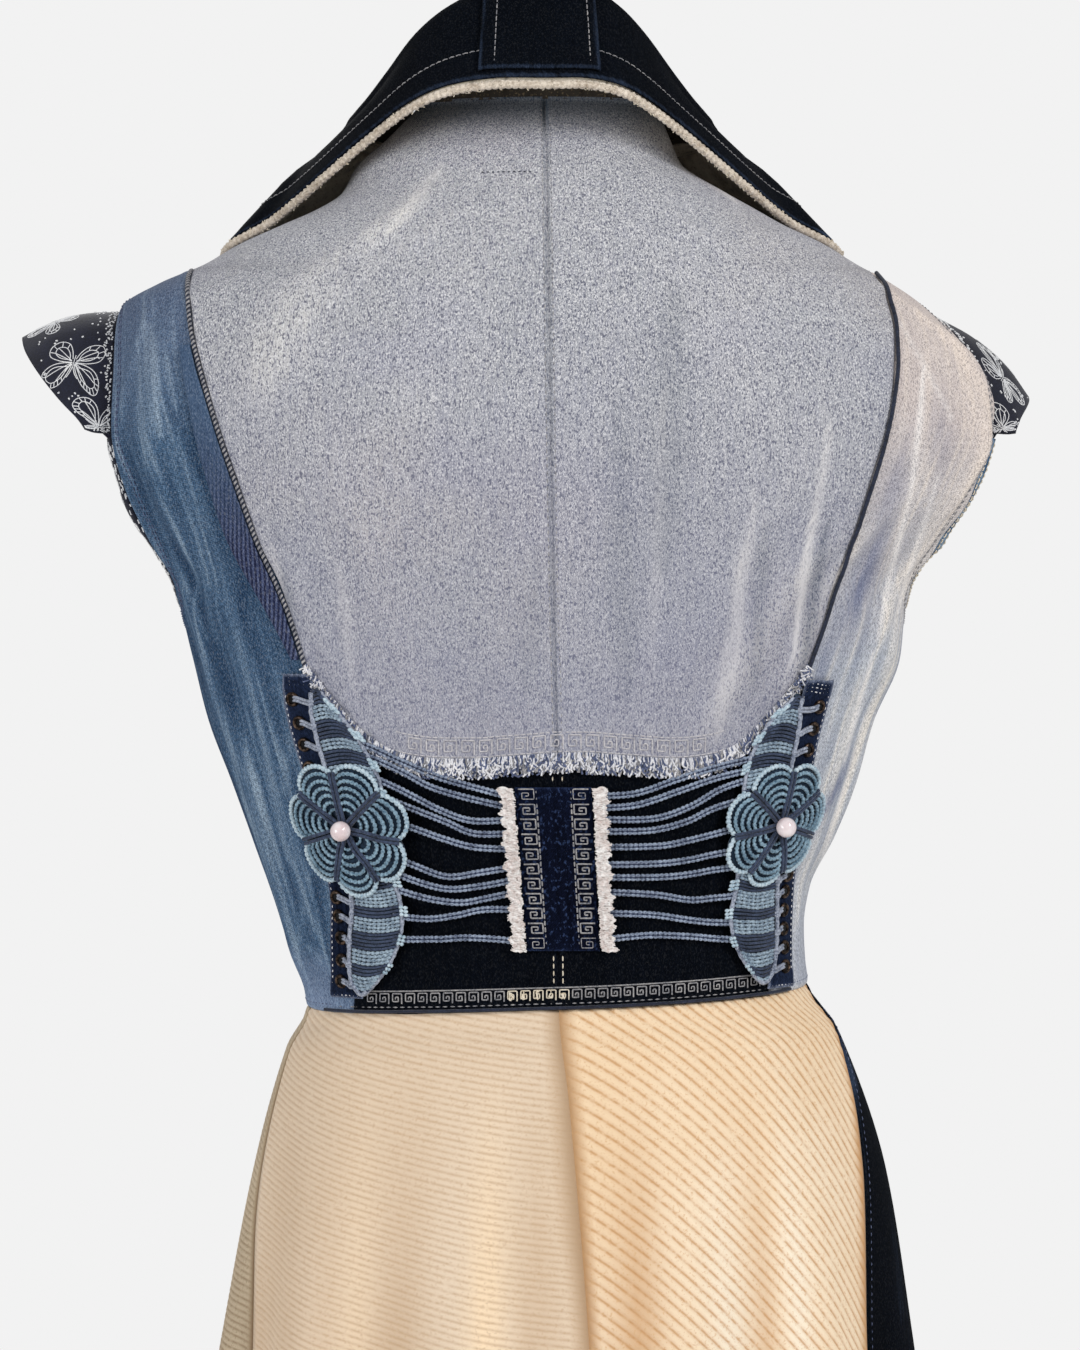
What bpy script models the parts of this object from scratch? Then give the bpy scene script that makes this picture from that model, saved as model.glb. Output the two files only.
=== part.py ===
"""Macrame vest: a long sleeveless denim vest in the shape it keeps when it is worn.

Metres, +Z up. The back faces +Y and the wearer's left is +X. Height zero is the side of
the neck. Sizes are named in millimetres and scaled when a mesh is made. Every piece of
cloth is a wall on one body form: a place on it is an angle around the body, 0 at the
centre back and 90 at the wearer's left side, and a height.
"""

from math import asin, copysign, cos, degrees, exp, pi, radians, sin

import bmesh
import bpy
import numpy as np
from mathutils import Vector

MM = 0.001

# Driving heights and sizes of the garment
NECK = 45.0
WAIST = -425.0
HEM = -941.0
SQUARENESS = 2.4
WALL = 2.0
SEAM_GAP = 0.4
WAIST_TILT = 6.0
TILT_REACH = 70.0

# The body form: half widths to the left and right, depths of the back and front, and how
# far back the shoulder ridge lies
BODY_COLUMNS = ("height", "left", "right", "back", "front", "ridge")
BODY_ROWS = (
    (45, 74, 52, 62, 10, 34),
    (27, 93, 60, 76, 32, 28),
    (15, 107, 66, 84, 44, 24),
    (0, 116, 90, 92, 58, 20),
    (-9, 131, 107, 96, 62, 16),
    (-17, 150, 122, 99, 67, 13),
    (-27, 173, 144, 103, 73, 10),
    (-37, 191, 161, 106, 79, 7),
    (-47, 216, 180, 109, 84, 4),
    (-58, 234, 196, 112, 89, 2),
    (-90, 242, 226, 118, 103, 0),
    (-127, 245, 238, 122, 113, 0),
    (-160, 236, 226, 121, 118, 0),
    (-185, 221, 206, 119, 120, 0),
    (-208, 206, 189, 117, 121, 0),
    (-246, 196, 181, 113, 120, 0),
    (-278, 188, 166, 109, 116, 0),
    (-310, 176, 156, 105, 111, 0),
    (-343, 164, 145, 100, 106, 0),
    (-370, 153, 134, 96, 103, 0),
    (-394, 145, 132, 94, 100, 0),
    (-425, 135, 134, 93, 98, 0),
    (-448, 146, 150, 103, 107, 0),
    (-521, 164, 176, 122, 125, 0),
    (-597, 176, 186, 136, 139, 0),
    (-700, 190, 197, 150, 151, 0),
    (-820, 205, 208, 161, 161, 0),
    (-945, 221, 220, 169, 168, 0),
)

# Distance of each seam from the middle of the back, as seen from behind
CENTRE_SEAM = ((45, 7), (-216, 3), (-297, 1), (-425, 0), (-470, -5), (-590, -15), (-945, -34))
LEFT_SEAM = (
    (-37, 191), (-47, 192), (-58, 191), (-75, 189), (-92, 185), (-115, 178), (-137, 171),
    (-160, 163), (-185, 154), (-208, 144), (-225, 137), (-251, 129), (-280, 122),
    (-310, 117), (-343, 112), (-380, 109), (-425, 107),
)
RIGHT_SEAM = (
    (-37, 161), (-47, 167), (-58, 170), (-75, 173), (-92, 173), (-115, 170), (-137, 165),
    (-160, 158), (-185, 149), (-208, 140), (-225, 135), (-251, 126), (-280, 119),
    (-310, 112), (-343, 109), (-380, 108), (-425, 110),
)

# The armhole: angles of its back and front edges. It starts at the shoulder tip and meets
# the side seam at its last row
ARMHOLE_COLUMNS = ("height", "back", "front")
ARMHOLE_ROWS = (
    (-58, 90, 90),
    (-66, 82, 98),
    (-81, 76.5, 103.5),
    (-102, 73.5, 108.5),
    (-127, 72.5, 112),
    (-150, 72, 113),
    (-172, 72.5, 112.5),
    (-193, 75.5, 108.5),
    (-210, 81, 100),
    (-219, 90, 90),
)
CAP_ROWS = 5

# The front neck edge: its angle at each height
NECK_EDGE = ((45, 90), (35, 110), (20, 132), (0, 144), (-30, 161), (-60, 167), (-120, 171),
             (-250, 173.4), (-425, 173.4), (-500, 173), (-700, 172), (-945, 171))

# Raw lower edge of the grey back: distance from the middle and height
LEFT_HEM = ((1, -296), (14, -297), (28, -298), (42, -299), (58, -299), (78, -297),
            (96, -288), (112, -272), (129, -251))
RIGHT_HEM = ((1, -296), (-14, -296), (-28, -297), (-42, -298), (-58, -299), (-78, -297),
             (-94, -289), (-110, -272), (-126, -251))

# Creases pulled in the torso: where each starts and ends, its half width in degrees and
# its rise, which is negative for a trough
CREASE_COLUMNS = ("top_angle", "top", "end_angle", "end", "spread", "rise")
CREASES = (
    (28, -20, 34, -110, 5.0, 2.5),
    (-46, -175, -38, -255, 2.6, 3.0),
    (-40, -185, -24, -275, 3.2, 2.2),
    (-62, -60, -76, -130, 3.0, 3.5),
    (-68, -85, -66, -215, 3.6, 4.0),
    (-73, -120, -58, -240, 3.4, -3.0),
    (-72, -240, -80, -330, 4.0, 2.4),
    (56, -90, 62, -220, 4.0, 2.6),
    (66, -150, 58, -300, 4.2, -2.4),
    (62, -290, 74, -400, 4.5, 2.6),
    (78, -240, 84, -340, 5.0, -2.2),
    (-80, -250, -84, -360, 5.0, 2.4),
    (112, -240, 124, -360, 6.0, 2.8),
    (138, -90, 148, -230, 5.0, 2.6),
    (160, -200, 150, -380, 5.5, -2.4),
    (-118, -230, -128, -370, 6.5, 2.6),
    (-142, -110, -150, -260, 5.2, 2.4),
    (-158, -240, -150, -400, 5.0, -2.6),
)

# Flutes of the skirt: angle and half width in degrees, rise at the hem
FLUTE_COLUMNS = ("angle", "spread", "rise")
FLUTES = (
    (11, 6.5, 11), (-2, 6.0, -8), (-15, 6.5, 12), (-29, 7.5, -9), (-43, 7.0, 13),
    (-60, 8.0, -10), (-76, 7.0, 12), (-95, 8.5, -9), (-112, 8.0, 12), (-131, 8.0, -10),
    (-149, 8.0, 11), (-164, 6.0, -6), (27, 7.5, -9), (43, 7.5, 12), (60, 7.0, -11),
    (76, 7.0, 13), (92, 7.5, -10), (109, 8.0, 12), (128, 8.5, -10), (146, 8.0, 12),
    (163, 6.5, -6),
)

# Skirt panels: height and angle of each seam
CREAM_LEFT_SEAM = ((WAIST, 79), (-470, 75.5), (-531, 70.5), (-602, 64), (-700, 59), (HEM, 55))
TAN_SEAM = ((WAIST, 104), (HEM, 112))
CREAM_RIGHT_SEAM = (
    (WAIST, -83), (-442, -81), (-470, -73), (-505, -65.5), (-563, -60), (-620, -57), (-700, -55.5), (HEM, -54),
)
SKIRT_HEIGHTS = (-425, -441, -463, -500, -550, -610, -680, -760, -850, -941)

# Collar, behind: half widths from its own middle, and the depth and height of its roll
# and its free edge, from the centre back to the shoulder
COLLAR_MIDDLE = 15.0
COLLAR_COLUMNS = (
    "seam_angle", "seam_height",
    "roll_out", "roll_back", "roll_height",
    "edge_out", "edge_back", "edge_height", "on_shoulder",
)
COLLAR_BACK = (
    (0, 46, 0, 80, 101, 0, 108, 47, False),
    (24, 46, 22, 80, 99, 24, 107, 47, False),
    (46, 46, 42, 76, 90, 45, 101, 44, False),
    (66, 46, 58, 69, 77, 62, 92, 37, False),
    (90, 46, 73, 56, 60, 80, 78, 26, False),
    (97, 43, 84, 42, 49, 98, 62, 14, False),
    (105, 39, 92, 28, 43, 117, 44, 1, False),
    (116, 32, 97, 13, 40, 137, 23, -11, False),
    (126, 25, 99, -4, 34, 155, 2, -24, True),
)
# Collar in front: height of the seam on the neck edge, then its free edge on the front, its
# distance out as a share of the half width there, and how far the roll stands out
COLLAR_FRONT_COLUMNS = ("seam_height", "edge_height", "edge_share", "roll_lift")
COLLAR_FRONT = (
    (15, -36, 0.93, 16),
    (0, -54, 0.75, 15),
    (-25, -85, 0.62, 14),
    (-70, -132, 0.51, 12),
    (-108, -168, 0.47, 12),
    (-160, -215, 0.43, 11.5),
    (-240, -286, 0.37, 11.5),
    (-325, -352, 0.33, 11),
    (-412, -414, 0.29, 10),
)
COLLAR_WALL = 1.5
UNDER_WALL = 1.3
COLLAR_CLEAR = 5.4
COLLAR_GAP = 0.45
FALL_BELLY = 2.5
ROLL_BEND = 5.5
BACK_SEAM_LIFT = -0.9
SEAM_LIFT = 2.4
TRIM_RADIUS = 2.3
COLLAR_STRIP_HALF_WIDTH = 31.0
COLLAR_STRIP_LIFT = 0.7
COLLAR_STRIP_WALL = 1.2

# Cap sleeves: outer edge from the tip at the shoulder down to the back of the armhole,
# as distance out, depth behind the ridge, and height
LEFT_CAP = ((289, 0, -71), (285, 16, -81), (275, 31, -95), (261, 42, -111), (248, 49, -124))
RIGHT_CAP = ((254, 0, -103), (252, 14, -107), (248, 29, -113), (244, 39, -119), (240, 47, -126))
CAP_WALL = 1.6
BINDING_WIDTH = 5.0
BINDING_WALL = 2.8

# Laced back. Places are distance from the middle and height, as seen from behind
STRIP_LIFT = 0.9
STRIP_WALL = 1.4
EYELET_OUTER = 3.8
EYELET_HOLE = 2.0
EYELET_HEIGHT = 1.3
EYELET_LIFT = 0.7
BEAD_RADIUS = 5.2
BEAD_LIFT = 0.3
PANEL_LIFT = 2.2
PANEL_WALL = 1.7
FRAY_LIFT = 5.0
FRAY_WALL = 1.3
FRINGE_LIFT = 1.5
FRINGE_WALL = 1.0
TWILL_LIFT = 2.0
TWILL_WALL = 1.0
PIPING_RADIUS = 1.7
PIPING_FLAT = 0.8

COLOURS = {
    "grey denim": (0.38, 0.40, 0.47, 0.9),
    "blue denim": (0.07, 0.15, 0.29, 0.9),
    "beige denim": (0.55, 0.47, 0.43, 0.9),
    "dark denim": (0.012, 0.02, 0.04, 0.85),
    "cream rib": (0.80, 0.61, 0.38, 0.95),
    "tan rib": (0.42, 0.38, 0.29, 0.95),
    "cream fray": (0.80, 0.66, 0.60, 0.95),
    "navy print": (0.015, 0.022, 0.05, 0.8),
    "knotted cord": (0.09, 0.13, 0.19, 0.8),
    "petal cord": (0.22, 0.40, 0.52, 0.7),
    "brass": (0.10, 0.07, 0.04, 0.4),
    "bead": (0.87, 0.75, 0.77, 0.25),
}


def smooth(knots, values):
    """A smooth curve through the values that never overshoots them."""
    knots = np.asarray(knots, float)
    values = np.asarray(values, float)
    order = np.argsort(knots)
    knots = knots[order]
    values = values[order]
    steps = np.diff(knots)
    slopes = np.diff(values) / steps
    tangents = np.zeros(len(knots))
    tangents[0] = slopes[0]
    tangents[-1] = slopes[-1]
    for i in range(1, len(knots) - 1):
        if slopes[i - 1] * slopes[i] > 0:
            tangents[i] = 2 * slopes[i - 1] * slopes[i] / (slopes[i - 1] + slopes[i])

    def value(at):
        at = min(max(at, knots[0]), knots[-1])
        i = min(max(int(np.searchsorted(knots, at)) - 1, 0), len(knots) - 2)
        t = (at - knots[i]) / steps[i]
        return float(
            values[i] * (1 + 2 * t) * (1 - t) ** 2
            + values[i + 1] * t * t * (3 - 2 * t)
            + tangents[i] * steps[i] * t * (1 - t) ** 2
            + tangents[i + 1] * steps[i] * t * t * (t - 1)
        )

    return value


def column(rows, names, name):
    index = names.index(name)
    return [row[index] for row in rows]


HEIGHTS = column(BODY_ROWS, BODY_COLUMNS, "height")
LEFT, RIGHT, BACK, FRONT, RIDGE = (
    smooth(HEIGHTS, column(BODY_ROWS, BODY_COLUMNS, name)) for name in BODY_COLUMNS[1:]
)
NECK_ANGLE = smooth([row[0] for row in NECK_EDGE], [row[1] for row in NECK_EDGE])
CENTRE_X = smooth([row[0] for row in CENTRE_SEAM], [row[1] for row in CENTRE_SEAM])


def swell(distance, spread):
    return exp(-((distance / spread) ** 2))


def ease(value):
    value = min(max(value, 0.0), 1.0)
    return value * value * (3 - 2 * value)


def relief(angle, height):
    """How far the cloth stands out from the body form, in creases and flutes."""
    rise = 0.0
    if height > WAIST:
        for top_angle, top, end_angle, end, spread, crest in CREASES:
            t = (top - height) / (top - end)
            if -0.3 < t < 1.3:
                at = top_angle + (end_angle - top_angle) * t
                fade = ease((t + 0.3) / 0.4) * ease((1.3 - t) / 0.4)
                rise += crest * fade * swell(angle - at, spread)
        return rise
    fall = (WAIST - height) / (WAIST - HEM)
    for at, spread, crest in FLUTES:
        rise += crest * ease(fall * 1.6) ** 0.8 * (0.35 + 0.65 * fall) * swell(angle - at, spread)
    return rise


def body(angle, height):
    """The bare body form at a place."""
    turn = radians(angle)
    power = 2 / SQUARENESS
    across = copysign(abs(sin(turn)) ** power, sin(turn))
    along = copysign(abs(cos(turn)) ** power, cos(turn))
    half = LEFT(height) if across >= 0 else RIGHT(height)
    ridge = RIDGE(height)
    reach = BACK(height) - ridge if along >= 0 else FRONT(height) + ridge
    tilt = -WAIST_TILT * sin(turn) * swell(height - WAIST, TILT_REACH)
    return np.array((half * across, ridge + reach * along, height + tilt))


def ring_outward(angle, height):
    step = 0.6
    tangent = body(angle + step, height) - body(angle - step, height)
    outward = np.array((tangent[1], -tangent[0], 0.0))
    outward = -outward if outward @ body(angle, height) < 0 else outward
    return outward / max(np.linalg.norm(outward), 1e-9)


def skin(angle, height):
    """The cloth's outer skin at a place."""
    rise = relief(angle, height)
    point = body(angle, height)
    if abs(rise) < 1e-6:
        return point
    return point + ring_outward(angle, height) * rise


def frame_at(angle, height):
    """The skin's point at a place, its outward normal and how it moves with angle and height."""
    turn = 0.4
    drop = 0.8
    around = (skin(angle + turn, height) - skin(angle - turn, height)) / (2 * turn)
    upward = (skin(angle, height + drop) - skin(angle, height - drop)) / (2 * drop)
    normal = np.cross(upward, around)
    centre = np.array((0.0, RIDGE(height), height - 60))
    point = skin(angle, height)
    if normal @ (point - centre) < 0:
        normal = -normal
    return point, normal / np.linalg.norm(normal), around, upward


def lifted(place, lift=0.0):
    point, normal, _, _ = frame_at(*place)
    return point + normal * lift


def angle_of(out, height, front=False):
    """The angle at which the body form lies this far to the left of the middle."""
    half = LEFT(height) if out >= 0 else RIGHT(height)
    share = min(abs(out) / half, 1.0)
    angle = degrees(asin(share ** (SQUARENESS / 2)))
    if front:
        angle = 180 - angle
    return copysign(angle, out)


def back_place(out, height):
    """The place on the back at this distance to the left and this height."""
    level = height
    for _ in range(4):
        level = height + WAIST_TILT * sin(radians(angle_of(out, level))) * swell(level - WAIST, TILT_REACH)
    return angle_of(out, level), level


def moved(place, offset):
    """The place reached by going this way along the skin."""
    _, _, around, upward = frame_at(*place)
    basis = np.stack((around, upward), axis=1)
    turn, climb = np.linalg.lstsq(basis, offset, rcond=None)[0]
    return place[0] + turn, place[1] + climb


def direction(points, index):
    before = points[max(index - 1, 0)]
    after = points[min(index + 1, len(points) - 1)]
    along = after - before
    return along / max(np.linalg.norm(along), 1e-9)


def beside(places, distance):
    """The line of places moved sideways along the skin, to its left as seen from outside."""
    points = [skin(*place) for place in places]
    result = []
    for i, place in enumerate(places):
        normal = frame_at(*place)[1]
        side = np.cross(normal, direction(points, i))
        result.append(moved(place, side / np.linalg.norm(side) * distance))
    return result


def between(first, second, share):
    return tuple((1 - share) * a + share * b for a, b in zip(first, second))


def spread_grid(inner, outer, count, shares=None):
    """Places in rows that run from one line to the other."""
    shares = shares or [i / (count - 1) for i in range(count)]
    return [[between(a, b, share) for share in shares] for a, b in zip(inner, outer)]


def steps(start, end, count):
    return [start + (end - start) * i / (count - 1) for i in range(count)]


def through(points, at):
    """A point of the smooth line through evenly numbered points."""
    i = min(max(int(at), 0), len(points) - 2)
    t = at - i
    a = points[max(i - 1, 0)]
    b, c = points[i], points[i + 1]
    d = points[min(i + 2, len(points) - 1)]
    first = (c - a) / 2
    second = (d - b) / 2
    return (
        b * (1 + 2 * t) * (1 - t) ** 2 + c * t * t * (3 - 2 * t)
        + first * t * (1 - t) ** 2 + second * t * t * (t - 1)
    )


def collection(name, hidden=False):
    made = bpy.data.collections.new(name)
    bpy.context.scene.collection.children.link(made)
    made.hide_render = hidden
    return made


def material(name):
    if name in bpy.data.materials:
        return bpy.data.materials[name]
    red, green, blue, rough = COLOURS[name]
    made = bpy.data.materials.new(name)
    made.use_nodes = True
    shader = made.node_tree.nodes["Principled BSDF"]
    shader.inputs["Base Color"].default_value = (red, green, blue, 1)
    shader.inputs["Roughness"].default_value = rough
    shader.inputs["Metallic"].default_value = 0.9 if name == "brass" else 0.0
    return made


class Maker:
    """Makes the named objects, in the garment's collection or among the cutters."""

    def __init__(self):
        self.garment = collection("Macrame vest")
        self.tools = collection("Cutters", hidden=True)

    def add(self, name, mesh, colour, tool=False):
        made = bpy.data.objects.new(name, mesh)
        mesh.materials.append(material(colour))
        (self.tools if tool else self.garment).objects.link(made)
        if tool:
            made.hide_render = True
            made.display_type = "WIRE"
        return made

    def mesh(self, name, points, faces, colour, tool=False):
        """One object from points in millimetres, its faces turned outward."""
        built = bmesh.new()
        corners = [built.verts.new(Vector(point) * MM) for point in points]
        for face in faces:
            built.faces.new([corners[i] for i in face])
        bmesh.ops.recalc_face_normals(built, faces=built.faces)
        if built.calc_volume(signed=True) < 0:
            bmesh.ops.reverse_faces(built, faces=built.faces)
        bmesh.ops.triangulate(built, faces=built.faces)
        data = bpy.data.meshes.new(name)
        built.to_mesh(data)
        built.free()
        return self.add(name, data, colour, tool)

    def slab(self, name, outer, inner, colour, tool=False):
        """A closed wall between two grids of points of the same size."""
        rows, cols = len(outer), len(outer[0])
        points = [p for row in outer for p in row] + [p for row in inner for p in row]
        half = rows * cols
        faces = []
        for j in range(rows - 1):
            for i in range(cols - 1):
                a = j * cols + i
                quad = (a, a + 1, a + cols + 1, a + cols)
                faces.append(quad)
                faces.append(tuple(half + k for k in reversed(quad)))
        rim = [i for i in range(cols)]
        rim += [j * cols + cols - 1 for j in range(1, rows)]
        rim += [(rows - 1) * cols + i for i in range(cols - 2, -1, -1)]
        rim += [j * cols for j in range(rows - 2, 0, -1)]
        for a, b in zip(rim, rim[1:] + rim[:1]):
            faces.append((b, a, half + a, half + b))
        return self.mesh(name, points, faces, colour, tool)

    def wall(self, name, grid, colour, lift=0.0, thick=WALL):
        """A wall of cloth whose outer skin follows the body form at these places."""
        frames = [[frame_at(*place)[:2] for place in row] for row in grid]
        outer = [[p + n * lift for p, n in row] for row in frames]
        inner = [[p + n * (lift - thick) for p, n in row] for row in frames]
        return self.slab(name, outer, inner, colour)

    def tube(self, name, path, colour, radius, sides=6, flat=1.0, ups=None, tool=False):
        """A closed tube along points, flattened across its path's up direction."""
        points = []
        count = len(path)
        for i, centre in enumerate(path):
            along = direction(path, i)
            up = ups[i] if ups else np.array((0.0, 0.0, 1.0))
            up = up - along * (up @ along)
            up = up / np.linalg.norm(up)
            side = np.cross(along, up)
            for k in range(sides):
                turn = 2 * pi * k / sides
                points.append(centre + (side * cos(turn) + up * sin(turn) * flat) * radius)
        faces = []
        for i in range(count - 1):
            for k in range(sides):
                a = i * sides + k
                b = i * sides + (k + 1) % sides
                faces.append((a, b, b + sides, a + sides))
        faces.append(tuple(range(sides)))
        faces.append(tuple((count - 1) * sides + k for k in range(sides)))
        return self.mesh(name, points, faces, colour, tool)


def join(target, parts):
    """Fuses the parts into the target by Boolean unions."""
    for part in parts:
        fuse = target.modifiers.new("Join " + part.name, "BOOLEAN")
        fuse.operation = "UNION"
        fuse.solver = "EXACT"
        fuse.object = part


# Lines on the body form that neighbouring pieces share

RIDGE_HEIGHTS = (45, 30, 15, 0, -11, -22, -37)
TIP_HEIGHTS = (-37, -44, -51, -58)
SEAM_HEIGHTS = (-42, -50, -62, -85, -110, -137, -165, -192, -222, -251)
BAND_HEIGHTS = (-251, -280, -310, -337, -362, -390, -425)
CENTRE_HEIGHTS = (45, 30, 15, 0, -12, -25, -40, -54, -69, -86, -106, -129, -154, -181, -210,
                  -245, -297)
SIDE_HEIGHTS = (-250, -285, -315, -340, -363, -392, -425)
FRONT_HEIGHTS = (45, 33, 20, 3, -20, -45, -75, -110, -145, -185, -225, -265, -300, -330, -360,
                 -392, -425)
BACK_COLUMNS = 8
SIDE_COLUMNS = 4
HEM_ROWS = 5
HALF_GAP = SEAM_GAP / 2

SEAM_OUT = {
    1: smooth([row[0] for row in LEFT_SEAM], [row[1] for row in LEFT_SEAM]),
    -1: smooth([row[0] for row in RIGHT_SEAM], [row[1] for row in RIGHT_SEAM]),
}


def seam_place(side, height):
    return angle_of(side * SEAM_OUT[side](height), height), height


def centre_place(height):
    return angle_of(CENTRE_X(height), height), height


def ridge_line(side, heights):
    return [(side * 90, height) for height in heights]


def armhole_line(side, face, rows=ARMHOLE_ROWS):
    index = ARMHOLE_COLUMNS.index(face)
    return [(side * row[index], row[0]) for row in rows]


def hem_line(side):
    """The raw lower edge of the grey back, from the middle out to the seam."""
    rows = [np.array(row, float) for row in (LEFT_HEM if side > 0 else RIGHT_HEM)]
    points = [through(rows, at) for at in steps(0, len(rows) - 1, BACK_COLUMNS)]
    places = [back_place(out, height) for out, height in points]
    places[0] = centre_place(rows[0][1])
    places[-1] = seam_place(side, rows[-1][1])
    return places


def bend_to(grid, line, rows, last=True):
    """Bends the last or first rows of a grid so that its end row is this line."""
    end = -1 if last else 0
    shift = [(a[0] - b[0], a[1] - b[1]) for a, b in zip(line, grid[end])]
    for k in range(rows):
        share = ease(1 - k / rows)
        row = grid[-1 - k] if last else grid[k]
        for i, (turn, climb) in enumerate(shift):
            row[i] = (row[i][0] + turn * share, row[i][1] + climb * share)
    return grid


def side_of(side, places, inward):
    """The line moved aside by half a seam's gap, away from or towards the middle back."""
    return beside(places, (1 if inward else -1) * side * HALF_GAP)


def lowered(places, amount):
    return [(angle, height - amount) for angle, height in places]


def make_back(maker, side, name):
    """One half of the grey centre back, from the neck to its raw edge."""
    inner = [centre_place(height) for height in CENTRE_HEIGHTS]
    outer = ridge_line(side, RIDGE_HEIGHTS) + [seam_place(side, h) for h in SEAM_HEIGHTS]
    inner = side_of(side, inner, False)
    outer = side_of(side, outer, True)
    grid = spread_grid(inner, outer, BACK_COLUMNS)
    edge = hem_line(side)
    edge[0] = (inner[-1][0], edge[0][1])
    edge[-1] = (outer[-1][0], edge[-1][1])
    edge = [(angle, height + HALF_GAP) for angle, height in edge]
    bend_to(grid, edge, HEM_ROWS)
    return maker.wall(name, grid, "grey denim")


def make_side_back(maker, side, name, colour):
    """A side back panel between the seam and the armhole or the side seam."""
    inner = [(side * 90, RIDGE_HEIGHTS[-1])]
    inner += [seam_place(side, h) for h in SEAM_HEIGHTS + BAND_HEIGHTS[1:]]
    outer = armhole_line(side, "back") + ridge_line(side, SIDE_HEIGHTS)
    inner = side_of(side, inner, False)
    outer = side_of(side, outer, True)
    inner[-1] = (inner[-1][0], inner[-1][1] + HALF_GAP)
    outer[-1] = (outer[-1][0], outer[-1][1] + HALF_GAP)
    grid = spread_grid(inner, outer, SIDE_COLUMNS)
    return maker.wall(name, grid, colour)


def make_front(maker, side, name):
    """A front, from the shoulder to the waist, open down the middle."""
    neck = [(side * NECK_ANGLE(height), height) for height in FRONT_HEIGHTS]
    outer = armhole_line(side, "front") + ridge_line(side, SIDE_HEIGHTS)
    outer = side_of(side, outer, False)
    top = list(RIDGE_HEIGHTS) + list(TIP_HEIGHTS[1:])
    shares = [(top[0] - height) / (top[0] - top[-1]) for height in top]
    neck[-1] = (neck[-1][0], neck[-1][1] + HALF_GAP)
    outer[-1] = (outer[-1][0], outer[-1][1] + HALF_GAP)
    grid = spread_grid(neck, outer, len(top), shares)
    first = side_of(side, ridge_line(side, top), False)
    bend_to(grid, first, 2, last=False)
    return maker.wall(name, grid, "blue denim")


def make_band(maker, side, name):
    """One half of the dark waist band, from the grey back's raw edge to the waist seam."""
    edge = hem_line(side)
    inner = [centre_place(height) for height in steps(edge[0][1], WAIST, len(BAND_HEIGHTS))]
    outer = [seam_place(side, height) for height in BAND_HEIGHTS]
    inner = side_of(side, inner, False)
    outer = side_of(side, outer, True)
    inner[-1] = (inner[-1][0], inner[-1][1] + HALF_GAP)
    outer[-1] = (outer[-1][0], outer[-1][1] + HALF_GAP)
    grid = spread_grid(inner, outer, BACK_COLUMNS)
    edge[0] = (inner[0][0], edge[0][1])
    edge[-1] = (outer[0][0], edge[-1][1])
    edge = lowered(edge, HALF_GAP)
    bend_to(grid, edge, 5, last=False)
    return maker.wall(name, grid, "dark denim")


def make_skirt(maker, name, start, end, count, colour):
    """A skirt panel between two seams, each given by its angle at the waist and the hem."""
    first, second = [], []
    for height in SKIRT_HEIGHTS:
        fall = (WAIST - height) / (WAIST - HEM)
        level = height - HALF_GAP if height == SKIRT_HEIGHTS[0] else height
        first.append((start(fall, level), level))
        second.append((end(fall, level), level))
    first = beside(first, -HALF_GAP)
    second = beside(second, HALF_GAP)
    return maker.wall(name, spread_grid(first, second, count), colour)


def seam_angle(rows):
    angle = smooth([row[0] for row in rows], [row[1] for row in rows])
    return lambda fall, height: angle(height)


def centre_angle(fall, height):
    return angle_of(CENTRE_X(height), height)


def front_angle(side):
    return lambda fall, height: side * NECK_ANGLE(height)


# The collar

COLLAR_BACK_ROWS = [dict(zip(COLLAR_COLUMNS, row)) for row in COLLAR_BACK]
COLLAR_FRONT_ROWS = [dict(zip(COLLAR_FRONT_COLUMNS, row)) for row in COLLAR_FRONT]


def bulge_of(seam, roll, edge):
    """How far the fall of the collar bellies out halfway between its roll and its edge."""
    across = (edge - seam) / np.linalg.norm(edge - seam)
    rise = (roll - seam) - across * ((roll - seam) @ across)
    return rise / np.linalg.norm(rise) * FALL_BELLY


def collar_station(side, index):
    """Seam, roll, middle of the fall and free edge of the collar at one row of its tables."""
    if index < len(COLLAR_BACK_ROWS):
        row = COLLAR_BACK_ROWS[index]
        height = row["seam_height"]
        behind = height >= NECK
        angle = row["seam_angle"] if behind else NECK_ANGLE(height)
        seam = lifted((side * angle, height), BACK_SEAM_LIFT if angle < 60 else SEAM_LIFT)
        middle = CENTRE_X(NECK) + (COLLAR_MIDDLE - CENTRE_X(NECK)) * ease(row["edge_out"] / 70)
        roll = np.array((middle + side * row["roll_out"], row["roll_back"], row["roll_height"]))
        edge = np.array((middle + side * row["edge_out"], row["edge_back"], row["edge_height"]))
        if row["on_shoulder"]:
            edge = lifted((side * 92, -27), COLLAR_CLEAR)
        return seam, roll, (roll + edge) / 2 + bulge_of(seam, roll, edge), edge
    row = COLLAR_FRONT_ROWS[index - len(COLLAR_BACK_ROWS)]
    height = row["seam_height"]
    place = (side * NECK_ANGLE(height), height)
    seam = lifted(place, SEAM_LIFT)
    roll = lifted((place[0] - side * 0.6, height), row["roll_lift"])
    level = row["edge_height"]
    out = side * row["edge_share"] * (LEFT if side > 0 else RIGHT)(level)
    end = (angle_of(out, level, front=True), level)
    middle = lifted(between(place, end, 0.55), COLLAR_CLEAR + 2.0)
    return seam, roll, middle, lifted(end, COLLAR_CLEAR)


COLLAR_STATIONS = len(COLLAR_BACK_ROWS) + len(COLLAR_FRONT_ROWS)


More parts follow.
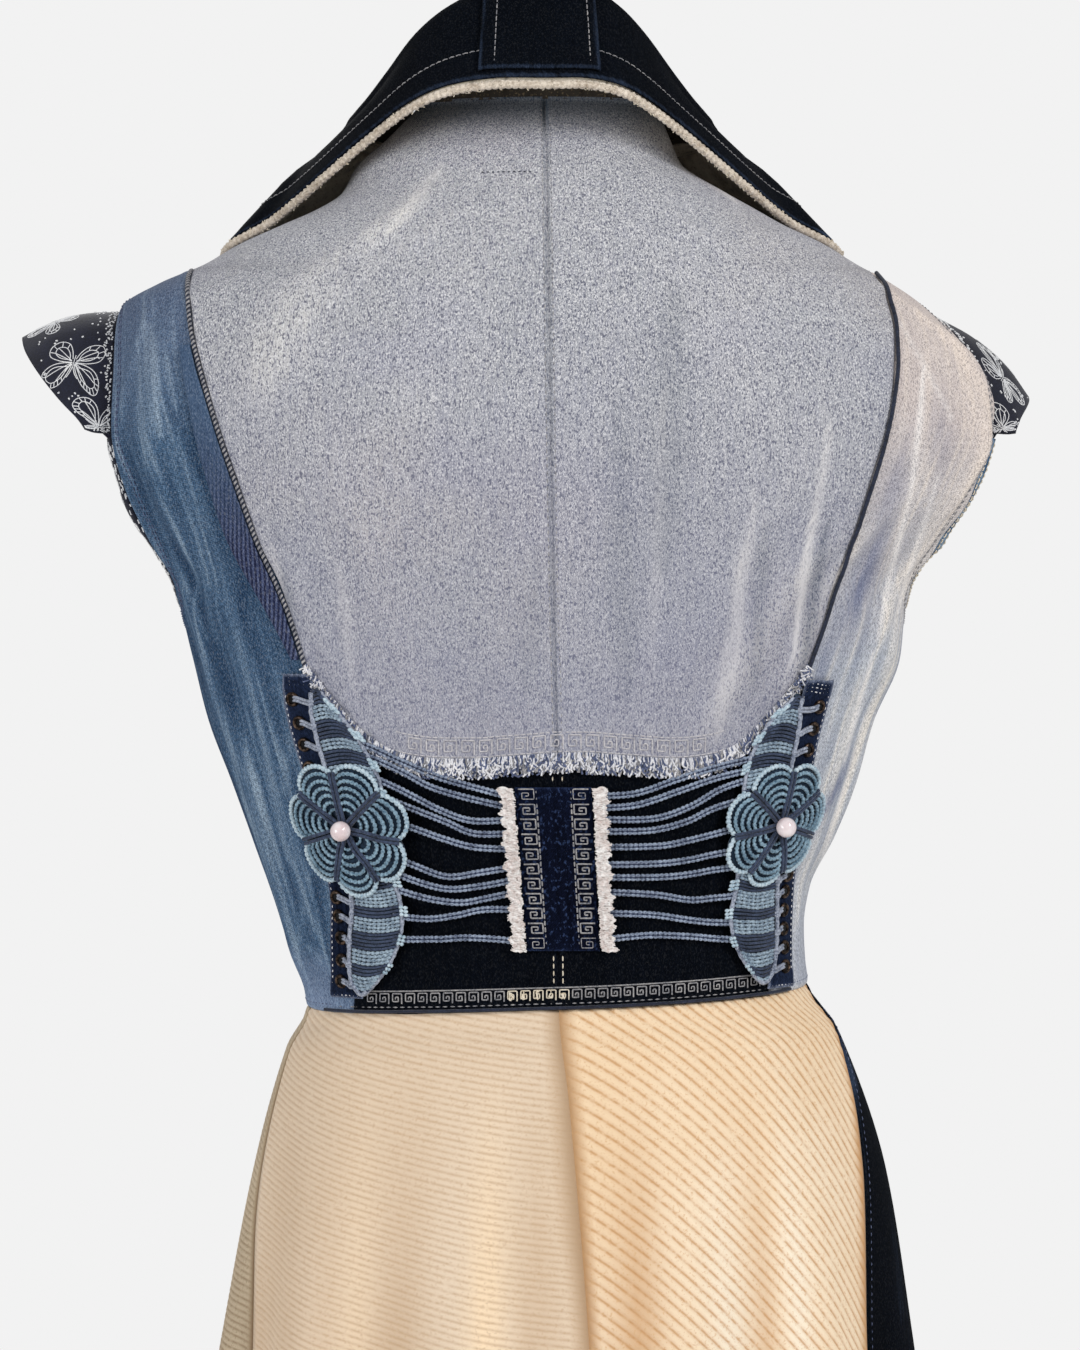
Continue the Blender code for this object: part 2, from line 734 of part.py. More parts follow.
class Collar:
    """The collar as a surface: station from the right front to the left, then seam to edge."""

    def __init__(self):
        last = COLLAR_STATIONS - 1
        self.last = last
        lines = [collar_station(-1, i) for i in range(last, 0, -1)]
        pair = zip(collar_station(1, 0), collar_station(-1, 0))
        middle = tuple((a + b) / 2 for a, b in pair)
        lines += [middle] + [collar_station(1, i) for i in range(1, last + 1)]
        self.lines = [[line[k] for line in lines] for k in range(4)]

    def point(self, station, share):
        """Station 0 is the middle of the back; share runs from 0 at the seam to 1 at the edge."""
        seam, roll, belly, edge = (through(line, station + self.last) for line in self.lines)
        across = edge - seam
        span = np.linalg.norm(across)
        across = across / span
        top = roll - seam
        rise = top - across * (top @ across)
        height = np.linalg.norm(rise)
        rise = rise / height
        bend = min(ROLL_BEND, 0.48 * height)
        before = roll - across * bend - rise * bend * 0.8
        after = roll + across * bend - rise * bend * 0.8
        knots = [seam, (seam + before) / 2 + rise * 0.8, before, roll, after, belly, edge]
        return through(knots, share * (len(knots) - 1))

    def at(self, station, share, lift=0.0):
        """A point this far on the outer, dark side of the collar."""
        step = 0.02
        low, high = max(share - step, 0), min(share + step, 1)
        left, right = min(station + 0.1, self.last), max(station - 0.1, -self.last)
        down = self.point(station, high) - self.point(station, low)
        along = self.point(left, share) - self.point(right, share)
        normal = np.cross(along, down)
        return self.point(station, share) + normal / np.linalg.norm(normal) * lift

    def gap(self, station):
        """Half the space between the collar's two layers, wider down the front."""
        return COLLAR_GAP * (1 + 2.9 * ease((abs(station) - 7) / 3))

    def grid(self, stations, shares, layers, thick=0.0):
        """Points on one side of a layer: layers is 1 for the dark side and -1 for the cream."""
        rows = []
        for station in stations:
            lift = layers * (self.gap(station) + thick)
            rows.append([self.at(station, share, lift) for share in shares])
        return rows


COLLAR_SHARES = (0, 0.17, 0.333, 0.42, 0.5, 0.58, 0.667, 0.834, 1)


def make_collar(maker, collar):
    stations = steps(-collar.last, collar.last, 2 * collar.last + 1)
    outer = collar.grid(stations, COLLAR_SHARES, 1, COLLAR_WALL)
    inner = collar.grid(stations, COLLAR_SHARES, 1)
    maker.slab("collar", outer, inner, "dark denim")
    outer = collar.grid(stations, COLLAR_SHARES, -1)
    inner = collar.grid(stations, COLLAR_SHARES, -1, UNDER_WALL)
    maker.slab("under_collar", outer, inner, "cream rib")


def make_collar_trim(maker, collar):
    """The frayed trim, a round roll just past the collar's free edge."""
    path, ups = [], []
    for station in steps(-collar.last, collar.last, 2 * collar.last + 1):
        edge = collar.at(station, 1)
        back = collar.at(station, 0.9)
        out = (edge - back) / np.linalg.norm(edge - back)
        face = collar.at(station, 1, 1) - edge
        path.append(edge + out * (TRIM_RADIUS + 1.2) + face * 0.4)
        ups.append(face)
    maker.tube("collar_trim", path, "cream fray", TRIM_RADIUS, sides=6, flat=0.8, ups=ups)


def make_collar_strip(maker, collar):
    """The strip stitched over the middle of the collar, from its free edge over the roll."""
    width = collar.lines[1][collar.last + 1][0] - collar.lines[1][collar.last][0]
    reach = COLLAR_STRIP_HALF_WIDTH / width
    stations = steps(-reach, reach, 5)
    shares = COLLAR_SHARES[1:-1] + (0.97,)
    base = COLLAR_WALL + COLLAR_STRIP_LIFT
    outer = collar.grid(stations, shares, 1, base + COLLAR_STRIP_WALL)
    inner = collar.grid(stations, shares, 1, base)
    maker.slab("collar_strip", outer, inner, "dark denim")


# Arms

def edge_frame(place, neighbours):
    """A point of the armhole's edge, its normal, and the way out of the panel's edge."""
    point, normal, _, _ = frame_at(*place)
    along = skin(*neighbours[1]) - skin(*neighbours[0])
    out = np.cross(normal, along)
    out = out / np.linalg.norm(out)
    return point, normal, out


def edge_frames(side, line):
    """Frames along a line of places, the way out turned towards the armhole's middle."""
    opening = np.array((side * 235.0, 0.0, -140.0))
    frames = []
    for i, place in enumerate(line):
        pair = (line[max(i - 1, 0)], line[min(i + 1, len(line) - 1)])
        point, normal, out = edge_frame(place, pair)
        if out @ (opening - point) < 0:
            out = -out
        frames.append((point, normal, out))
    return frames


def make_cap_sleeve(maker, side, name):
    """A pointed cap sleeve, from the back of the armhole over the shoulder to the front."""
    back = armhole_line(side, "back")[:CAP_ROWS]
    front = armhole_line(side, "front")[1:CAP_ROWS]
    line = back[::-1] + front
    rows = LEFT_CAP if side > 0 else RIGHT_CAP
    tips = [np.array((side * out, back_y, height)) for out, back_y, height in rows]
    front_tips = [np.array((side * out, -back_y, height)) for out, back_y, height in rows[1:]]
    edge = tips[::-1] + front_tips
    outer, inner = [], []
    for (point, normal, out), tip in zip(edge_frames(side, line), edge):
        root = point + out * 0.6
        span = tip - root
        reach = np.linalg.norm(span)
        face = normal - span * (normal @ span) / (reach * reach)
        face = face / np.linalg.norm(face)
        arch = 0.07 * reach
        spine = [root, root + span * 0.35 + face * arch, root + span * 0.7 + face * arch, tip]
        outer.append(spine)
        inner.append([p - face * CAP_WALL for p in spine])
    return maker.slab(name, outer, inner, "navy print")


def make_binding(maker, side, name, colour):
    """The binding along the lower armhole, between the ends of the cap sleeve."""
    back = armhole_line(side, "back")[CAP_ROWS - 1:]
    front = armhole_line(side, "front")[CAP_ROWS - 1:-1]
    line = back + front[::-1]
    frames = edge_frames(side, line)
    face = (BINDING_WALL - WALL) / 2
    outer, inner = [], []
    for i, (point, normal, out) in enumerate(frames):
        inset = 1.2 if i in (0, len(frames) - 1) else 0.0
        slide = skin(*line[1 if i == 0 else -2]) - point if inset else np.zeros(3)
        if inset:
            slide = slide / np.linalg.norm(slide) * inset
        near = point + slide + out * 0.4
        far = near + out * BINDING_WIDTH
        outer.append([near + normal * face, far + normal * face])
        inner.append([near - normal * (WALL + face), far - normal * (WALL + face)])
    return maker.slab(name, outer, inner, colour)


# The laced back

# Eyelet strips: height, then distances of the inner and outer edges from the middle
STRIP_COLUMNS = ("height", "inner", "outer")
STRIP_ROWS = {
    1: ((-253, 125, 140), (-266, 123, 140), (-282, 119.5, 137), (-302, 114, 131),
        (-320, 110, 127), (-336, 106, 123), (-352, 103, 120), (-368, 100.5, 117),
        (-390, 100, 117), (-405, 100, 117), (-421, 100, 117)),
    -1: ((-256, 124, 140), (-270, 122, 137), (-286, 118.5, 133), (-304, 114.5, 129.5),
         (-322, 111.5, 126.5), (-339, 109, 124), (-355, 107, 122), (-370, 106, 121),
         (-388, 106, 120.5), (-402, 106.5, 120.5), (-417, 107, 121)),
}
EYELET_PLACES = {
    1: ((135, -266), (131.5, -278), (129, -289), (126.5, -301), (113, -368), (111.5, -378),
        (110.5, -389), (110.5, -401), (111, -412)),
    -1: ((132, -269.5), (129, -281), (126.5, -292), (117, -357), (115.5, -366), (115, -376),
         (115, -386), (115.5, -396), (116, -406)),
}
# Knotted wings: height, then distances of the outer and inner edges from the middle
WING_COLUMNS = ("height", "outer", "inner")
WING_ROWS = {
    1: ((-262, 124, 120), (-270, 124, 113), (-279, 122.5, 105), (-288, 120.5, 99),
        (-298, 117.5, 94), (-308, 115, 90), (-320, 111.5, 88), (-334, 108, 87),
        (-348, 105.5, 86.5), (-359, 104.5, 83), (-369, 104, 80), (-380, 104.5, 79),
        (-391, 105, 81), (-401, 105, 85), (-410, 104, 91), (-416, 101, 96)),
    -1: ((-264, 121, 117), (-272, 121, 110), (-280, 119.5, 104), (-289, 118, 99),
         (-299, 116, 95), (-309, 114, 93), (-320, 112.5, 92), (-334, 111, 91),
         (-346, 110, 90), (-357, 109.5, 89), (-367, 109, 87.5), (-378, 109, 86.5),
         (-388, 109, 88), (-397, 108.5, 91), (-405, 107.5, 96), (-411, 105, 100)),
}
# Braids: from the wing to the frayed strip, each a few places as distance and height
BRAIDS = {
    1: (
        ((103, -286), (80, -297), (61.5, -305), (45, -310), (26, -315)),
        ((99, -293), (79, -302.5), (64, -310.5), (46, -316), (26, -320.5)),
        ((95, -304.5), (77, -313), (60, -322), (44, -327.5), (25, -327)),
        ((94, -313), (73, -321.5), (57, -328), (43, -334), (24.5, -334)),
        ((93, -325), (74, -331), (59, -336.5), (43, -341), (24, -342)),
        ((91, -344), (75, -349.5), (57, -356), (40, -354), (23, -351)),
        ((90, -351), (72, -358.5), (56, -362.5), (40, -361), (22.5, -357.5)),
        ((87, -361), (68, -367), (51, -369.5), (38, -367.5), (22, -364.5)),
        ((84, -376.5), (66, -378), (52, -376), (40, -373.5), (20.5, -373)),
        ((84, -389), (66, -388.5), (52, -388), (38, -388), (19.5, -389.5)),
    ),
    -1: (
        ((101, -295), (80, -300), (59, -306.5), (39, -313.5), (19, -315)),
        ((99, -301), (80, -305.5), (60, -312.5), (39, -319.5), (19, -321)),
        ((97, -306), (81, -311.5), (65.5, -320.5), (47, -326.5), (19.5, -326.8)),
        ((95, -316), (77, -321.5), (64, -328), (46, -332.5), (20, -333)),
        ((95, -330), (79, -334), (66, -337.5), (50, -340.5), (20.5, -341)),
        ((95, -342), (79, -344.5), (66, -347.5), (50, -349.5), (21, -350)),
        ((94, -350.5), (79, -352.5), (66, -355), (50, -356.5), (21.5, -356.5)),
        ((92, -366), (79, -367.5), (66, -368.5), (48, -365.5), (22, -364)),
        ((91, -380.5), (79, -380.5), (66, -379), (47, -376), (23, -375)),
        ((92, -390), (79, -389), (66, -387.5), (46, -386.5), (24, -388.5)),
    ),
}
FLOWERS = {1: (106.5, -331, 33.5), -1: (109.5, -329, 31.0)}
PANEL_CORNERS = ((22.6, -310.5), (-16.4, -310.5), (-20.6, -394.5), (16.4, -394.5))
FRAY_EDGES = {
    1: ((29.2, 23.3), (22.8, 16.9)),
    -1: ((-23.0, -17.1), (-27.4, -21.5)),
}
WING_LIFT = 5.1
WING_WALL = 2.2
KNOT_RELIEF = 0.7
WING_RIDGES = 21
BRAID_RADIUS = 1.9
BRAID_FLAT = 0.6
BRAID_LIFT = 3.9
BRAID_END_LIFT = 2.2
FLOWER_LIFT = 6.4
FLOWER_HEIGHT = 3.6
FLOWER_DIMPLE = 0.3
PETALS = 7
FRAY_LOCKS = 17
FRAY_REACH = (1.6, 3.1)
FRAY_SWAY = 1.1
FRINGE_STRANDS = 48
FRINGE_END = 90.0
FRINGE_TOP = 0.6
FRINGE_ROOT = 2.8
FRINGE_REACH = (4.5, 8.0)
FRINGE_SWAY = 1.2


def table_curves(rows):
    heights = [row[0] for row in rows]
    return [smooth(heights, [row[k] for row in rows]) for k in range(1, len(rows[0]))]


def make_eyelet_strip(maker, side, name):
    grid = []
    for height, inner, outer in STRIP_ROWS[side]:
        middle = (inner + outer) / 2
        grid.append([back_place(side * out, height) for out in (inner, middle, outer)])
    maker.wall(name, grid, "knotted cord", STRIP_LIFT + STRIP_WALL, STRIP_WALL)


def ring_of(place, lift, radius, count, turn=0.0):
    """Points of a circle laid on the cloth around a place."""
    point, normal, _, upward = frame_at(*place)
    up = upward / np.linalg.norm(upward)
    across = np.cross(normal, up)
    centre = point + normal * lift
    angles = [2 * pi * k / count + turn for k in range(count)]
    return [centre + (across * cos(a) + up * sin(a)) * radius for a in angles]


def make_eyelets(maker, side, name):
    """Flat metal rings set on the strip."""
    sides = 8
    base = STRIP_LIFT + STRIP_WALL + EYELET_LIFT
    for number, (out, height) in enumerate(EYELET_PLACES[side], start=1):
        place = back_place(side * out, height)
        loops = [
            ring_of(place, base, EYELET_HOLE, sides),
            ring_of(place, base, EYELET_OUTER, sides),
            ring_of(place, base + EYELET_HEIGHT, (EYELET_OUTER + EYELET_HOLE) / 2, sides),
        ]
        points = [p for loop in loops for p in loop]
        faces = []
        for k in range(len(loops)):
            low, high = k * sides, (k + 1) % len(loops) * sides
            for i in range(sides):
                n = (i + 1) % sides
                faces.append((low + i, low + n, high + n, high + i))
        maker.mesh(f"{name}_{number}", points, faces, "brass")


def make_wing(maker, side, name):
    """The knotted wings with the cord along the lacing, in ridges of knots."""
    outer_edge, inner_edge = table_curves(WING_ROWS[side])
    top, bottom = WING_ROWS[side][0][0], WING_ROWS[side][-1][0]
    outer, inner = [], []
    for j, height in enumerate(steps(top, bottom, WING_RIDGES)):
        high, low = [], []
        for i, share in enumerate((0, 0.25, 0.5, 0.75, 1)):
            out = outer_edge(height) + (inner_edge(height) - outer_edge(height)) * share
            sag = 5.0 * sin(pi * share) * (1 if height > -330 else -1) * 0.4
            point, normal, _, _ = frame_at(*back_place(side * out, height + sag))
            ridge = KNOT_RELIEF * (1 if j % 2 else -1) * (0.4 if i in (0, 4) else 1)
            high.append(point + normal * (WING_LIFT + ridge))
            low.append(point + normal * (WING_LIFT - WING_WALL))
        outer.append(high)
        inner.append(low)
    return maker.slab(name, outer, inner, "knotted cord")


def make_braid(maker, side, number, places):
    """One flat braid from under the wing to under the frayed strip."""
    knots = [np.array(place, float) for place in places]
    path, ups = [], []
    for share in steps(0, 1, 6):
        out, height = through(knots, share * (len(knots) - 1))
        point, normal, _, _ = frame_at(*back_place(side * out, height))
        lift = BRAID_LIFT + (BRAID_END_LIFT - BRAID_LIFT) * ease(share * 1.1)
        path.append(point + normal * lift)
        ups.append(normal)
    name = f"braid {'left' if side > 0 else 'right'} {number}"
    return maker.tube(
        name, path, "knotted cord", BRAID_RADIUS, sides=6, flat=BRAID_FLAT, ups=ups, tool=True
    )


def make_macrame(maker, side, name):
    wing = make_wing(maker, side, name)
    braids = [make_braid(maker, side, n, row) for n, row in enumerate(BRAIDS[side], start=1)]
    join(wing, braids)


def make_flower(maker, side, name, bead_name):
    """A flower of seven looped petals with raised rings, and its bead."""
    out, height, radius = FLOWERS[side]
    centre = back_place(side * out, height)
    point, normal, around, upward = frame_at(*centre)
    per_turn = np.linalg.norm(around)
    up = upward / np.linalg.norm(upward)
    across = around / per_turn
    spokes = PETALS * 5
    rings = (0.18, 0.4, 0.52, 0.66, 0.8, 1.0)
    waves = (0.3, 0.85, 0.6, 1.0, 0.75, 0.3)

    def place_of(reach, turn):
        a = reach * cos(turn)
        b = reach * sin(turn)
        return moved(centre, across * a + up * b)

    points, base = [], []
    for share, wave in zip(rings, waves):
        for k in range(spokes):
            turn = 2 * pi * k / spokes + pi / 2
            lobe = abs(sin(PETALS * (turn - pi / 2) / 2))
            rim = radius * (0.80 + 0.20 * lobe ** 0.6)
            valley = 0.35 + 0.65 * min(1.0, lobe * 1.8)
            place = place_of(rim * share, turn)
            spot, out_way, _, _ = frame_at(*place)
            points.append(spot + out_way * (FLOWER_LIFT + FLOWER_HEIGHT * wave * valley))
            if share in (rings[2], rings[-1]):
                base.append(spot + out_way * FLOWER_LIFT)
    middle = len(points)
    points.append(point + normal * (FLOWER_LIFT + FLOWER_HEIGHT * FLOWER_DIMPLE))
    inside = len(points)
    start = inside + spokes
    points += base
    below = len(points)
    points.append(point + normal * FLOWER_LIFT)
    faces = []
    for j in range(len(rings) - 1):
        for k in range(spokes):
            n = (k + 1) % spokes
            a, b = j * spokes, (j + 1) * spokes
            faces.append((a + k, a + n, b + n, b + k))
    last = (len(rings) - 1) * spokes
    for k in range(spokes):
        n = (k + 1) % spokes
        faces.append((k, n, middle))
        faces.append((last + k, last + n, start + n, start + k))
        faces.append((start + k, start + n, inside + n, inside + k))
        faces.append((inside + k, inside + n, below))
    maker.mesh(name, points, faces, "petal cord")
    built = bmesh.new()
    bmesh.ops.create_uvsphere(built, u_segments=10, v_segments=7, radius=BEAD_RADIUS * MM)
    seat = point + normal * (FLOWER_LIFT + FLOWER_HEIGHT * FLOWER_DIMPLE + BEAD_RADIUS + BEAD_LIFT)
    bmesh.ops.translate(built, verts=built.verts, vec=Vector(seat) * MM)
    data = bpy.data.meshes.new(bead_name)
    built.to_mesh(data)
    built.free()
    maker.add(bead_name, data, "bead")


def make_centre_panel(maker):
    """The dark panel between the frayed strips."""
    (left, top), (right, _), (low_right, bottom), (low_left, _) = PANEL_CORNERS
    grid = []
    for share in steps(0, 1, 5):
        start = left + (low_left - left) * share
        end = right + (low_right - right) * share
        height = top + (bottom - top) * share
        grid.append([back_place(out, height) for out in steps(start, end, 5)])
    maker.wall("centre_panel", grid, "dark denim", PANEL_LIFT, PANEL_WALL)


def unit(vector):
    return vector / np.linalg.norm(vector)


def locked_strip(maker, name, rungs, colour, taper, tip_of):
    """A narrow backing strip with a lock of threads standing out of every other step of it.

    Each rung is the near and far corner on top, then the far and near corner below.
    """
    points = [corner for rung in rungs for corner in rung]
    faces = []
    for j in range(len(rungs) - 1):
        a, b = 4 * j, 4 * (j + 1)
        faces.append((a, a + 1, b + 1, b))
        faces.append((a + 3, a + 2, b + 2, b + 3))
        faces.append((a, a + 3, b + 3, b))
        root = (a + 1, a + 2, b + 2, b + 1)
        if j % 2:
            faces.append(root)
            continue
        centre = sum(points[k] for k in root) / 4
        out = unit(points[a + 1] - points[a] + points[b + 1] - points[b])
        up = unit(points[a + 1] - points[a + 2])
        along = unit(points[b + 1] - points[a + 1])
        tip = centre + tip_of(j, out, along, up)
        ends = list(range(len(points), len(points) + 4))
        points += [tip + (points[k] - centre) * taper for k in root]
        for k in range(4):
            n = (k + 1) % 4
            faces.append((root[k], root[n], ends[n], ends[k]))
        faces.append(tuple(ends))
    faces.append((0, 1, 2, 3))
    faces.append(tuple(4 * (len(rungs) - 1) + k for k in range(4)))
    return maker.mesh(name, points, faces, colour)


def uneven(index, factor, modulus):
    """A value from 0 to 1 that jumps about from one index to the next."""
    return (index * factor) % modulus / (modulus - 1)


def make_frayed_strip(maker, side, name):
    """A torn strip of cloth whose outer side frays into locks."""
    (top_out, top_in), (low_out, low_in) = FRAY_EDGES[side]
    top, bottom = PANEL_CORNERS[0][1], PANEL_CORNERS[2][1]
    rungs = []
    for share in steps(0, 1, 2 * FRAY_LOCKS + 1):
        height = top + (bottom - top) * share
        near = lifted_pair(top_in + (low_in - top_in) * share, height, FRAY_LIFT, FRAY_WALL)
        far = lifted_pair(top_out + (low_out - top_out) * share, height, FRAY_LIFT, FRAY_WALL)
        rungs.append((near[0], far[0], far[1], near[1]))

    def tip_of(j, out, along, up):
        reach = FRAY_REACH[0] + (FRAY_REACH[1] - FRAY_REACH[0]) * uneven(j, 7, 5)
        sway = (uneven(j, 5, 7) - 0.5) * FRAY_SWAY
        return out * reach + along * sway + up * (uneven(j, 3, 4) - 0.2)

    locked_strip(maker, name, rungs, "cream fray", 0.45, tip_of)


def lifted_pair(out, height, lift, thick):
    """Points of the top and the underside of a strip laid on the back."""
    point, normal, _, _ = frame_at(*back_place(out, height))
    return point + normal * lift, point + normal * (lift - thick)


def make_back_fringe(maker):
    """The frayed raw edge: a narrow strip on the band with threads hanging from it."""
    left = [row for row in LEFT_HEM if row[0] < FRINGE_END]
    right = [row for row in RIGHT_HEM if row[0] > -FRINGE_END]
    line = [np.array(row, float) for row in right[::-1][:-1] + left]
    rungs = []
    for at in steps(0, len(line) - 1, 2 * FRINGE_STRANDS + 1):
        out, height = through(line, at)
        near = lifted_pair(out, height - FRINGE_TOP, FRINGE_LIFT, FRINGE_WALL)
        far = lifted_pair(out, height - FRINGE_ROOT, FRINGE_LIFT, FRINGE_WALL)
        rungs.append((near[0], far[0], far[1], near[1]))

    def tip_of(j, out, along, up):
        reach = FRINGE_REACH[0] + (FRINGE_REACH[1] - FRINGE_REACH[0]) * uneven(j, 11, 7)
        return out * reach + along * (uneven(j, 5, 9) - 0.5) * FRINGE_SWAY

    locked_strip(maker, "back_fringe", rungs, "grey denim", 0.4, tip_of)


def make_piping(maker):
    """The thick dark piping on the right seam."""
    path, ups = [], []
    for height in SEAM_HEIGHTS:
        point, normal, _, _ = frame_at(*seam_place(-1, height))
        path.append(point + normal * (PIPING_RADIUS * PIPING_FLAT + SEAM_GAP))
        ups.append(normal)
    maker.tube(
        "seam_piping_right", path, "dark denim", PIPING_RADIUS, flat=PIPING_FLAT, ups=ups
    )


# The twill strip: height and width
TWILL_ROWS = ((-85, 6), (-110, 9), (-137, 12), (-165, 13.5), (-192, 13), (-222, 9), (-246, 4))


def make_seam_strip(maker):
    """The darker twill strip beside the left seam."""
    grid = []
    for height, width in TWILL_ROWS:
        near = SEAM_OUT[1](height) + 1.5
        grid.append([back_place(out, height) for out in steps(near, near + width, 3)])
    maker.wall("seam_strip_left", grid, "blue denim", TWILL_LIFT, TWILL_WALL)


def clear_scene():
    for thing in list(bpy.data.objects):
        bpy.data.objects.remove(thing)


def make_torso(maker):
    for side, word, colour in ((1, "left", "blue denim"), (-1, "right", "beige denim")):
        make_back(maker, side, f"back_{word}")
        make_side_back(maker, side, f"side_back_{word}", colour)
        make_front(maker, side, f"front_{word}")
        make_band(maker, side, f"back_band_{word}")
    make_piping(maker)
    make_seam_strip(maker)
    make_back_fringe(maker)


def make_skirts(maker):
    cream_left = seam_angle(CREAM_LEFT_SEAM)
    cream_right = seam_angle(CREAM_RIGHT_SEAM)
    tan = seam_angle(TAN_SEAM)
    make_skirt(maker, "skirt_back_left", centre_angle, cream_left, 12, "cream rib")
    make_skirt(maker, "skirt_side_left", cream_left, tan, 8, "tan rib")
    make_skirt(maker, "skirt_front_left", tan, front_angle(1), 9, "dark denim")
    make_skirt(maker, "skirt_back_right", cream_right, centre_angle, 12, "cream rib")
    make_skirt(maker, "skirt_front_right", front_angle(-1), cream_right, 14, "dark denim")


def make_neck_and_arms(maker):
    collar = Collar()
    make_collar(maker, collar)
    make_collar_trim(maker, collar)
    make_collar_strip(maker, collar)
    make_cap_sleeve(maker, 1, "cap_sleeve_left")
    make_cap_sleeve(maker, -1, "cap_sleeve_right")
    make_binding(maker, 1, "armhole_binding_left", "navy print")
    make_binding(maker, -1, "armhole_binding_right", "blue denim")


def make_laced_back(maker):
    make_centre_panel(maker)
    for side, word in ((1, "left"), (-1, "right")):
        make_eyelet_strip(maker, side, f"eyelet_strip_{word}")
        make_eyelets(maker, side, f"eyelet_{word}")
        make_macrame(maker, side, f"macrame_{word}")
        make_flower(maker, side, f"flower_{word}", f"flower_bead_{word}")
        make_frayed_strip(maker, side, f"frayed_strip_{word}")


def main():
    clear_scene()
    maker = Maker()
    make_torso(maker)
    make_skirts(maker)
    make_neck_and_arms(maker)
    make_laced_back(maker)


main()
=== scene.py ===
"""Macrame vest: the looks of the garment, laid out as an add-on and run as a script.

Metres, +Z up. The back faces +Y and the wearer's left is +X. Places on the cloth are an
angle around the body, 0 at the centre back and 90 at the wearer's left side, and a height.
"""

from math import atan, cos, pi, radians, sin

import bmesh
import bpy
import numpy as np
from mathutils import Matrix, Vector


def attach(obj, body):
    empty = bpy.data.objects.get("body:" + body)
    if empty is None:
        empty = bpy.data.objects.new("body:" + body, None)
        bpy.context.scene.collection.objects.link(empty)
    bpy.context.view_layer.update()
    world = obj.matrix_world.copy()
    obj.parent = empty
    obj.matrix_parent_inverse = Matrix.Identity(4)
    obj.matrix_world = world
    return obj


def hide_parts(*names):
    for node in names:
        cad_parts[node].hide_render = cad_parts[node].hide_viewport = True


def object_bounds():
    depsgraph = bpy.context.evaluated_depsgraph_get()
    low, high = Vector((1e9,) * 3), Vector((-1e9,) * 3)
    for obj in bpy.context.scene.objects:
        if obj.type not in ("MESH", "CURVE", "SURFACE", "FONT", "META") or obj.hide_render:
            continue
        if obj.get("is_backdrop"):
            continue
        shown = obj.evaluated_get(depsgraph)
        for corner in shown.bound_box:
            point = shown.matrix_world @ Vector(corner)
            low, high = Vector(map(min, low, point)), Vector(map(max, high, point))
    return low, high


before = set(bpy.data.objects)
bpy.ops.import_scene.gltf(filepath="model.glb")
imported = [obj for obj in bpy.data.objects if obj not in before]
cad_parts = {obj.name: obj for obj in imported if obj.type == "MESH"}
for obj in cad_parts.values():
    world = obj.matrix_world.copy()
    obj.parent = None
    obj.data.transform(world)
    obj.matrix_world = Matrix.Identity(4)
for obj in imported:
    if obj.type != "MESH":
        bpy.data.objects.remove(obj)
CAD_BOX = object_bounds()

bl_info = {
    "name": "Macrame vest",
    "version": (1, 0, 0),
    "blender": (4, 5, 0),
    "location": "View3D > Sidebar > Vest",
    "description": "Cloth, knotwork, trims and finishes of a long macrame denim vest",
    "category": "Add Mesh",
}

MM = 0.001
SEED = 7

# Sizes in millimetres, as in the part's source
NECK = 45.0
WAIST = -425.0
HEM = -941.0
SQUARENESS = 2.4
WAIST_TILT = 6.0
TILT_REACH = 70.0

# The body form: half widths to the left and right, depths of the back and front, and how
# far back the shoulder ridge lies
BODY_COLUMNS = ("height", "left", "right", "back", "front", "ridge")
BODY_ROWS = (
    (45, 74, 52, 62, 10, 34),
    (27, 93, 60, 76, 32, 28),
    (15, 107, 66, 84, 44, 24),
    (0, 116, 90, 92, 58, 20),
    (-9, 131, 107, 96, 62, 16),
    (-17, 150, 122, 99, 67, 13),
    (-27, 173, 144, 103, 73, 10),
    (-37, 191, 161, 106, 79, 7),
    (-47, 216, 180, 109, 84, 4),
    (-58, 234, 196, 112, 89, 2),
    (-90, 242, 226, 118, 103, 0),
    (-127, 245, 238, 122, 113, 0),
    (-160, 236, 226, 121, 118, 0),
    (-185, 221, 206, 119, 120, 0),
    (-208, 206, 189, 117, 121, 0),
    (-246, 196, 181, 113, 120, 0),
    (-278, 188, 166, 109, 116, 0),
    (-310, 176, 156, 105, 111, 0),
    (-343, 164, 145, 100, 106, 0),
    (-370, 153, 134, 96, 103, 0),
    (-394, 145, 132, 94, 100, 0),
    (-425, 135, 134, 93, 98, 0),
    (-448, 146, 150, 103, 107, 0),
    (-521, 164, 176, 122, 125, 0),
    (-597, 176, 186, 136, 139, 0),
    (-700, 190, 197, 150, 151, 0),
    (-820, 205, 208, 161, 161, 0),
    (-945, 221, 220, 169, 168, 0),
)

# Distance of each seam from the middle of the back, as seen from behind
CENTRE_SEAM = ((45, 7), (-216, 3), (-297, 1), (-425, 0), (-470, -5), (-590, -15), (-945, -34))
LEFT_SEAM = (
    (-37, 191), (-47, 192), (-58, 191), (-75, 189), (-92, 185), (-115, 178), (-137, 171),
    (-160, 163), (-185, 154), (-208, 144), (-225, 137), (-251, 129), (-280, 122),
    (-310, 117), (-343, 112), (-380, 109), (-425, 107),
)
RIGHT_SEAM = (
    (-37, 161), (-47, 167), (-58, 170), (-75, 173), (-92, 173), (-115, 170), (-137, 165),
    (-160, 158), (-185, 149), (-208, 140), (-225, 135), (-251, 126), (-280, 119),
    (-310, 112), (-343, 109), (-380, 108), (-425, 110),
)

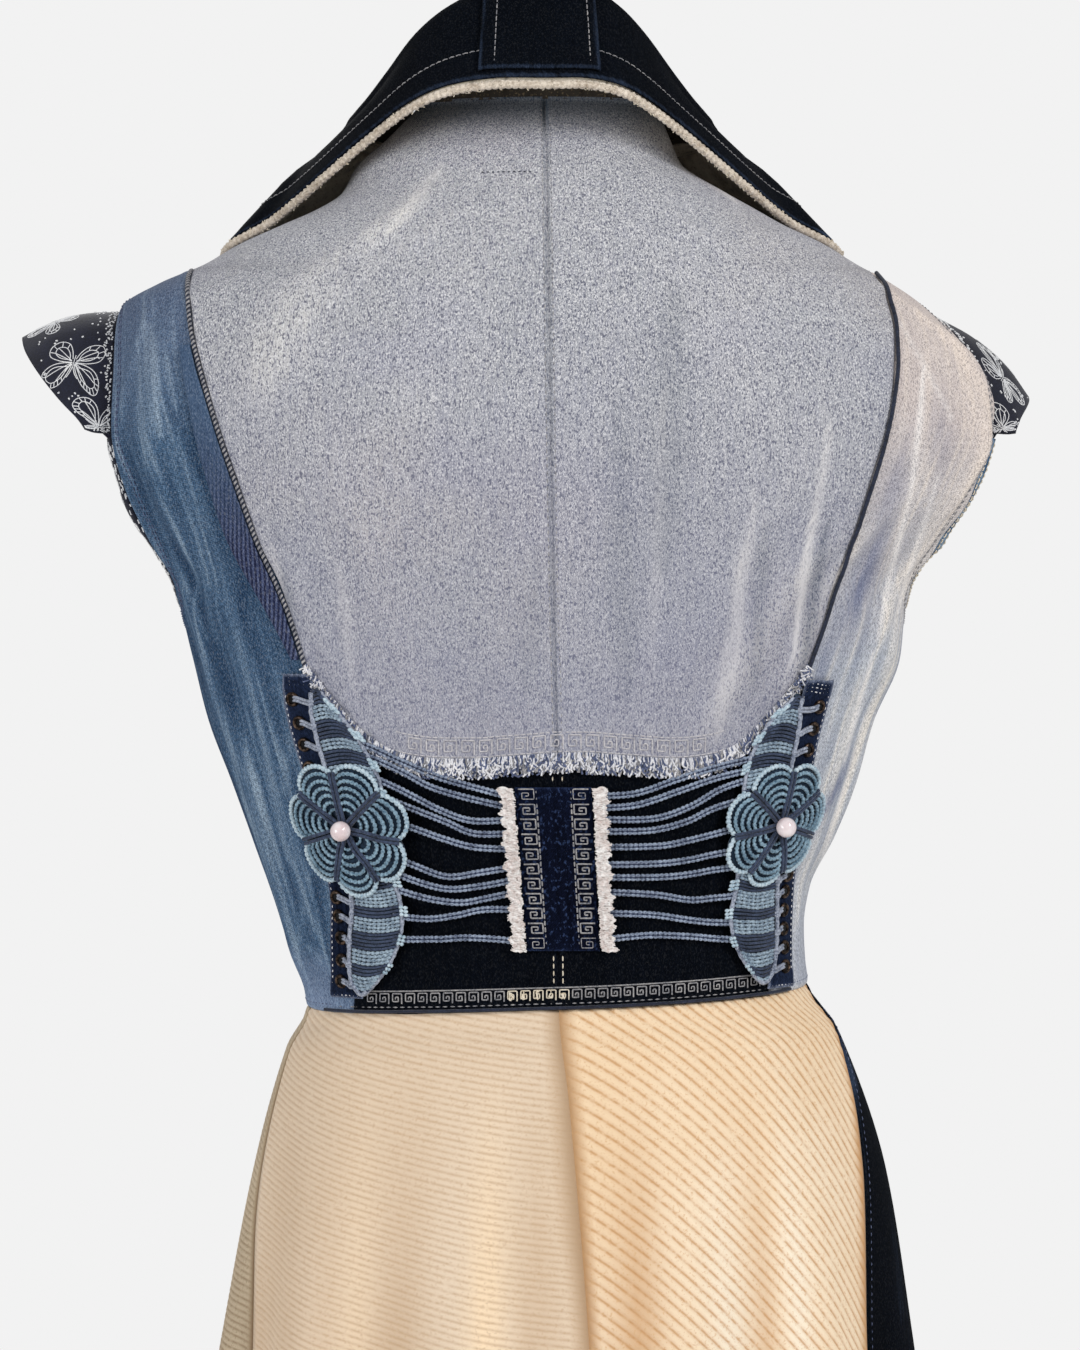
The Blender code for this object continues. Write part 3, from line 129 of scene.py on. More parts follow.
# The armhole: angles of its back and front edges
ARMHOLE_COLUMNS = ("height", "back", "front")
ARMHOLE_ROWS = (
    (-58, 90, 90),
    (-66, 82, 98),
    (-81, 76.5, 103.5),
    (-102, 73.5, 108.5),
    (-127, 72.5, 112),
    (-150, 72, 113),
    (-172, 72.5, 112.5),
    (-193, 75.5, 108.5),
    (-210, 81, 100),
    (-219, 90, 90),
)
CAP_ROWS = 5

# The front neck edge: height and angle
NECK_EDGE = ((45, 90), (35, 110), (20, 132), (0, 144), (-30, 161), (-60, 167), (-120, 171),
             (-250, 173.4), (-425, 173.4), (-500, 173), (-700, 172), (-945, 171))

# Raw lower edge of the grey back: distance from the middle and height
LEFT_HEM = ((1, -296), (14, -297), (28, -298), (42, -299), (58, -299), (78, -297),
            (96, -288), (112, -272), (129, -251))
RIGHT_HEM = ((1, -296), (-14, -296), (-28, -297), (-42, -298), (-58, -299), (-78, -297),
             (-94, -289), (-110, -272), (-126, -251))

# Main creases of the torso: angle and height of each one's top and end, half width and rise
CREASES = (
    (28, -20, 34, -110, 5.0, 2.5),
    (-46, -175, -38, -255, 2.6, 3.0),
    (-40, -185, -24, -275, 3.2, 2.2),
    (-62, -60, -76, -130, 3.0, 3.5),
    (-68, -85, -66, -215, 3.6, 4.0),
    (-73, -120, -58, -240, 3.4, -3.0),
    (-72, -240, -80, -330, 4.0, 2.4),
    (56, -90, 62, -220, 4.0, 2.6),
    (66, -150, 58, -300, 4.2, -2.4),
    (62, -290, 74, -400, 4.5, 2.6),
    (78, -240, 84, -340, 5.0, -2.2),
    (-80, -250, -84, -360, 5.0, 2.4),
    (112, -240, 124, -360, 6.0, 2.8),
    (138, -90, 148, -230, 5.0, 2.6),
    (160, -200, 150, -380, 5.5, -2.4),
    (-118, -230, -128, -370, 6.5, 2.6),
    (-142, -110, -150, -260, 5.2, 2.4),
    (-158, -240, -150, -400, 5.0, -2.6),
)
# Flutes of the skirt: angle, half width and rise
FLUTES = (
    (11, 6.5, 11), (-2, 6.0, -8), (-15, 6.5, 12), (-29, 7.5, -9), (-43, 7.0, 13),
    (-60, 8.0, -10), (-76, 7.0, 12), (-95, 8.5, -9), (-112, 8.0, 12), (-131, 8.0, -10),
    (-149, 8.0, 11), (-164, 6.0, -6), (27, 7.5, -9), (43, 7.5, 12), (60, 7.0, -11),
    (76, 7.0, 13), (92, 7.5, -10), (109, 8.0, 12), (128, 8.5, -10), (146, 8.0, 12),
    (163, 6.5, -6),
)

# Skirt panels: height and angle of each seam
CREAM_LEFT_SEAM = ((WAIST, 79), (-470, 75.5), (-531, 70.5), (-602, 64), (-700, 59), (HEM, 55))
TAN_SEAM = ((WAIST, 104), (HEM, 112))
CREAM_RIGHT_SEAM = (
    (WAIST, -83), (-442, -81), (-470, -73), (-505, -65.5), (-563, -60), (-620, -57), (-700, -55.5),
    (HEM, -54),
)

# Heights at which the pieces' edges are given
RIDGE_HEIGHTS = (45, 30, 15, 0, -11, -22, -37)
TIP_HEIGHTS = (-37, -44, -51, -58)
SEAM_HEIGHTS = (-42, -50, -62, -85, -110, -137, -165, -192, -222, -251)
BAND_HEIGHTS = (-251, -280, -310, -337, -362, -390, -425)
CENTRE_HEIGHTS = (45, 30, 15, 0, -12, -25, -40, -54, -69, -86, -106, -129, -154, -181, -210,
                  -245, -297)
SIDE_HEIGHTS = (-250, -285, -315, -340, -363, -392, -425)
FRONT_HEIGHTS = (45, 33, 20, 3, -20, -45, -75, -110, -145, -185, -225, -265, -300, -330, -360,
                 -392, -425)

# The collar, from the centre back to the shoulder and down the front
COLLAR_MIDDLE = 15.0
COLLAR_COLUMNS = (
    "seam_angle", "seam_height",
    "roll_out", "roll_back", "roll_height",
    "edge_out", "edge_back", "edge_height", "on_shoulder",
)
COLLAR_BACK = (
    (0, 46, 0, 80, 101, 0, 108, 47, False),
    (24, 46, 22, 80, 99, 24, 107, 47, False),
    (46, 46, 42, 76, 90, 45, 101, 44, False),
    (66, 46, 58, 69, 77, 62, 92, 37, False),
    (90, 46, 73, 56, 60, 80, 78, 26, False),
    (97, 43, 84, 42, 49, 98, 62, 14, False),
    (105, 39, 92, 28, 43, 117, 44, 1, False),
    (116, 32, 97, 13, 40, 137, 23, -11, False),
    (126, 25, 99, -4, 34, 155, 2, -24, True),
)
COLLAR_FRONT_COLUMNS = ("seam_height", "edge_height", "edge_share", "roll_lift")
COLLAR_FRONT = (
    (15, -36, 0.93, 16),
    (0, -54, 0.75, 15),
    (-25, -85, 0.62, 14),
    (-70, -132, 0.51, 12),
    (-108, -168, 0.47, 12),
    (-160, -215, 0.43, 11.5),
    (-240, -286, 0.37, 11.5),
    (-325, -352, 0.33, 11),
    (-412, -414, 0.29, 10),
)
COLLAR_WALL = 1.5
UNDER_WALL = 1.3
COLLAR_CLEAR = 5.4
COLLAR_GAP = 0.45
FALL_BELLY = 2.5
ROLL_BEND = 5.5
BACK_SEAM_LIFT = -0.9
SEAM_LIFT = 2.4
TRIM_RADIUS = 2.3
COLLAR_STRIP_HALF_WIDTH = 31.0
COLLAR_STRIP_LIFT = 0.7
COLLAR_STRIP_WALL = 1.2

# Cap sleeves: outer edge as distance out, depth behind the ridge, and height
LEFT_CAP = ((289, 0, -71), (285, 16, -81), (275, 31, -95), (261, 42, -111), (248, 49, -124))
RIGHT_CAP = ((254, 0, -103), (252, 14, -107), (248, 29, -113), (244, 39, -119), (240, 47, -126))
BINDING_WIDTH = 5.0
BINDING_WALL = 2.8

# Laced back, as distances from the middle: height, inner and outer edge of the eyelet strips
STRIP_ROWS = {
    1: ((-253, 125, 140), (-266, 123, 140), (-282, 119.5, 137), (-302, 114, 131),
        (-320, 110, 127), (-336, 106, 123), (-352, 103, 120), (-368, 100.5, 117),
        (-390, 100, 117), (-405, 100, 117), (-421, 100, 117)),
    -1: ((-256, 124, 140), (-270, 122, 137), (-286, 118.5, 133), (-304, 114.5, 129.5),
         (-322, 111.5, 126.5), (-339, 109, 124), (-355, 107, 122), (-370, 106, 121),
         (-388, 106, 120.5), (-402, 106.5, 120.5), (-417, 107, 121)),
}
EYELET_PLACES = {
    1: ((135, -266), (131.5, -278), (129, -289), (126.5, -301), (113, -368), (111.5, -378),
        (110.5, -389), (110.5, -401), (111, -412)),
    -1: ((132, -269.5), (129, -281), (126.5, -292), (117, -357), (115.5, -366), (115, -376),
         (115, -386), (115.5, -396), (116, -406)),
}
# Height, outer and inner edge of the wings
WING_ROWS = {
    1: ((-262, 124, 120), (-270, 124, 113), (-279, 122.5, 105), (-288, 120.5, 99),
        (-298, 117.5, 94), (-308, 115, 90), (-320, 111.5, 88), (-334, 108, 87),
        (-348, 105.5, 86.5), (-359, 104.5, 83), (-369, 104, 80), (-380, 104.5, 79),
        (-391, 105, 81), (-401, 105, 85), (-410, 104, 91), (-416, 101, 96)),
    -1: ((-264, 121, 117), (-272, 121, 110), (-280, 119.5, 104), (-289, 118, 99),
         (-299, 116, 95), (-309, 114, 93), (-320, 112.5, 92), (-334, 111, 91),
         (-346, 110, 90), (-357, 109.5, 89), (-367, 109, 87.5), (-378, 109, 86.5),
         (-388, 109, 88), (-397, 108.5, 91), (-405, 107.5, 96), (-411, 105, 100)),
}
BRAIDS = {
    1: (
        ((103, -286), (80, -297), (61.5, -305), (45, -310), (26, -315)),
        ((99, -293), (79, -302.5), (64, -310.5), (46, -316), (26, -320.5)),
        ((95, -304.5), (77, -313), (60, -322), (44, -327.5), (25, -327)),
        ((94, -313), (73, -321.5), (57, -328), (43, -334), (24.5, -334)),
        ((93, -325), (74, -331), (59, -336.5), (43, -341), (24, -342)),
        ((91, -344), (75, -349.5), (57, -356), (40, -354), (23, -351)),
        ((90, -351), (72, -358.5), (56, -362.5), (40, -361), (22.5, -357.5)),
        ((87, -361), (68, -367), (51, -369.5), (38, -367.5), (22, -364.5)),
        ((84, -376.5), (66, -378), (52, -376), (40, -373.5), (20.5, -373)),
        ((84, -389), (66, -388.5), (52, -388), (38, -388), (19.5, -389.5)),
    ),
    -1: (
        ((101, -295), (80, -300), (59, -306.5), (39, -313.5), (19, -315)),
        ((99, -301), (80, -305.5), (60, -312.5), (39, -319.5), (19, -321)),
        ((97, -306), (81, -311.5), (65.5, -320.5), (47, -326.5), (19.5, -326.8)),
        ((95, -316), (77, -321.5), (64, -328), (46, -332.5), (20, -333)),
        ((95, -330), (79, -334), (66, -337.5), (50, -340.5), (20.5, -341)),
        ((95, -342), (79, -344.5), (66, -347.5), (50, -349.5), (21, -350)),
        ((94, -350.5), (79, -352.5), (66, -355), (50, -356.5), (21.5, -356.5)),
        ((92, -366), (79, -367.5), (66, -368.5), (48, -365.5), (22, -364)),
        ((91, -380.5), (79, -380.5), (66, -379), (47, -376), (23, -375)),
        ((92, -390), (79, -389), (66, -387.5), (46, -386.5), (24, -388.5)),
    ),
}
FLOWERS = {1: (106.5, -331, 33.5), -1: (109.5, -329, 31.0)}
PANEL_CORNERS = ((22.6, -310.5), (-16.4, -310.5), (-20.6, -394.5), (16.4, -394.5))
FRAY_EDGES = {
    1: ((29.2, 23.3), (22.8, 16.9)),
    -1: ((-23.0, -17.1), (-27.4, -21.5)),
}
TWILL_ROWS = ((-85, 6), (-110, 9), (-137, 12), (-165, 13.5), (-192, 13), (-222, 9), (-246, 4))

# How far the pieces of the laced back lie above the cloth
STRIP_LIFT = 0.9
STRIP_WALL = 1.4
EYELET_OUTER = 3.8
EYELET_HOLE = 2.0
EYELET_HEIGHT = 1.3
EYELET_LIFT = 0.7
WING_LIFT = 5.1
BRAID_LIFT = 3.9
BRAID_END_LIFT = 2.2
FLOWER_LIFT = 6.4
FLOWER_HEIGHT = 3.6
FLOWER_DIMPLE = 0.3
PETALS = 7
BEAD_RADIUS = 5.2
BEAD_LIFT = 0.3
PANEL_LIFT = 2.2
FRAY_LIFT = 5.0
TWILL_LIFT = 2.0
PIPING_RADIUS = 1.7
PIPING_FLAT = 0.8

# Soft creases that are too fine for the part's solids: where each starts and ends, its half
# width in degrees and its rise
SOFT_CREASES = (
    (8, -30, 15, -120, 3.0, 0.9), (16, -18, 27, -70, 2.4, 1.1), (-12, -28, -20, -110, 3.0, 0.8),
    (-22, -16, -34, -62, 2.4, 1.1), (-30, -120, -22, -215, 2.2, 0.9), (24, -150, 18, -260, 2.4, 0.8),
    (-52, -190, -44, -268, 1.7, 1.5), (-48, -150, -36, -232, 1.9, -1.0), (-33, -205, -20, -288, 2.2, 0.9),
    (38, -200, 28, -285, 2.0, 1.0), (46, -120, 41, -215, 1.8, -0.8), (5, -170, 10, -290, 2.6, -0.7),
    (-8, -200, -13, -292, 2.2, 0.7), (62, -66, 70, -150, 2.0, 1.4), (58, -110, 66, -230, 1.8, -1.1),
    (74, -160, 68, -290, 2.2, 1.3), (80, -235, 72, -330, 2.0, 1.2), (66, -250, 78, -345, 2.0, -1.2),
    (60, -300, 70, -385, 1.9, 1.2), (84, -300, 80, -400, 2.4, -1.1), (-60, -84, -70, -160, 1.8, 1.5),
    (-66, -150, -60, -245, 1.8, 1.3), (-75, -185, -66, -290, 2.0, 1.6), (-70, -260, -79, -340, 1.9, -1.3),
    (-64, -300, -72, -392, 2.0, 1.2), (-84, -240, -78, -330, 2.2, 1.2), (100, -245, 108, -330, 2.4, 1.3),
    (118, -180, 130, -290, 2.6, 1.1), (126, -300, 116, -400, 2.6, -1.1), (150, -120, 143, -240, 2.4, 1.2),
    (158, -260, 166, -390, 2.4, 1.0), (134, -60, 141, -140, 2.4, 1.0), (-100, -240, -110, -340, 2.6, 1.3),
    (-122, -140, -133, -250, 2.4, 1.2), (-136, -280, -127, -400, 2.6, -1.1),
    (-152, -70, -145, -190, 2.4, 1.1),
    (-164, -200, -158, -330, 2.4, 0.9), (-148, -300, -140, -410, 2.4, 1.0), (3, -350, 30, -420, 3.0, -0.7),
    (-25, -320, -45, -405, 3.0, 0.8), (22, -310, 44, -380, 2.6, 0.7),
)
SOFT_FLUTES = (
    (4, 2.6, -2.2), (-7, 2.4, 2.0), (-20, 2.6, -2.0), (-36, 3.0, 2.4), (-50, 3.0, -2.2), (-68, 3.0, 2.2),
    (18, 2.4, 1.8), (35, 3.0, -2.2), (51, 3.0, 2.4), (68, 3.0, -2.4), (84, 3.0, 2.2), (100, 3.0, -2.2),
    (119, 3.0, 2.2), (137, 3.0, -2.0), (155, 3.0, 2.0), (-86, 3.0, -2.2), (-104, 3.0, 2.2),
    (-122, 3.0, -2.2), (-141, 3.0, 2.0), (-157, 3.0, -2.0),
)
# Lit and shaded bands down the skirt's folds: both ends as distance and height, spread, strength
SKIRT_LIGHTS = (
    (34, -432, 44, -960, 9, 0.85), (-76, -450, -112, -960, 10, 0.6), (-112, -424, -142, -940, 7, 0.6),
    (96, -440, 120, -940, 9, 0.35),
)
SKIRT_DARKS = (
    (12, -440, 16, -960, 9, 0.3), (-36, -440, -50, -960, 13, 0.62), (72, -440, 90, -960, 14, 0.28),
    (112, -440, 136, -960, 12, 0.25), (132, -450, 160, -960, 9, 0.30), (-96, -440, -126, -960, 6, 0.2),
)
# Painted highlights on the creases of the grey back, and the painted shadows beside them
GREY_LIGHTS = (
    (-129, -170, -119, -246, 3.0, 1.0), (-92, -190, -89, -258, 4.4, 0.6), (-86, -236, -81, -286, 5.5, 0.55),
    (-99, -160, -93, -215, 3.5, 0.35), (-137, -128, -128, -190, 3.0, 0.5), (146, -190, 139, -232, 3.0, 0.6),
    (60, 8, 88, -30, 5, 0.3), (-66, 26, -92, -8, 5, 0.4), (-52, -110, -47, -250, 4, 0.2),
    (112, -196, 104, -262, 4, 0.3),
)
GREY_DARKS = (
    (-136, -176, -124, -252, 5, 0.8), (-104, -180, -99, -262, 6, 0.45), (141, -196, 134, -240, 3, 0.6),
    (-58, -60, -52, -200, 16, 0.35), (-30, -120, -34, -262, 12, 0.3), (12, -190, 16, -260, 9, 0.25),
)
# Washed streaks of the left side panel: both ends as distance and height, spread, strength
LEFT_STREAKS = (
    (212, -72, 205, -132, 5, 0.9), (219, -78, 214, -150, 4, 0.6), (205, -110, 180, -210, 5, 0.8),
    (196, -128, 172, -225, 3.2, 0.9), (187, -150, 160, -250, 4, 0.7), (214, -160, 184, -235, 3, 0.9),
    (176, -196, 150, -300, 5, 0.9), (190, -228, 166, -318, 4.5, 0.8), (160, -256, 141, -350, 5, 1.0),
    (172, -300, 145, -392, 5, 0.9), (150, -300, 128, -372, 4, 0.8), (146, -330, 120, -404, 4, 0.9),
    (136, -270, 146, -336, 3.2, 0.6), (128, -352, 141, -415, 4, 0.8), (199, -208, 178, -272, 3, 0.7),
    (202, -90, 196, -118, 7, 0.6), (183, -112, 168, -168, 4, 0.5), (132, -396, 108, -414, 5, 0.9),
)
# Bright folds of the right side panel, in the same terms
RIGHT_STREAKS = (
    (-181, -66, -203, -104, 3.6, 0.8), (-203, -104, -214, -128, 3.2, 0.8), (-188, -84, -189, -170, 3.2, 0.8),
    (-178, -165, -166, -212, 3.4, 0.9), (-196, -120, -192, -160, 2.6, 0.6),
    (-200, -150, -172, -260, 3.6, 0.6),
    (-160, -236, -140, -330, 4, 0.7), (-172, -252, -150, -346, 3.4, 0.6), (-140, -300, -122, -400, 4, 0.6),
)
# Painted highlights on its sharp creases
RIGHT_LIGHTS = (
    (-188, -92, -180, -166, 2.4, 0.75), (-180, -162, -166, -236, 2.4, 0.8), (-174, -69, -205, -126, 2.0, 0.4),
    (-196, -150, -176, -226, 2.2, 0.6), (-164, -240, -150, -300, 2.6, 0.7),
    (-152, -310, -136, -372, 2.4, 0.6),
)
# Deep blue patches of the right side panel: distance, height, half width and height, lean, strength
DUSK_SPOTS = (
    (-157, -206, 8, 28, -0.4, 0.95), (-171, -158, 6, 24, -0.3, 0.4), (-144, -317, 3, 17, -0.5, 0.9),
    (-134, -252, 4, 18, -0.3, 0.6), (-196, -130, 7, 22, 0.0, 0.35),
)
# The table of the cloth's relief: its reach and steps in degrees and millimetres
RELIEF_SPAN = 186.0
RELIEF_TURN = 0.5
RELIEF_TOP = 114.0
RELIEF_FOOT = -966.0
RELIEF_DROP = 2.0
KEY_UNIT = ((0, 0), (0, 1), (0.82, 1), (0.82, 0.22), (0.30, 0.22), (0.30, 0.66), (0.56, 0.66), (0.56, 0.44))

# Half of a line butterfly, about 21 units across: wing outlines, then straight veins and bars
WING_LINES = (
    ((0.4, 0.3), (1.4, 3.4), (4.2, 7.4), (8.2, 9.2), (10.6, 8.0), (10.2, 4.6), (7.4, 1.6), (3.6, 0.3),
     (0.4, 0.0)),
    ((1.6, 1.4), (3.4, 5.0), (7.0, 7.3), (9.0, 6.4), (8.2, 4.0), (5.8, 2.0), (1.6, 1.4)),
    ((0.5, -0.2), (4.2, -0.3), (7.6, -1.8), (8.0, -4.8), (6.0, -7.2), (3.2, -6.8), (1.4, -4.2), (0.5, -1.4)),
    ((1.4, -1.0), (4.4, -1.4), (6.2, -3.0), (5.8, -5.0), (3.6, -5.2), (1.9, -3.2), (1.4, -1.0)),
    ((0.1, 1.4), (0.9, 3.6), (2.0, 5.2)),
)
WING_BARS = (
    ((0.6, 0.4), (3.4, 5.0)), ((0.7, 0.3), (5.4, 6.4)), ((0.8, 0.2), (8.6, 5.2)), ((3.6, 5.2), (3.4, 6.4)),
    ((4.8, 6.1), (4.9, 7.9)), ((6.0, 6.8), (6.5, 8.8)), ((7.2, 7.3), (8.0, 9.1)), ((8.3, 7.0), (9.6, 8.7)),
    ((9.0, 6.2), (10.5, 7.2)), ((8.8, 5.2), (10.4, 5.6)), ((8.2, 4.0), (9.6, 3.5)),
    ((0.7, -0.7), (5.8, -5.0)), ((0.8, -0.6), (6.2, -3.0)), ((6.2, -3.0), (7.9, -3.4)),
    ((6.0, -4.4), (7.3, -5.6)), ((4.8, -5.2), (5.2, -7.2)), ((3.2, -4.9), (3.0, -6.6)),
)
# Butterflies of each sleeve: station, reach, size of a unit, and turn
BUTTERFLIES = {
    1: ((1.85, 0.50, 1.75, 60), (0.2, 0.40, 1.2, -20), (3.6, 0.60, 1.3, -48), (5.0, 0.45, 1.6, 150),
        (6.7, 0.5, 1.5, 20)),
    -1: ((1.9, 0.50, 1.5, -60), (0.2, 0.4, 1.1, 30), (3.5, 0.55, 1.2, 64), (4.9, 0.48, 1.4, 15),
         (6.6, 0.52, 1.4, 120)),
}
# Light of the surroundings on the garment; then name, place, size and power of each lamp
AMBIENT = 0.42
LIGHTS = (
    ("key_light", (-1.7, 1.9, 1.0), 0.9, 42),
    ("fill_light", (1.9, 1.7, -0.1), 1.0, 24),
    ("rim_light", (0.4, -2.2, 1.3), 1.4, 22),
)
LIGHTS_AIM = (0, 0, -0.3)
CAMERA_PLACE = (0.0097, 1.7, -0.254)
CAMERA_LENS = 84
FLOOR_RADIUS = 1.3
FLOOR_GAP = 0.004

SIDES = ((1, "left"), (-1, "right"))
# Steps of a cord's round section beyond a square: sewing thread, cord, thick piping
THIN, CORD, PIPE = 0, 1, 3
# Cords and knots, in millimetres, with the points that draw each knot
SENNIT_RADIUS = 0.86
KNOT_RADIUS = 1.05
BAR_RADIUS = 0.76
KNOT_SAMPLES = 4
# Step between the rows of a wing, and the depth of its bands of bars and of knots
WING_PITCH = 1.9
WING_BAND = 7.6
ROPE_TWIST = 2.5
THREAD_RADIUS = 0.36
# Twill of the denims and the broad lines of the dark strip, in metres
TWILL_PITCH = 0.0013
STRIP_TWILL_PITCH = 0.0026
COLLAR_RIB_PITCH = 4.2
FRINGE_THREADS = 1500
PANEL_KEYS = 11
# Step, height and rise above the waist seam of the waist's key pattern
WAIST_KEY = (6.6, 5.2, 5.2)
STRIP_TOP = STRIP_LIFT + STRIP_WALL
EYELET_BASE = STRIP_TOP + EYELET_LIFT
# The relief at which the cloth counts as fully proud
FULL_RIDGE = 4.5
PETAL_RINGS = 7
JOIN_SEWING = 3.5
FLOWER_STRETCH = (0.93, 1.06)
STREAK_WIDTH = 0.75
PIPE_EASE = 3
STREAK_DEPTH = 0.62
NECK_TUCK = 1.6
NECK_TUCK_REACH = 0.02


def smooth(knots, values):
    """A smooth curve through the values that never overshoots them."""
    order = np.argsort(knots)
    knots = np.asarray(knots, float)[order]
    values = np.asarray(values, float)[order]
    widths = np.diff(knots)
    slopes = np.diff(values) / widths
    tangents = np.zeros(len(knots))
    tangents[0], tangents[-1] = slopes[0], slopes[-1]
    both = slopes[:-1] * slopes[1:]
    turning = both > 0
    tangents[1:-1][turning] = 2 * both[turning] / (slopes[:-1] + slopes[1:])[turning]

    def value(at):
        at = np.clip(np.asarray(at, float), knots[0], knots[-1])
        i = np.clip(np.searchsorted(knots, at) - 1, 0, len(knots) - 2)
        t = (at - knots[i]) / widths[i]
        u = 1 - t
        return (
            values[i] * (1 + 2 * t) * u * u + values[i + 1] * t * t * (3 - 2 * t)
            + widths[i] * (tangents[i] * t * u * u - tangents[i + 1] * t * t * u)
        )

    return value


def curve(rows, value=1):
    """The smooth curve of one column of a table over its first."""
    return smooth([row[0] for row in rows], [row[value] for row in rows])


def blended(a, b, c, d, t):
    """The smooth curve from b to c, given its neighbours a and d."""
    u = 1 - t
    first, second = (c - a) / 2, (d - b) / 2
    return (
        b * (1 + 2 * t) * u * u + c * t * t * (3 - 2 * t)
        + first * t * u * u - second * t * t * u
    )


def through(points, at):
    """Points of the smooth line through evenly numbered points."""
    points = np.asarray(points, float)
    at = np.asarray(at, float)
    last = len(points) - 1
    i = np.clip(at.astype(int), 0, last - 1)
    t = at - i
    if points.ndim > 1:
        t = t[..., None]
    return blended(*(points[np.clip(i + k, 0, last)] for k in (-1, 0, 1, 2)), t)


def through_each(points, at):
    """As through, with a line of its own for each entry."""
    last = len(points) - 1
    i = np.clip(at.astype(int), 0, last - 1)
    own = np.arange(len(at))
    return blended(*(points[np.clip(i + k, 0, last), own] for k in (-1, 0, 1, 2)), (at - i)[:, None])


def swell(distance, spread):
    """1 at the middle, falling off smoothly to both sides."""
    return np.exp(-((distance / spread) ** 2))


def ease(value):
    """A smooth step from 0 to 1."""
    value = np.clip(value, 0.0, 1.0)
    return value * value * (3 - 2 * value)


def length_of(vectors):
    return np.linalg.norm(vectors, axis=-1)


def unit(vectors):
    return vectors / np.maximum(length_of(vectors), 1e-9)[..., None]


def run_of(points):
    """How far along a run of points each one lies."""
    return np.concatenate(([0], np.cumsum(length_of(np.diff(points, axis=0)))))


def read_off(at, run, points):
    """Places at these lengths along a run of points."""
    return np.stack([np.interp(at, run, points[:, k]) for k in range(points.shape[1])], axis=-1)


def column(rows, names, name):
    index = names.index(name)
    return [row[index] for row in rows]


HEIGHTS = column(BODY_ROWS, BODY_COLUMNS, "height")
LEFT, RIGHT, BACK, FRONT, RIDGE = (
    smooth(HEIGHTS, column(BODY_ROWS, BODY_COLUMNS, name)) for name in BODY_COLUMNS[1:]
)
NECK_ANGLE, CENTRE_X = curve(NECK_EDGE), curve(CENTRE_SEAM)
SEAM_OUT = {1: curve(LEFT_SEAM), -1: curve(RIGHT_SEAM)}


def relief_tables():
    """How far the cloth stands out from the body form, in its creases and in its flutes."""
    angle, height = np.meshgrid(
        np.arange(-RELIEF_SPAN, RELIEF_SPAN + RELIEF_TURN, RELIEF_TURN),
        np.arange(RELIEF_TOP, RELIEF_FOOT - RELIEF_DROP, -RELIEF_DROP),
    )
    rise = 0 * angle
    for top_angle, top, end_angle, end, spread, crest in CREASES + SOFT_CREASES:
        t = (top - height) / (top - end)
        at = top_angle + (end_angle - top_angle) * t
        rise += crest * ease((t + 0.3) / 0.4) * ease((1.3 - t) / 0.4) * swell(angle - at, spread)
    fall = np.clip((WAIST - height) / (WAIST - HEM), 0, 1.02)
    grow = ease(fall * 1.6) ** 0.8 * (0.35 + 0.65 * fall)
    wave = sum(crest * swell(angle - at, spread) for at, spread, crest in FLUTES + SOFT_FLUTES)
    return np.stack((grow * wave, rise))


RELIEF = relief_tables()


def cubic(t):
    """Weights of four neighbours for a smooth curve between the middle two."""
    u = 1 - t
    return (-t * u * u / 2, 1 - 2.5 * t * t + 1.5 * t ** 3, 1 - 2.5 * u * u + 1.5 * u ** 3, -u * t * t / 2)


def relief(angle, height):
    """The cloth's rise above the body form, read from the tables."""
    angle, height = np.broadcast_arrays(angle, height)
    x, y = (angle + RELIEF_SPAN) / RELIEF_TURN, (RELIEF_TOP - height) / RELIEF_DROP
    i = np.clip(x.astype(int), 1, RELIEF.shape[2] - 3)
    j = np.clip(y.astype(int), 1, RELIEF.shape[1] - 3)
    kind = (height > WAIST).astype(int)
    across, down = cubic(x - i), cubic(y - j)
    return sum(
        down[b] * sum(across[a] * RELIEF[kind, j + b - 1, i + a - 1] for a in range(4)) for b in range(4)
    )


def body(angle, height):
    """The bare body form."""
    turn = np.radians(angle)
    across, along = np.sin(turn), np.cos(turn)
    power = 2 / SQUARENESS
    across = np.sign(across) * np.abs(across) ** power
    along = np.sign(along) * np.abs(along) ** power
    half = np.where(across >= 0, LEFT(height), RIGHT(height))
    ridge = RIDGE(height)
    reach = np.where(along >= 0, BACK(height) - ridge, FRONT(height) + ridge)
    tilt = -WAIST_TILT * np.sin(turn) * swell(height - WAIST, TILT_REACH)
    return np.stack((half * across, ridge + reach * along, height + tilt), axis=-1)


def skin(angle, height):
    """The cloth's outer skin."""
    step = 0.6
    tangent = body(angle + step, height) - body(angle - step, height)
    outward = np.stack((tangent[..., 1], -tangent[..., 0], 0 * tangent[..., 0]), axis=-1)
    point = body(angle, height)
    outward = unit(outward) * np.sign((outward * point).sum(-1))[..., None]
    return point + outward * relief(angle, height)[..., None]


def frames(angle, height):
    """Points of the skin, the way out of it, and how it moves with angle and height."""
    angle, height = np.broadcast_arrays(np.asarray(angle, float), np.asarray(height, float))
    turn, drop = 0.4, 0.8
    around = (skin(angle + turn, height) - skin(angle - turn, height)) / (2 * turn)
    upward = (skin(angle, height + drop) - skin(angle, height - drop)) / (2 * drop)
    point = skin(angle, height)
    normal = unit(np.cross(upward, around))
    centre = np.stack((0 * height, RIDGE(height), height - 60), axis=-1)
    inward = ((point - centre) * normal).sum(-1) < 0
    return point, np.where(inward[..., None], -normal, normal), around, upward


def on_cloth(angle, height, lift=0.0):
    point, normal, _, _ = frames(angle, height)
    return point + normal * np.asarray(lift, float)[..., None]


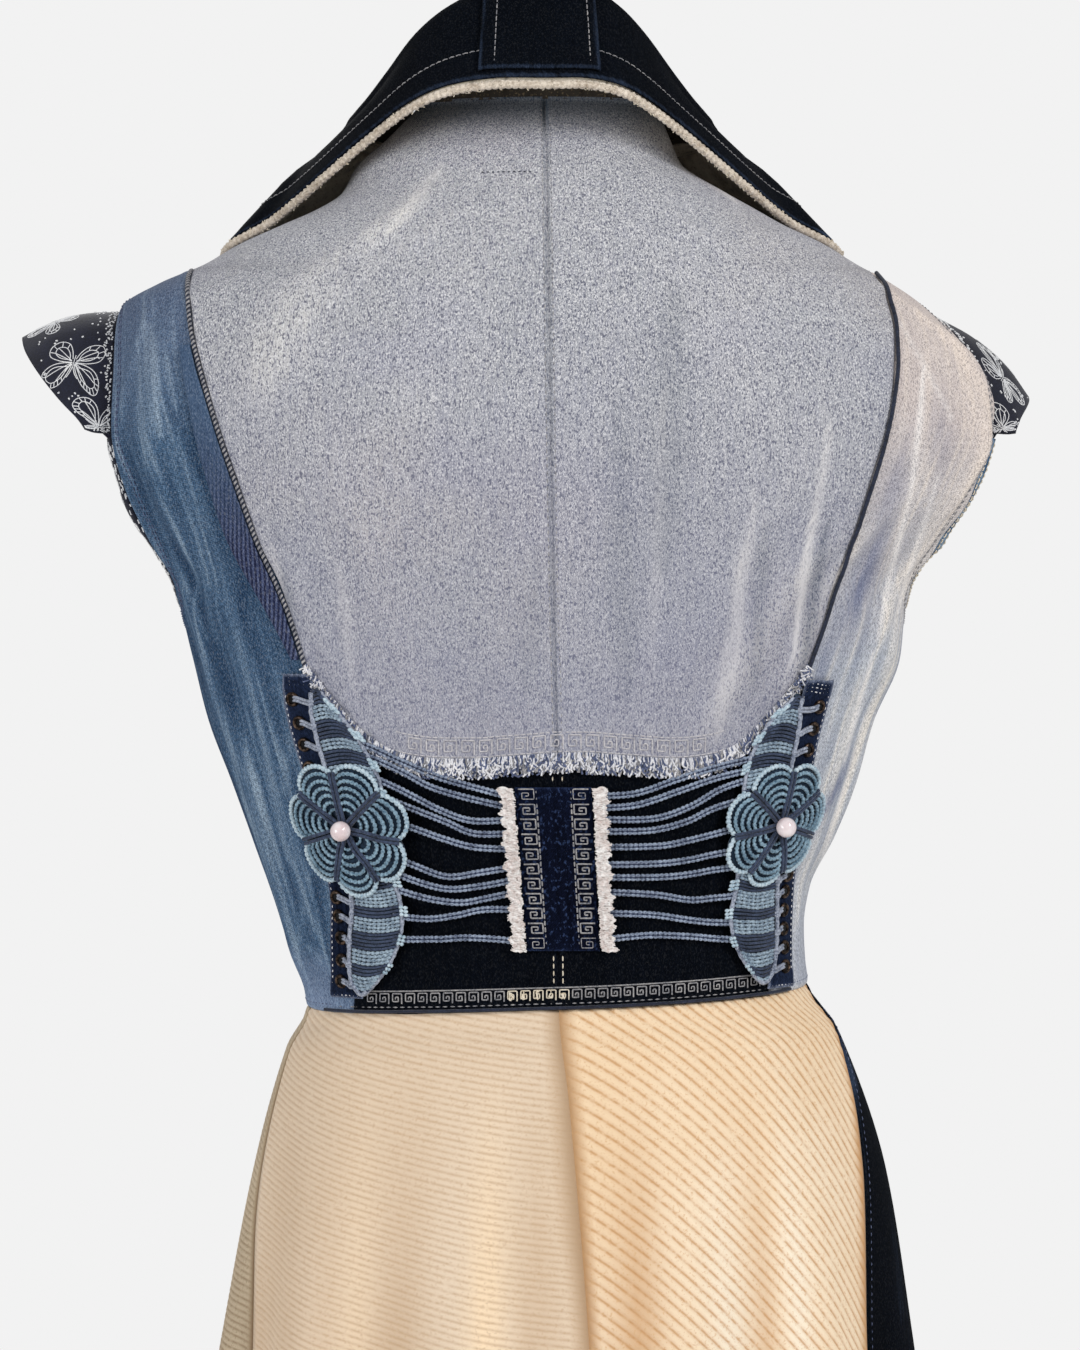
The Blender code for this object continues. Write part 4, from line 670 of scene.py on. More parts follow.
def angle_of(out, height, front=False):
    """The angle at which the body form lies this far to the left of the middle."""
    out = np.asarray(out, float)
    half = np.where(out >= 0, LEFT(height), RIGHT(height))
    share = np.minimum(np.abs(out) / half, 1.0)
    angle = np.degrees(np.arcsin(share ** (SQUARENESS / 2)))
    return np.where(out >= 0, 1, -1) * (180 - angle if front else angle)


def back_place(out, height):
    """The place on the back at this distance to the left and this height."""
    level = np.asarray(height, float)
    for _ in range(4):
        tilt = WAIST_TILT * np.sin(np.radians(angle_of(out, level)))
        level = height + tilt * swell(level - WAIST, TILT_REACH)
    return angle_of(out, level), level


def on_back(out, height, lift=0.0):
    return on_cloth(*back_place(np.asarray(out, float), np.asarray(height, float)), lift)


def on_level(out, level, lift=0.0):
    """On the back, at a height that follows the waist's tilt."""
    return on_cloth(angle_of(out, level), level, lift)


def moved(angle, height, offset):
    """The place reached by going this way along the skin."""
    _, _, around, upward = frames(angle, height)
    aa, ab, bb = (around * around).sum(-1), (around * upward).sum(-1), (upward * upward).sum(-1)
    oa, ob = (offset * around).sum(-1), (offset * upward).sum(-1)
    span = aa * bb - ab * ab
    return angle + (oa * bb - ob * ab) / span, height + (ob * aa - oa * ab) / span


def beside(places, distance):
    """A line of places moved sideways along the skin, to its left as seen from outside."""
    places = np.asarray(places, float)
    points, normal, _, _ = frames(places[:, 0], places[:, 1])
    side = unit(np.cross(normal, unit(np.gradient(points, axis=0))))
    return np.stack(moved(places[:, 0], places[:, 1], side * distance), axis=-1)


def seam_place(side, height):
    height = np.asarray(height, float)
    return np.stack((angle_of(side * SEAM_OUT[side](height), height), height), axis=-1)


def centre_place(height):
    height = np.asarray(height, float)
    return np.stack((angle_of(CENTRE_X(height), height), height), axis=-1)


def neck_line(side, heights):
    """The front edge of the garment, under the collar."""
    return np.stack((side * NECK_ANGLE(heights), heights), axis=-1)


def ridge_line(side, heights):
    return np.array([(side * 90.0, height) for height in heights])


def armhole_line(side, face):
    index = ARMHOLE_COLUMNS.index(face)
    return np.array([(side * row[index], row[0]) for row in ARMHOLE_ROWS], float)


def hem_line(side, count=40):
    """The raw lower edge of the grey back, from the middle out to the seam."""
    rows = np.array(LEFT_HEM if side > 0 else RIGHT_HEM, float)
    points = through(rows, np.linspace(0, len(rows) - 1, count))
    places = np.stack(back_place(points[:, 0], points[:, 1]), axis=-1)
    places[0] = centre_place(rows[0][1])
    places[-1] = seam_place(side, rows[-1][1])
    return places


def panel_between(inner, outer, foot=None, head=None, bend_rows=5):
    """Places of a panel from its inner to its outer edge, bent to its foot or head line."""
    inner, outer = np.asarray(inner, float), np.asarray(outer, float)
    last = len(inner) - 1

    def place_at(u, v):
        first, second = through(inner, v * last), through(outer, v * last)
        places = first + (second - first) * u[..., None]
        for line, end, rows_away in ((foot, last, last * (1 - v)), (head, 0, last * v)):
            if line is not None:
                edge = inner[end] + (outer[end] - inner[end]) * u[..., None]
                shift = through(line, u * (len(line) - 1)) - edge
                places = places + shift * ease(1 - rows_away / bend_rows)[..., None]
        return places[..., 0], places[..., 1]

    return place_at


def sample(table, u, v):
    """Values of a table spread evenly over a piece."""
    rows, cols = table.shape[0] - 1, table.shape[1] - 1
    x, y = np.clip(u, 0, 1) * cols, np.clip(v, 0, 1) * rows
    i, j = np.minimum(x.astype(int), cols - 1), np.minimum(y.astype(int), rows - 1)
    fx, fy = x - i, y - j
    return (
        table[j, i] * (1 - fx) * (1 - fy) + table[j, i + 1] * fx * (1 - fy)
        + table[j + 1, i] * (1 - fx) * fy + table[j + 1, i + 1] * fx * fy
    )


class Pattern:
    """A piece as it is cut: lengths across and down its cloth, in millimetres."""

    def __init__(self, surface):
        u, v = np.meshgrid(np.linspace(0, 1, 41), np.linspace(0, 1, 61))
        points = surface(u, v, 0 * u)
        across = length_of(np.diff(points, axis=1))
        down = length_of(np.diff(points, axis=0))
        self.across = np.pad(np.cumsum(across, axis=1), ((0, 0), (1, 0)))
        self.down = np.pad(np.cumsum(down, axis=0), ((1, 0), (0, 0)))
        self.width = float(self.across[:, -1].max())
        self.length = float(self.down[-1].max())
        first = points[1:, 1:] - points[:-1, :-1]
        second = points[1:, :-1] - points[:-1, 1:]
        self.area = float(length_of(np.cross(first, second)).sum() / 2)

    def lengths(self, u, v):
        across, down = sample(self.across, u, v), sample(self.down, u, v)
        whole = sample(self.across, 1 + 0 * u, v), sample(self.down, u, 1 + 0 * v)
        return across, whole[0] - across, down, whole[1] - down


def packed(count, size, ends=(True, True), near=(0, 0.5, 1.1, 1.9, 3.0, 4.4, 6.2)):
    """Shares of a side that lie closer together near its sewn ends."""
    near = np.array(near) / size
    low = near if ends[0] else np.zeros(1)
    high = 1 - near[::-1] if ends[1] else np.ones(1)
    inner = count + 1 - len(low) - len(high)
    middle = np.linspace(low[-1], high[0], inner + 2)[1:-1]
    return np.concatenate((low, middle, high))


def sewn(distance):
    """A seamed edge rolls in, with the seam allowance proud beside it."""
    return -0.9 * swell(distance, 1.0) + 0.35 * swell(distance - 4.0, 2.4)


def hemmed(distance):
    """A folded and stitched edge is thicker as far as its stitching."""
    return 0.5 * (1 - ease((distance - 8.0) / 2.0)) - 0.5 * swell(distance, 0.8)


def raw(distance):
    return 0.0 * distance


RAW, HEMMED = (raw,) * 4, (hemmed,) * 4


def mesh_object(built, name, finish):
    data = bpy.data.meshes.new(name)
    built.to_mesh(data)
    built.free()
    data.materials.append(finish)
    data.polygons.foreach_set("use_smooth", [True] * len(data.polygons))
    made = bpy.data.objects.new(name, data)
    bpy.context.scene.collection.objects.link(made)
    return made


def dress(piece, slot, *nodes):
    """Fixes a finished piece to the garment, in place of these solids."""
    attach(piece, "root")
    if nodes:
        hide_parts(*nodes)
    return piece


def cloth(name, surface, columns, rows, finish, edges=(sewn, sewn, sewn, sewn), lift=None,
          thick=1.2, ribs=None, grain=0.0, marks=None, pack=True):
    """A sheet of cloth draped on a surface from its flat grid, with its wall as a modifier.

    surface takes shares across and down and a lift, all as arrays. edges are the ways the
    inner, outer, top and bottom edges are finished. lift takes u, v and the pattern's lengths.
    """
    cut = Pattern(surface)
    built = bmesh.new()
    if ribs:
        bmesh.ops.create_grid(built, x_segments=columns, y_segments=ribs.rows, size=0.5)
        for vert in built.verts:
            u = vert.co.x + 0.5
            vert.co = (u, -ribs.down(u, (0.5 - vert.co.y) * ribs.rows), 0)
        for at, side in ((0.0, 1.0), (-1.0, -1.0)):
            bmesh.ops.bisect_plane(
                built, geom=built.verts[:] + built.edges[:] + built.faces[:], dist=1e-7,
                plane_co=(0, at, 0), plane_no=(0, side, 0), clear_outer=True,
            )
        flat = np.array([vert.co for vert in built.verts])
        u, v = flat[:, 0], -flat[:, 1]
    else:
        bmesh.ops.create_grid(built, x_segments=columns, y_segments=rows, size=0.5)
        flat = np.array([vert.co for vert in built.verts])
        across = packed(columns, cut.width) if pack else np.linspace(0, 1, columns + 1)
        down = packed(rows, cut.length) if pack else np.linspace(0, 1, rows + 1)
        u = across[np.rint((flat[:, 0] + 0.5) * columns).astype(int)]
        v = down[np.rint((0.5 - flat[:, 1]) * rows).astype(int)]
    lengths = cut.lengths(u, v)
    rise = sum(edge(distance) for edge, distance in zip(edges, lengths))
    if lift is not None:
        rise = rise + lift(u, v, lengths)
    points = surface(u, v, rise)
    away = surface(u, v, rise + 1.0) - points
    for vert, point in zip(built.verts, points * MM):
        vert.co = point
    built.verts.index_update()
    built.normal_update()
    outward = sum(vert.normal.dot(Vector(way)) for vert, way in zip(built.verts, away))
    if outward < 0:
        bmesh.ops.reverse_faces(built, faces=built.faces)
    flat_map = built.loops.layers.uv.new("cut")
    whole = lengths[0] + lengths[1]
    place = (np.stack((lengths[0] - grain * whole, lengths[2]), axis=-1) * MM).tolist()
    for face in built.faces:
        for loop in face.loops:
            loop[flat_map].uv = place[loop.vert.index]
    for key, values in (marks(u, v, lengths, points) if marks else {}).items():
        layer = built.verts.layers.float.new(key)
        for vert, value in zip(built.verts, values.tolist()):
            vert[layer] = value
    piece = mesh_object(built, name, finish)
    wall = piece.modifiers.new("Cloth", "SOLIDIFY")
    wall.thickness = thick * MM
    wall.offset = -1
    piece["cut"] = [cut.width * MM, cut.length * MM, cut.area * MM * MM]
    return piece


class Ribs:
    """Ribs that slant straight across a panel, with the rows of its grid along them."""

    def __init__(self, cut, pitch, slope, samples):
        self.top, self.growth = float(cut.across[0, -1]), float(cut.across[-1, -1] - cut.across[0, -1])
        self.length, self.slope = cut.length, slope
        self.pitch = pitch / cos(atan(slope))
        self.samples = samples
        self.start = min(0.0, -slope * self.top)
        end = self.length + max(0.0, -slope * (self.top + self.growth))
        self.rows = int((end - self.start) / self.pitch * samples) + 2

    def down(self, u, row):
        """Share of the panel's length at this share across and row of the grid."""
        level = self.start + row * self.pitch / self.samples
        return (level + self.slope * u * self.top) / (self.length - self.slope * u * self.growth)

    def groove(self, u, v):
        """1 in the middle of a groove, 0 on the ribs."""
        level = v * self.length - self.slope * u * (self.top + self.growth * v)
        return np.abs(np.cos(pi * (level - self.start) / self.pitch))


def declare(piece, with_pieces=()):
    width, length, area = piece["cut"]
    area = min(area, 1.0005 * width * length)


def cords(name, runs, radius, tone, slot, sides=THIN, radii=None, node=None):
    """Cords or threads along runs of points, as one finished piece."""
    data = bpy.data.curves.new(name, "CURVE")
    data.dimensions = "3D"
    data.bevel_depth = radius * MM
    data.bevel_resolution = sides
    data.use_fill_caps = True
    for index, run in enumerate(runs):
        spline = data.splines.new("POLY")
        spline.points.add(len(run) - 1)
        flat = np.ones((len(run), 4))
        flat[:, :3] = np.asarray(run) * MM
        spline.points.foreach_set("co", flat.ravel())
        if radii is not None:
            spline.points.foreach_set("radius", np.asarray(radii[index], float))
    data.materials.append(finish(tone))
    made = bpy.data.objects.new(name, data)
    bpy.context.scene.collection.objects.link(made)
    dress(made, slot, *([node] if node else []))


def paced(surface, track, fine=14):
    """Lengths along a track on a surface, and the place at each."""
    track = np.asarray(track, float)
    dense = through(track, np.linspace(0, len(track) - 1, (len(track) - 1) * fine + 1))
    points = surface(dense[:, 0], dense[:, 1], np.zeros(len(dense)))
    return run_of(points), dense


def along(surface, track, lengths, lift):
    """Points of a surface at these lengths along a track."""
    first, second = read_off(lengths, *paced(surface, track)).T
    return surface(first, second, np.broadcast_to(lift, first.shape))


def stitches(surface, track, length=2.6, gap=1.1, lift=0.35, sink=0.1):
    """One short run of points for each stitch of a sewn line."""
    run, _ = paced(surface, track)
    starts = np.arange(0.4, run[-1] - length, length + gap)
    at = starts[:, None] + length * np.array((0.0, 0.5, 1.0))
    rise = np.broadcast_to(np.array((-sink, lift, -sink)), at.shape)
    points = along(surface, track, at.ravel(), rise.ravel())
    return list(points.reshape(-1, 3, 3))


def drawn(surface, runs):
    """Runs of points on a surface, from runs of its two shares and a lift."""
    if not runs:
        return []
    ends = np.cumsum([len(run) for run in runs])[:-1]
    flat = np.concatenate(runs)
    return np.split(surface(flat[:, 0], flat[:, 1], flat[:, 2]), ends)


def line_on(surface, track, lift, spacing=2.0):
    """An unbroken run of points along a track."""
    run, _ = paced(surface, track)
    count = max(int(run[-1] / spacing), 2) + 1
    return along(surface, track, np.linspace(0, run[-1], count), lift)


def resampled(points, spacing):
    """Points evenly spaced along a run of points."""
    points = np.asarray(points, float)
    run = run_of(points)
    return read_off(np.linspace(0, run[-1], max(int(run[-1] / spacing), 2) + 1), run, points)


# Materials

def tint(red, green, blue):
    """A colour given as a screen shows it, from 0 to 255."""
    values = [v / 255 for v in (red, green, blue)]
    return tuple(v / 12.92 if v <= 0.04045 else ((v + 0.055) / 1.055) ** 2.4 for v in values) + (1.0,)


def put(tree, kind, sockets=(), **settings):
    """Adds a node, and joins or sets its sockets."""
    node = tree.nodes.new(kind)
    for key, value in settings.items():
        setattr(node, key, value)
    for key, value in dict(sockets).items():
        if isinstance(value, bpy.types.NodeSocket):
            tree.links.new(value, node.inputs[key])
        else:
            node.inputs[key].default_value = value
    return node


def calc(tree, operation, *values, clamp=False):
    node = put(tree, "ShaderNodeMath", dict(enumerate(values)), operation=operation, use_clamp=clamp)
    return node.outputs[0]


def mixed(tree, first, share, second):
    """Two values, with this share of the first."""
    return calc(tree, "ADD", calc(tree, "MULTIPLY", first, share), calc(tree, "MULTIPLY", second, 1 - share))


def blend_colours(tree, share, first, second, way="MIX"):
    node = put(tree, "ShaderNodeMix", {0: share, 6: first, 7: second}, data_type="RGBA", blend_type=way)
    return node.outputs[2]


def tinged(tree, colour, mask, share, shade):
    """The colour, with this share of a shade where the mask is 1."""
    return blend_colours(tree, calc(tree, "MULTIPLY", mask, share), colour, shade)


def ramp(tree, value, low, high):
    """The value stretched so that low becomes 0 and high 1."""
    return put(tree, "ShaderNodeMapRange", {0: value, 1: low, 2: high}, clamp=True).outputs[0]


def noise(tree, vector, scale, detail=2.0, rough=0.5):
    sockets = {"Vector": vector, "Scale": scale, "Detail": detail, "Roughness": rough}
    return put(tree, "ShaderNodeTexNoise", sockets).outputs["Fac"]


def streaky(tree, vector, scales, detail=1.0, rough=0.5):
    """Noise with a scale of its own along each axis."""
    drawn_out = put(tree, "ShaderNodeMapping", {"Vector": vector, "Scale": scales}).outputs[0]
    return noise(tree, drawn_out, 1.0, detail, rough)


def object_place(tree):
    return put(tree, "ShaderNodeTexCoord").outputs["Object"]


def cut_place(tree):
    """The place on the piece as it is cut, in metres."""
    return put(tree, "ShaderNodeUVMap", uv_map="cut").outputs[0]


def height_at(tree, place):
    return put(tree, "ShaderNodeSeparateXYZ", {0: place}).outputs[2]


def mark(tree, name):
    """A mark that the cloth's mesh carries."""
    return put(tree, "ShaderNodeAttribute", attribute_name=name).outputs["Fac"]


def height_mask(tree, place, grain, reach, low, high):
    """1 beyond the second of two heights, over an uneven border."""
    wandering = calc(tree, "MULTIPLY_ADD", noise(tree, place, grain), reach, height_at(tree, place))
    return ramp(tree, wandering, low, high)


def new_group(name, inputs, outputs):
    """A shared effect that gives only masks and values."""
    group = bpy.data.node_groups.new(name, "ShaderNodeTree")
    for label, default in inputs:
        kind = "NodeSocketVector" if default is None else "NodeSocketFloat"
        socket = group.interface.new_socket(name=label, in_out="INPUT", socket_type=kind)
        if default is not None:
            socket.default_value = default
    for label in outputs:
        group.interface.new_socket(name=label, in_out="OUTPUT", socket_type="NodeSocketFloat")
    entry = group.nodes.new("NodeGroupInput")
    leave = group.nodes.new("NodeGroupOutput")
    return group, entry.outputs, leave.inputs


def twill_group():
    """Twill weave: slanting ridges with slubs along the warp."""
    group, given, result = new_group(
        "Twill weave", (("Vector", None), ("Pitch", TWILL_PITCH), ("Lean", 1.0)), ("Height", "Tone")
    )
    flat = given["Vector"]
    parts = put(group, "ShaderNodeSeparateXYZ", {0: flat}).outputs
    leaned = calc(group, "MULTIPLY", parts[0], given["Lean"])
    line = calc(group, "DIVIDE", calc(group, "ADD", leaned, parts[1]), given["Pitch"])
    wander = noise(group, flat, 420.0)
    wave = calc(group, "SINE", calc(group, "MULTIPLY", calc(group, "ADD", line, wander), 2 * pi))
    ridge = calc(group, "MULTIPLY_ADD", wave, 0.5, 0.5)
    slub = streaky(group, flat, (1500.0, 260.0, 1.0), 3.0, 0.6)
    fine = streaky(group, flat, (1050.0, 620.0, 1.0))
    height = mixed(group, ridge, 0.35, slub)
    group.links.new(height, result["Height"])
    group.links.new(ramp(group, mixed(group, height, 0.4, fine), 0.40, 0.60), result["Tone"])
    return group


def wash_group():
    """Uneven fading of washed denim, stronger where the cloth is worn and where highlights are painted on its
    creases.
    """
    group, given, result = new_group(
        "Washed", (("Vector", None), ("Wear", 0.0), ("Ridge", 0.0), ("Cut", None)), ("Fade",)
    )
    wide = noise(group, given["Vector"], 9.0, 3.0, 0.6)
    streak = streaky(group, given["Cut"], (330.0, 11.0, 1.0), 3.0, 0.6)
    base = ramp(group, mixed(group, wide, 0.5, streak), 0.35, 0.68)
    worn = calc(group, "MULTIPLY_ADD", given["Wear"], 0.75, calc(group, "MULTIPLY", base, 0.5))
    group.links.new(calc(group, "MULTIPLY_ADD", given["Ridge"], 0.5, worn, clamp=True), result["Fade"])
    return group


def thread_group():
    """Mottling of spun cord and thread."""
    group, given, result = new_group("Spun thread", (("Vector", None), ("Scale", 900.0)), ("Height", "Tone"))
    fine = noise(group, given["Vector"], given["Scale"], 2.0, 0.7)
    wide = noise(group, given["Vector"], 120.0, 2.0, 0.5)
    group.links.new(fine, result["Height"])
    group.links.new(ramp(group, mixed(group, fine, 0.7, wide), 0.34, 0.66), result["Tone"])
    return group


# The denims: the user's colour that each follows, its unwashed, middle and washed shades, and how
# much of its tone is left in the weave's valleys
DENIM = {
    "grey_denim": dict(
        name="Bleached grey denim", follows="grey", grit=0.7,
        shades=((178, 180, 187), (198, 198, 203), (240, 237, 232))),
    "blue_denim": dict(
        name="Washed blue denim", follows="blue", grit=0.5,
        shades=((54, 82, 114), (90, 120, 152), (168, 190, 210))),
    "right_denim": dict(
        name="Beige to blue denim", follows="beige", grit=0.66,
        shades=((172, 179, 196), (208, 212, 220), (255, 249, 241))),
    "twill_strip": dict(
        name="Dark twill strip", pitch=0.0021, lean=1.4, grit=0.6,
        shades=((78, 88, 122), (102, 114, 150), (160, 168, 194))),
    "dark_denim": dict(
        name="Dark denim", follows="dark", grit=0.5, rough=0.9,
        shades=((4, 8, 16), (9, 15, 25), (58, 72, 96))),
    "panel_denim": dict(
        name="Speckled dark denim", grit=0.45,
        shades=((6, 10, 26), (16, 24, 48), (60, 76, 112))),
    "strip_denim": dict(
        name="Worn eyelet strip", grit=0.4,
        shades=((16, 24, 44), (44, 56, 84), (150, 160, 184))),
}
# The ribbed knits: the user's colour, ground, brighter ground, the painted shade of the grooves and folds,
# specks and painted light on the folds, and how deep the painted shade in the grooves is
RIBBED = {
    "cream_rib": dict(
        name="Cream ribbed knit", follows="cream", depth=0.8,
        shades=((244, 216, 180), (252, 232, 204), (196, 142, 86), (214, 168, 118), (255, 244, 224))),
    "rose_rib": dict(
        name="Cream ribbed knit, rosy", follows="cream", depth=0.5,
        shades=((228, 206, 180), (238, 218, 194), (188, 152, 114), (204, 172, 138), (255, 228, 192))),
    "tan_rib": dict(
        name="Tan ribbed knit", follows="tan", depth=0.6,
        shades=((188, 170, 144), (212, 194, 166), (128, 100, 70), (146, 126, 98), (222, 206, 178))),
    "collar_rib": dict(
        name="Cream collar rib", depth=0.8,
        shades=((222, 208, 188), (246, 236, 216), (34, 28, 24), (160, 140, 110), (250, 240, 222))),
}
# Spun cords, threads and plain cloth, and the painted shade in the gaps of the knotwork and inside the
# eyelets: dark and pale shades of their mottling
SPUN = {
    "sennit_cord": dict(name="Slate braid cord", shades=((14, 20, 36), (48, 60, 90))),
    "bar_cord": dict(name="Dark knotted cord", follows="cord", shades=((16, 24, 40), (70, 84, 112))),
    "knot_cord": dict(name="Pale knotted cord", shades=((66, 86, 110), (180, 200, 214))),
    "petal_cord": dict(name="Petal cord", follows="petal", shades=((50, 82, 106), (156, 186, 204))),
    "petal_tip": dict(name="Pale petal cord", shades=((122, 152, 172), (214, 230, 238))),
    # Painted shade: a dark sheet under the wings and flowers that shows in the gaps between their cords
    "petal_ground": dict(name="Petal ground", shades=((12, 24, 40), (34, 58, 80))),
    "lace_cord": dict(name="Grey lacing", shades=((80, 90, 112), (188, 195, 210))),
    "braid_edge": dict(name="Pale braid cord", shades=((54, 64, 90), (170, 184, 206))),
    "trim_rib": dict(
        name="Cream ribbed edge", shades=((168, 152, 134), (242, 230, 214)),
        rough=0.9, bump=0.0006, scale=600.0),
    "fray_cloth": dict(
        name="Torn cream cloth", follows="fray", shades=((214, 198, 192), (255, 254, 252)),
        rough=0.9, bump=0.0008, scale=500.0),
    "cream_thread": dict(name="Cream thread", shades=((204, 188, 160), (246, 238, 222)), rough=0.7),
    "grey_thread": dict(name="Grey thread", shades=((88, 92, 104), (188, 184, 182)), rough=0.7),
    "blue_thread": dict(name="Slate thread", shades=((34, 42, 68), (110, 122, 158)), rough=0.7),
    "dark_thread": dict(name="Dark thread", shades=((12, 16, 28), (40, 48, 70)), rough=0.7),
    "hem_thread": dict(name="Pale grey thread", shades=((166, 164, 172), (226, 222, 222)), rough=0.7),
    "white_thread": dict(name="White thread", shades=((196, 198, 208), (252, 250, 250)), rough=0.7),
    "navy_print": dict(
        name="Navy printed cotton", shades=((8, 10, 24), (22, 26, 48)), rough=0.7, bump=0.0002),
    "print_white": dict(
        name="White print", shades=((206, 208, 214), (250, 250, 248)), rough=0.75, bump=0.0001),
    # Painted shade: the dark discs in the eyelets' holes
    "dark_hole": dict(name="Inside of an eyelet", shades=((4, 5, 8), (14, 14, 18)), rough=0.9),
}


class Finishes:
    """Builds the shared effects once and each finish when it is first asked for."""

    def __init__(self, colours):
        self.colours = colours
        self.made = {}
        self.twill = twill_group()
        self.wash = wash_group()
        self.thread = thread_group()

    def get(self, key):
        if key not in self.made:
            self.made[key] = self.build(key)
        return self.made[key]

    def build(self, key):
        for table, way in ((SPUN, self.spun), (RIBBED, self.ribbed)):
            if key in table:
                return way(**table[key])
        if key not in DENIM:
            return getattr(self, key)()
        made, tree, shader, place, colour = self.denim(**DENIM[key])
        if hasattr(self, key):
            tree.links.new(getattr(self, key)(tree, place, colour), shader.inputs["Base Color"])
        return made

    def start(self, name, rough, sheen=0.0, shine=0.25):
        made = bpy.data.materials.new(name)
        made.use_nodes = True
        tree = made.node_tree
        shader = tree.nodes["Principled BSDF"]
        shader.inputs["Roughness"].default_value = rough
        shader.inputs["Sheen Weight"].default_value = sheen
        shader.inputs["Specular IOR Level"].default_value = shine
        return made, tree, shader

    def toned(self, key, shades):
        """Colours shifted by as much as the user's choice differs from the plain one."""
        colours = [tint(*shade) for shade in shades]
        if key is None:
            return colours
        shift = [chosen / plain for chosen, plain in zip(getattr(self.colours, key), MAIN_COLOURS[key])]
        return [tuple(min(part * by, 1.0) for part, by in zip(colour, shift)) for colour in colours]

    def bumped(self, tree, shader, height, distance, strength):
        bump = put(tree, "ShaderNodeBump", {"Height": height, "Distance": distance, "Strength": strength})
        tree.links.new(bump.outputs[0], shader.inputs["Normal"])

    def denim(self, name, shades, follows=None, pitch=TWILL_PITCH, lean=1.0, rough=0.85, grit=0.5):
        """Washed twill, as a start for the finishes below."""
        deep, mid, pale = self.toned(follows, shades)
        made, tree, shader = self.start(name, rough, 0.01, 0.04)
        flat, place = cut_place(tree), object_place(tree)
        weave = put(tree, "ShaderNodeGroup", {0: flat, 1: pitch, 2: lean}, node_tree=self.twill)
        # The wear mark carries wear and, on the grey back, painted highlights on its creases; the wash fades
        # the denim by both
        worn = {0: place, 1: mark(tree, "wear"), 2: mark(tree, "ridge"), 3: flat}
        wash = put(tree, "ShaderNodeGroup", worn, node_tree=self.wash)
        fade = wash.outputs["Fade"]
        colour = blend_colours(tree, ramp(tree, fade, 0.05, 0.5), deep, mid)
        colour = blend_colours(tree, ramp(tree, fade, 0.45, 1.0), colour, pale)
        dark = blend_colours(tree, 1.0, colour, (grit, grit, grit, 1), "MULTIPLY")
        colour = blend_colours(tree, weave.outputs["Tone"], dark, colour)
        tree.links.new(colour, shader.inputs["Base Color"])
        self.bumped(tree, shader, weave.outputs["Height"], 0.0004, 0.7)
        return made, tree, shader, place, colour

    def specked(self, tree, place, colour, dark, pale):
        """Short dark and pale specks of yarn, drawn out along the warp."""
        grain = streaky(tree, place, (1500.0, 1500.0, 760.0))
        deep = blend_colours(tree, 1.0, colour, (0.28, 0.3, 0.36, 1), "MULTIPLY")
        light = blend_colours(tree, 1.0, colour, (0.16, 0.16, 0.16, 1), "ADD")
        colour = tinged(tree, colour, ramp(tree, grain, 0.52, 0.66), dark, deep)
        return tinged(tree, colour, ramp(tree, grain, 0.46, 0.34), pale, light)

    def grey_denim(self, tree, place, colour):
        """Warm and cold patches, pale and dark yarns, painted highlights on the creases, painted shade under
        the collar and beside the creases, a dark middle seam, and darker towards its foot.
        """
        warm = ramp(tree, noise(tree, place, 7.0), 0.5, 0.68)
        colour = tinged(tree, colour, warm, 0.22, tint(204, 190, 182))
        cold = ramp(tree, streaky(tree, place, (10.0, 10.0, 16.0), 2.0), 0.52, 0.7)
        colour = tinged(tree, colour, cold, 0.24, tint(142, 144, 172))
        warp = ramp(tree, streaky(tree, place, (620.0, 620.0, 14.0)), 0.48, 0.62)
        colour = tinged(tree, colour, warp, 0.3, tint(142, 144, 162))
        pale = ramp(tree, streaky(tree, place, (1500.0, 1500.0, 1000.0)), 0.5, 0.64)
        colour = tinged(tree, colour, pale, 0.72, tint(240, 239, 240))
        specks = ramp(tree, streaky(tree, place, (1350.0, 1350.0, 640.0)), 0.54, 0.64)
        colour = tinged(tree, colour, specks, 0.86, tint(92, 94, 112))
        # Painted highlights on the creases
        colour = tinged(tree, colour, mark(tree, "light"), 0.8, tint(252, 248, 244))
        low = height_mask(tree, place, 11.0, 0.12, -0.02, -0.19)
        colour = tinged(tree, colour, low, 0.42, tint(128, 131, 156))
        # Painted shade under the collar and beside the creases, with a dark line along the middle seam
        return blend_colours(tree, mark(tree, "dusk"), colour, tint(58, 74, 88))

    def blue_denim(self, tree, place, colour):
        """Greyer at the shoulder and paler at the waist."""
        top = height_mask(tree, place, 14.0, 0.05, -0.11, -0.02)
        foot = height_mask(tree, place, 20.0, 0.05, -0.37, -0.405)
        colour = tinged(tree, colour, top, 0.62, tint(112, 122, 146))
        colour = tinged(tree, colour, foot, 0.6, tint(148, 166, 196))
        return self.specked(tree, place, colour, 0.62, 0.5)

    def twill_strip(self, tree, place, colour):
        """Broad dark lines that slant across the strip, plainer at its top."""
        parts = put(tree, "ShaderNodeSeparateXYZ", {0: cut_place(tree)}).outputs
        line = calc(tree, "MULTIPLY_ADD", parts[1], -0.42, parts[0])
        wave = calc(tree, "SINE", calc(tree, "MULTIPLY", line, 2 * pi / STRIP_TWILL_PITCH))
        colour = tinged(tree, colour, ramp(tree, wave, -0.4, 0.4), 0.9, tint(30, 36, 62))
        top = ramp(tree, height_at(tree, place), -0.19, -0.12)
        return self.specked(tree, place, tinged(tree, colour, top, 0.9, tint(76, 98, 126)), 0.5, 0.4)

    def right_denim(self, tree, place, colour):
        """Beige above and blue below, with deep blue patches and painted highlights on the creases."""
        top = height_mask(tree, place, 14.0, 0.07, -0.215, -0.085)
        colour = tinged(tree, colour, top, 0.62, tint(226, 206, 192))
        colour = tinged(tree, colour, mark(tree, "dusk"), 0.8, tint(92, 104, 142))
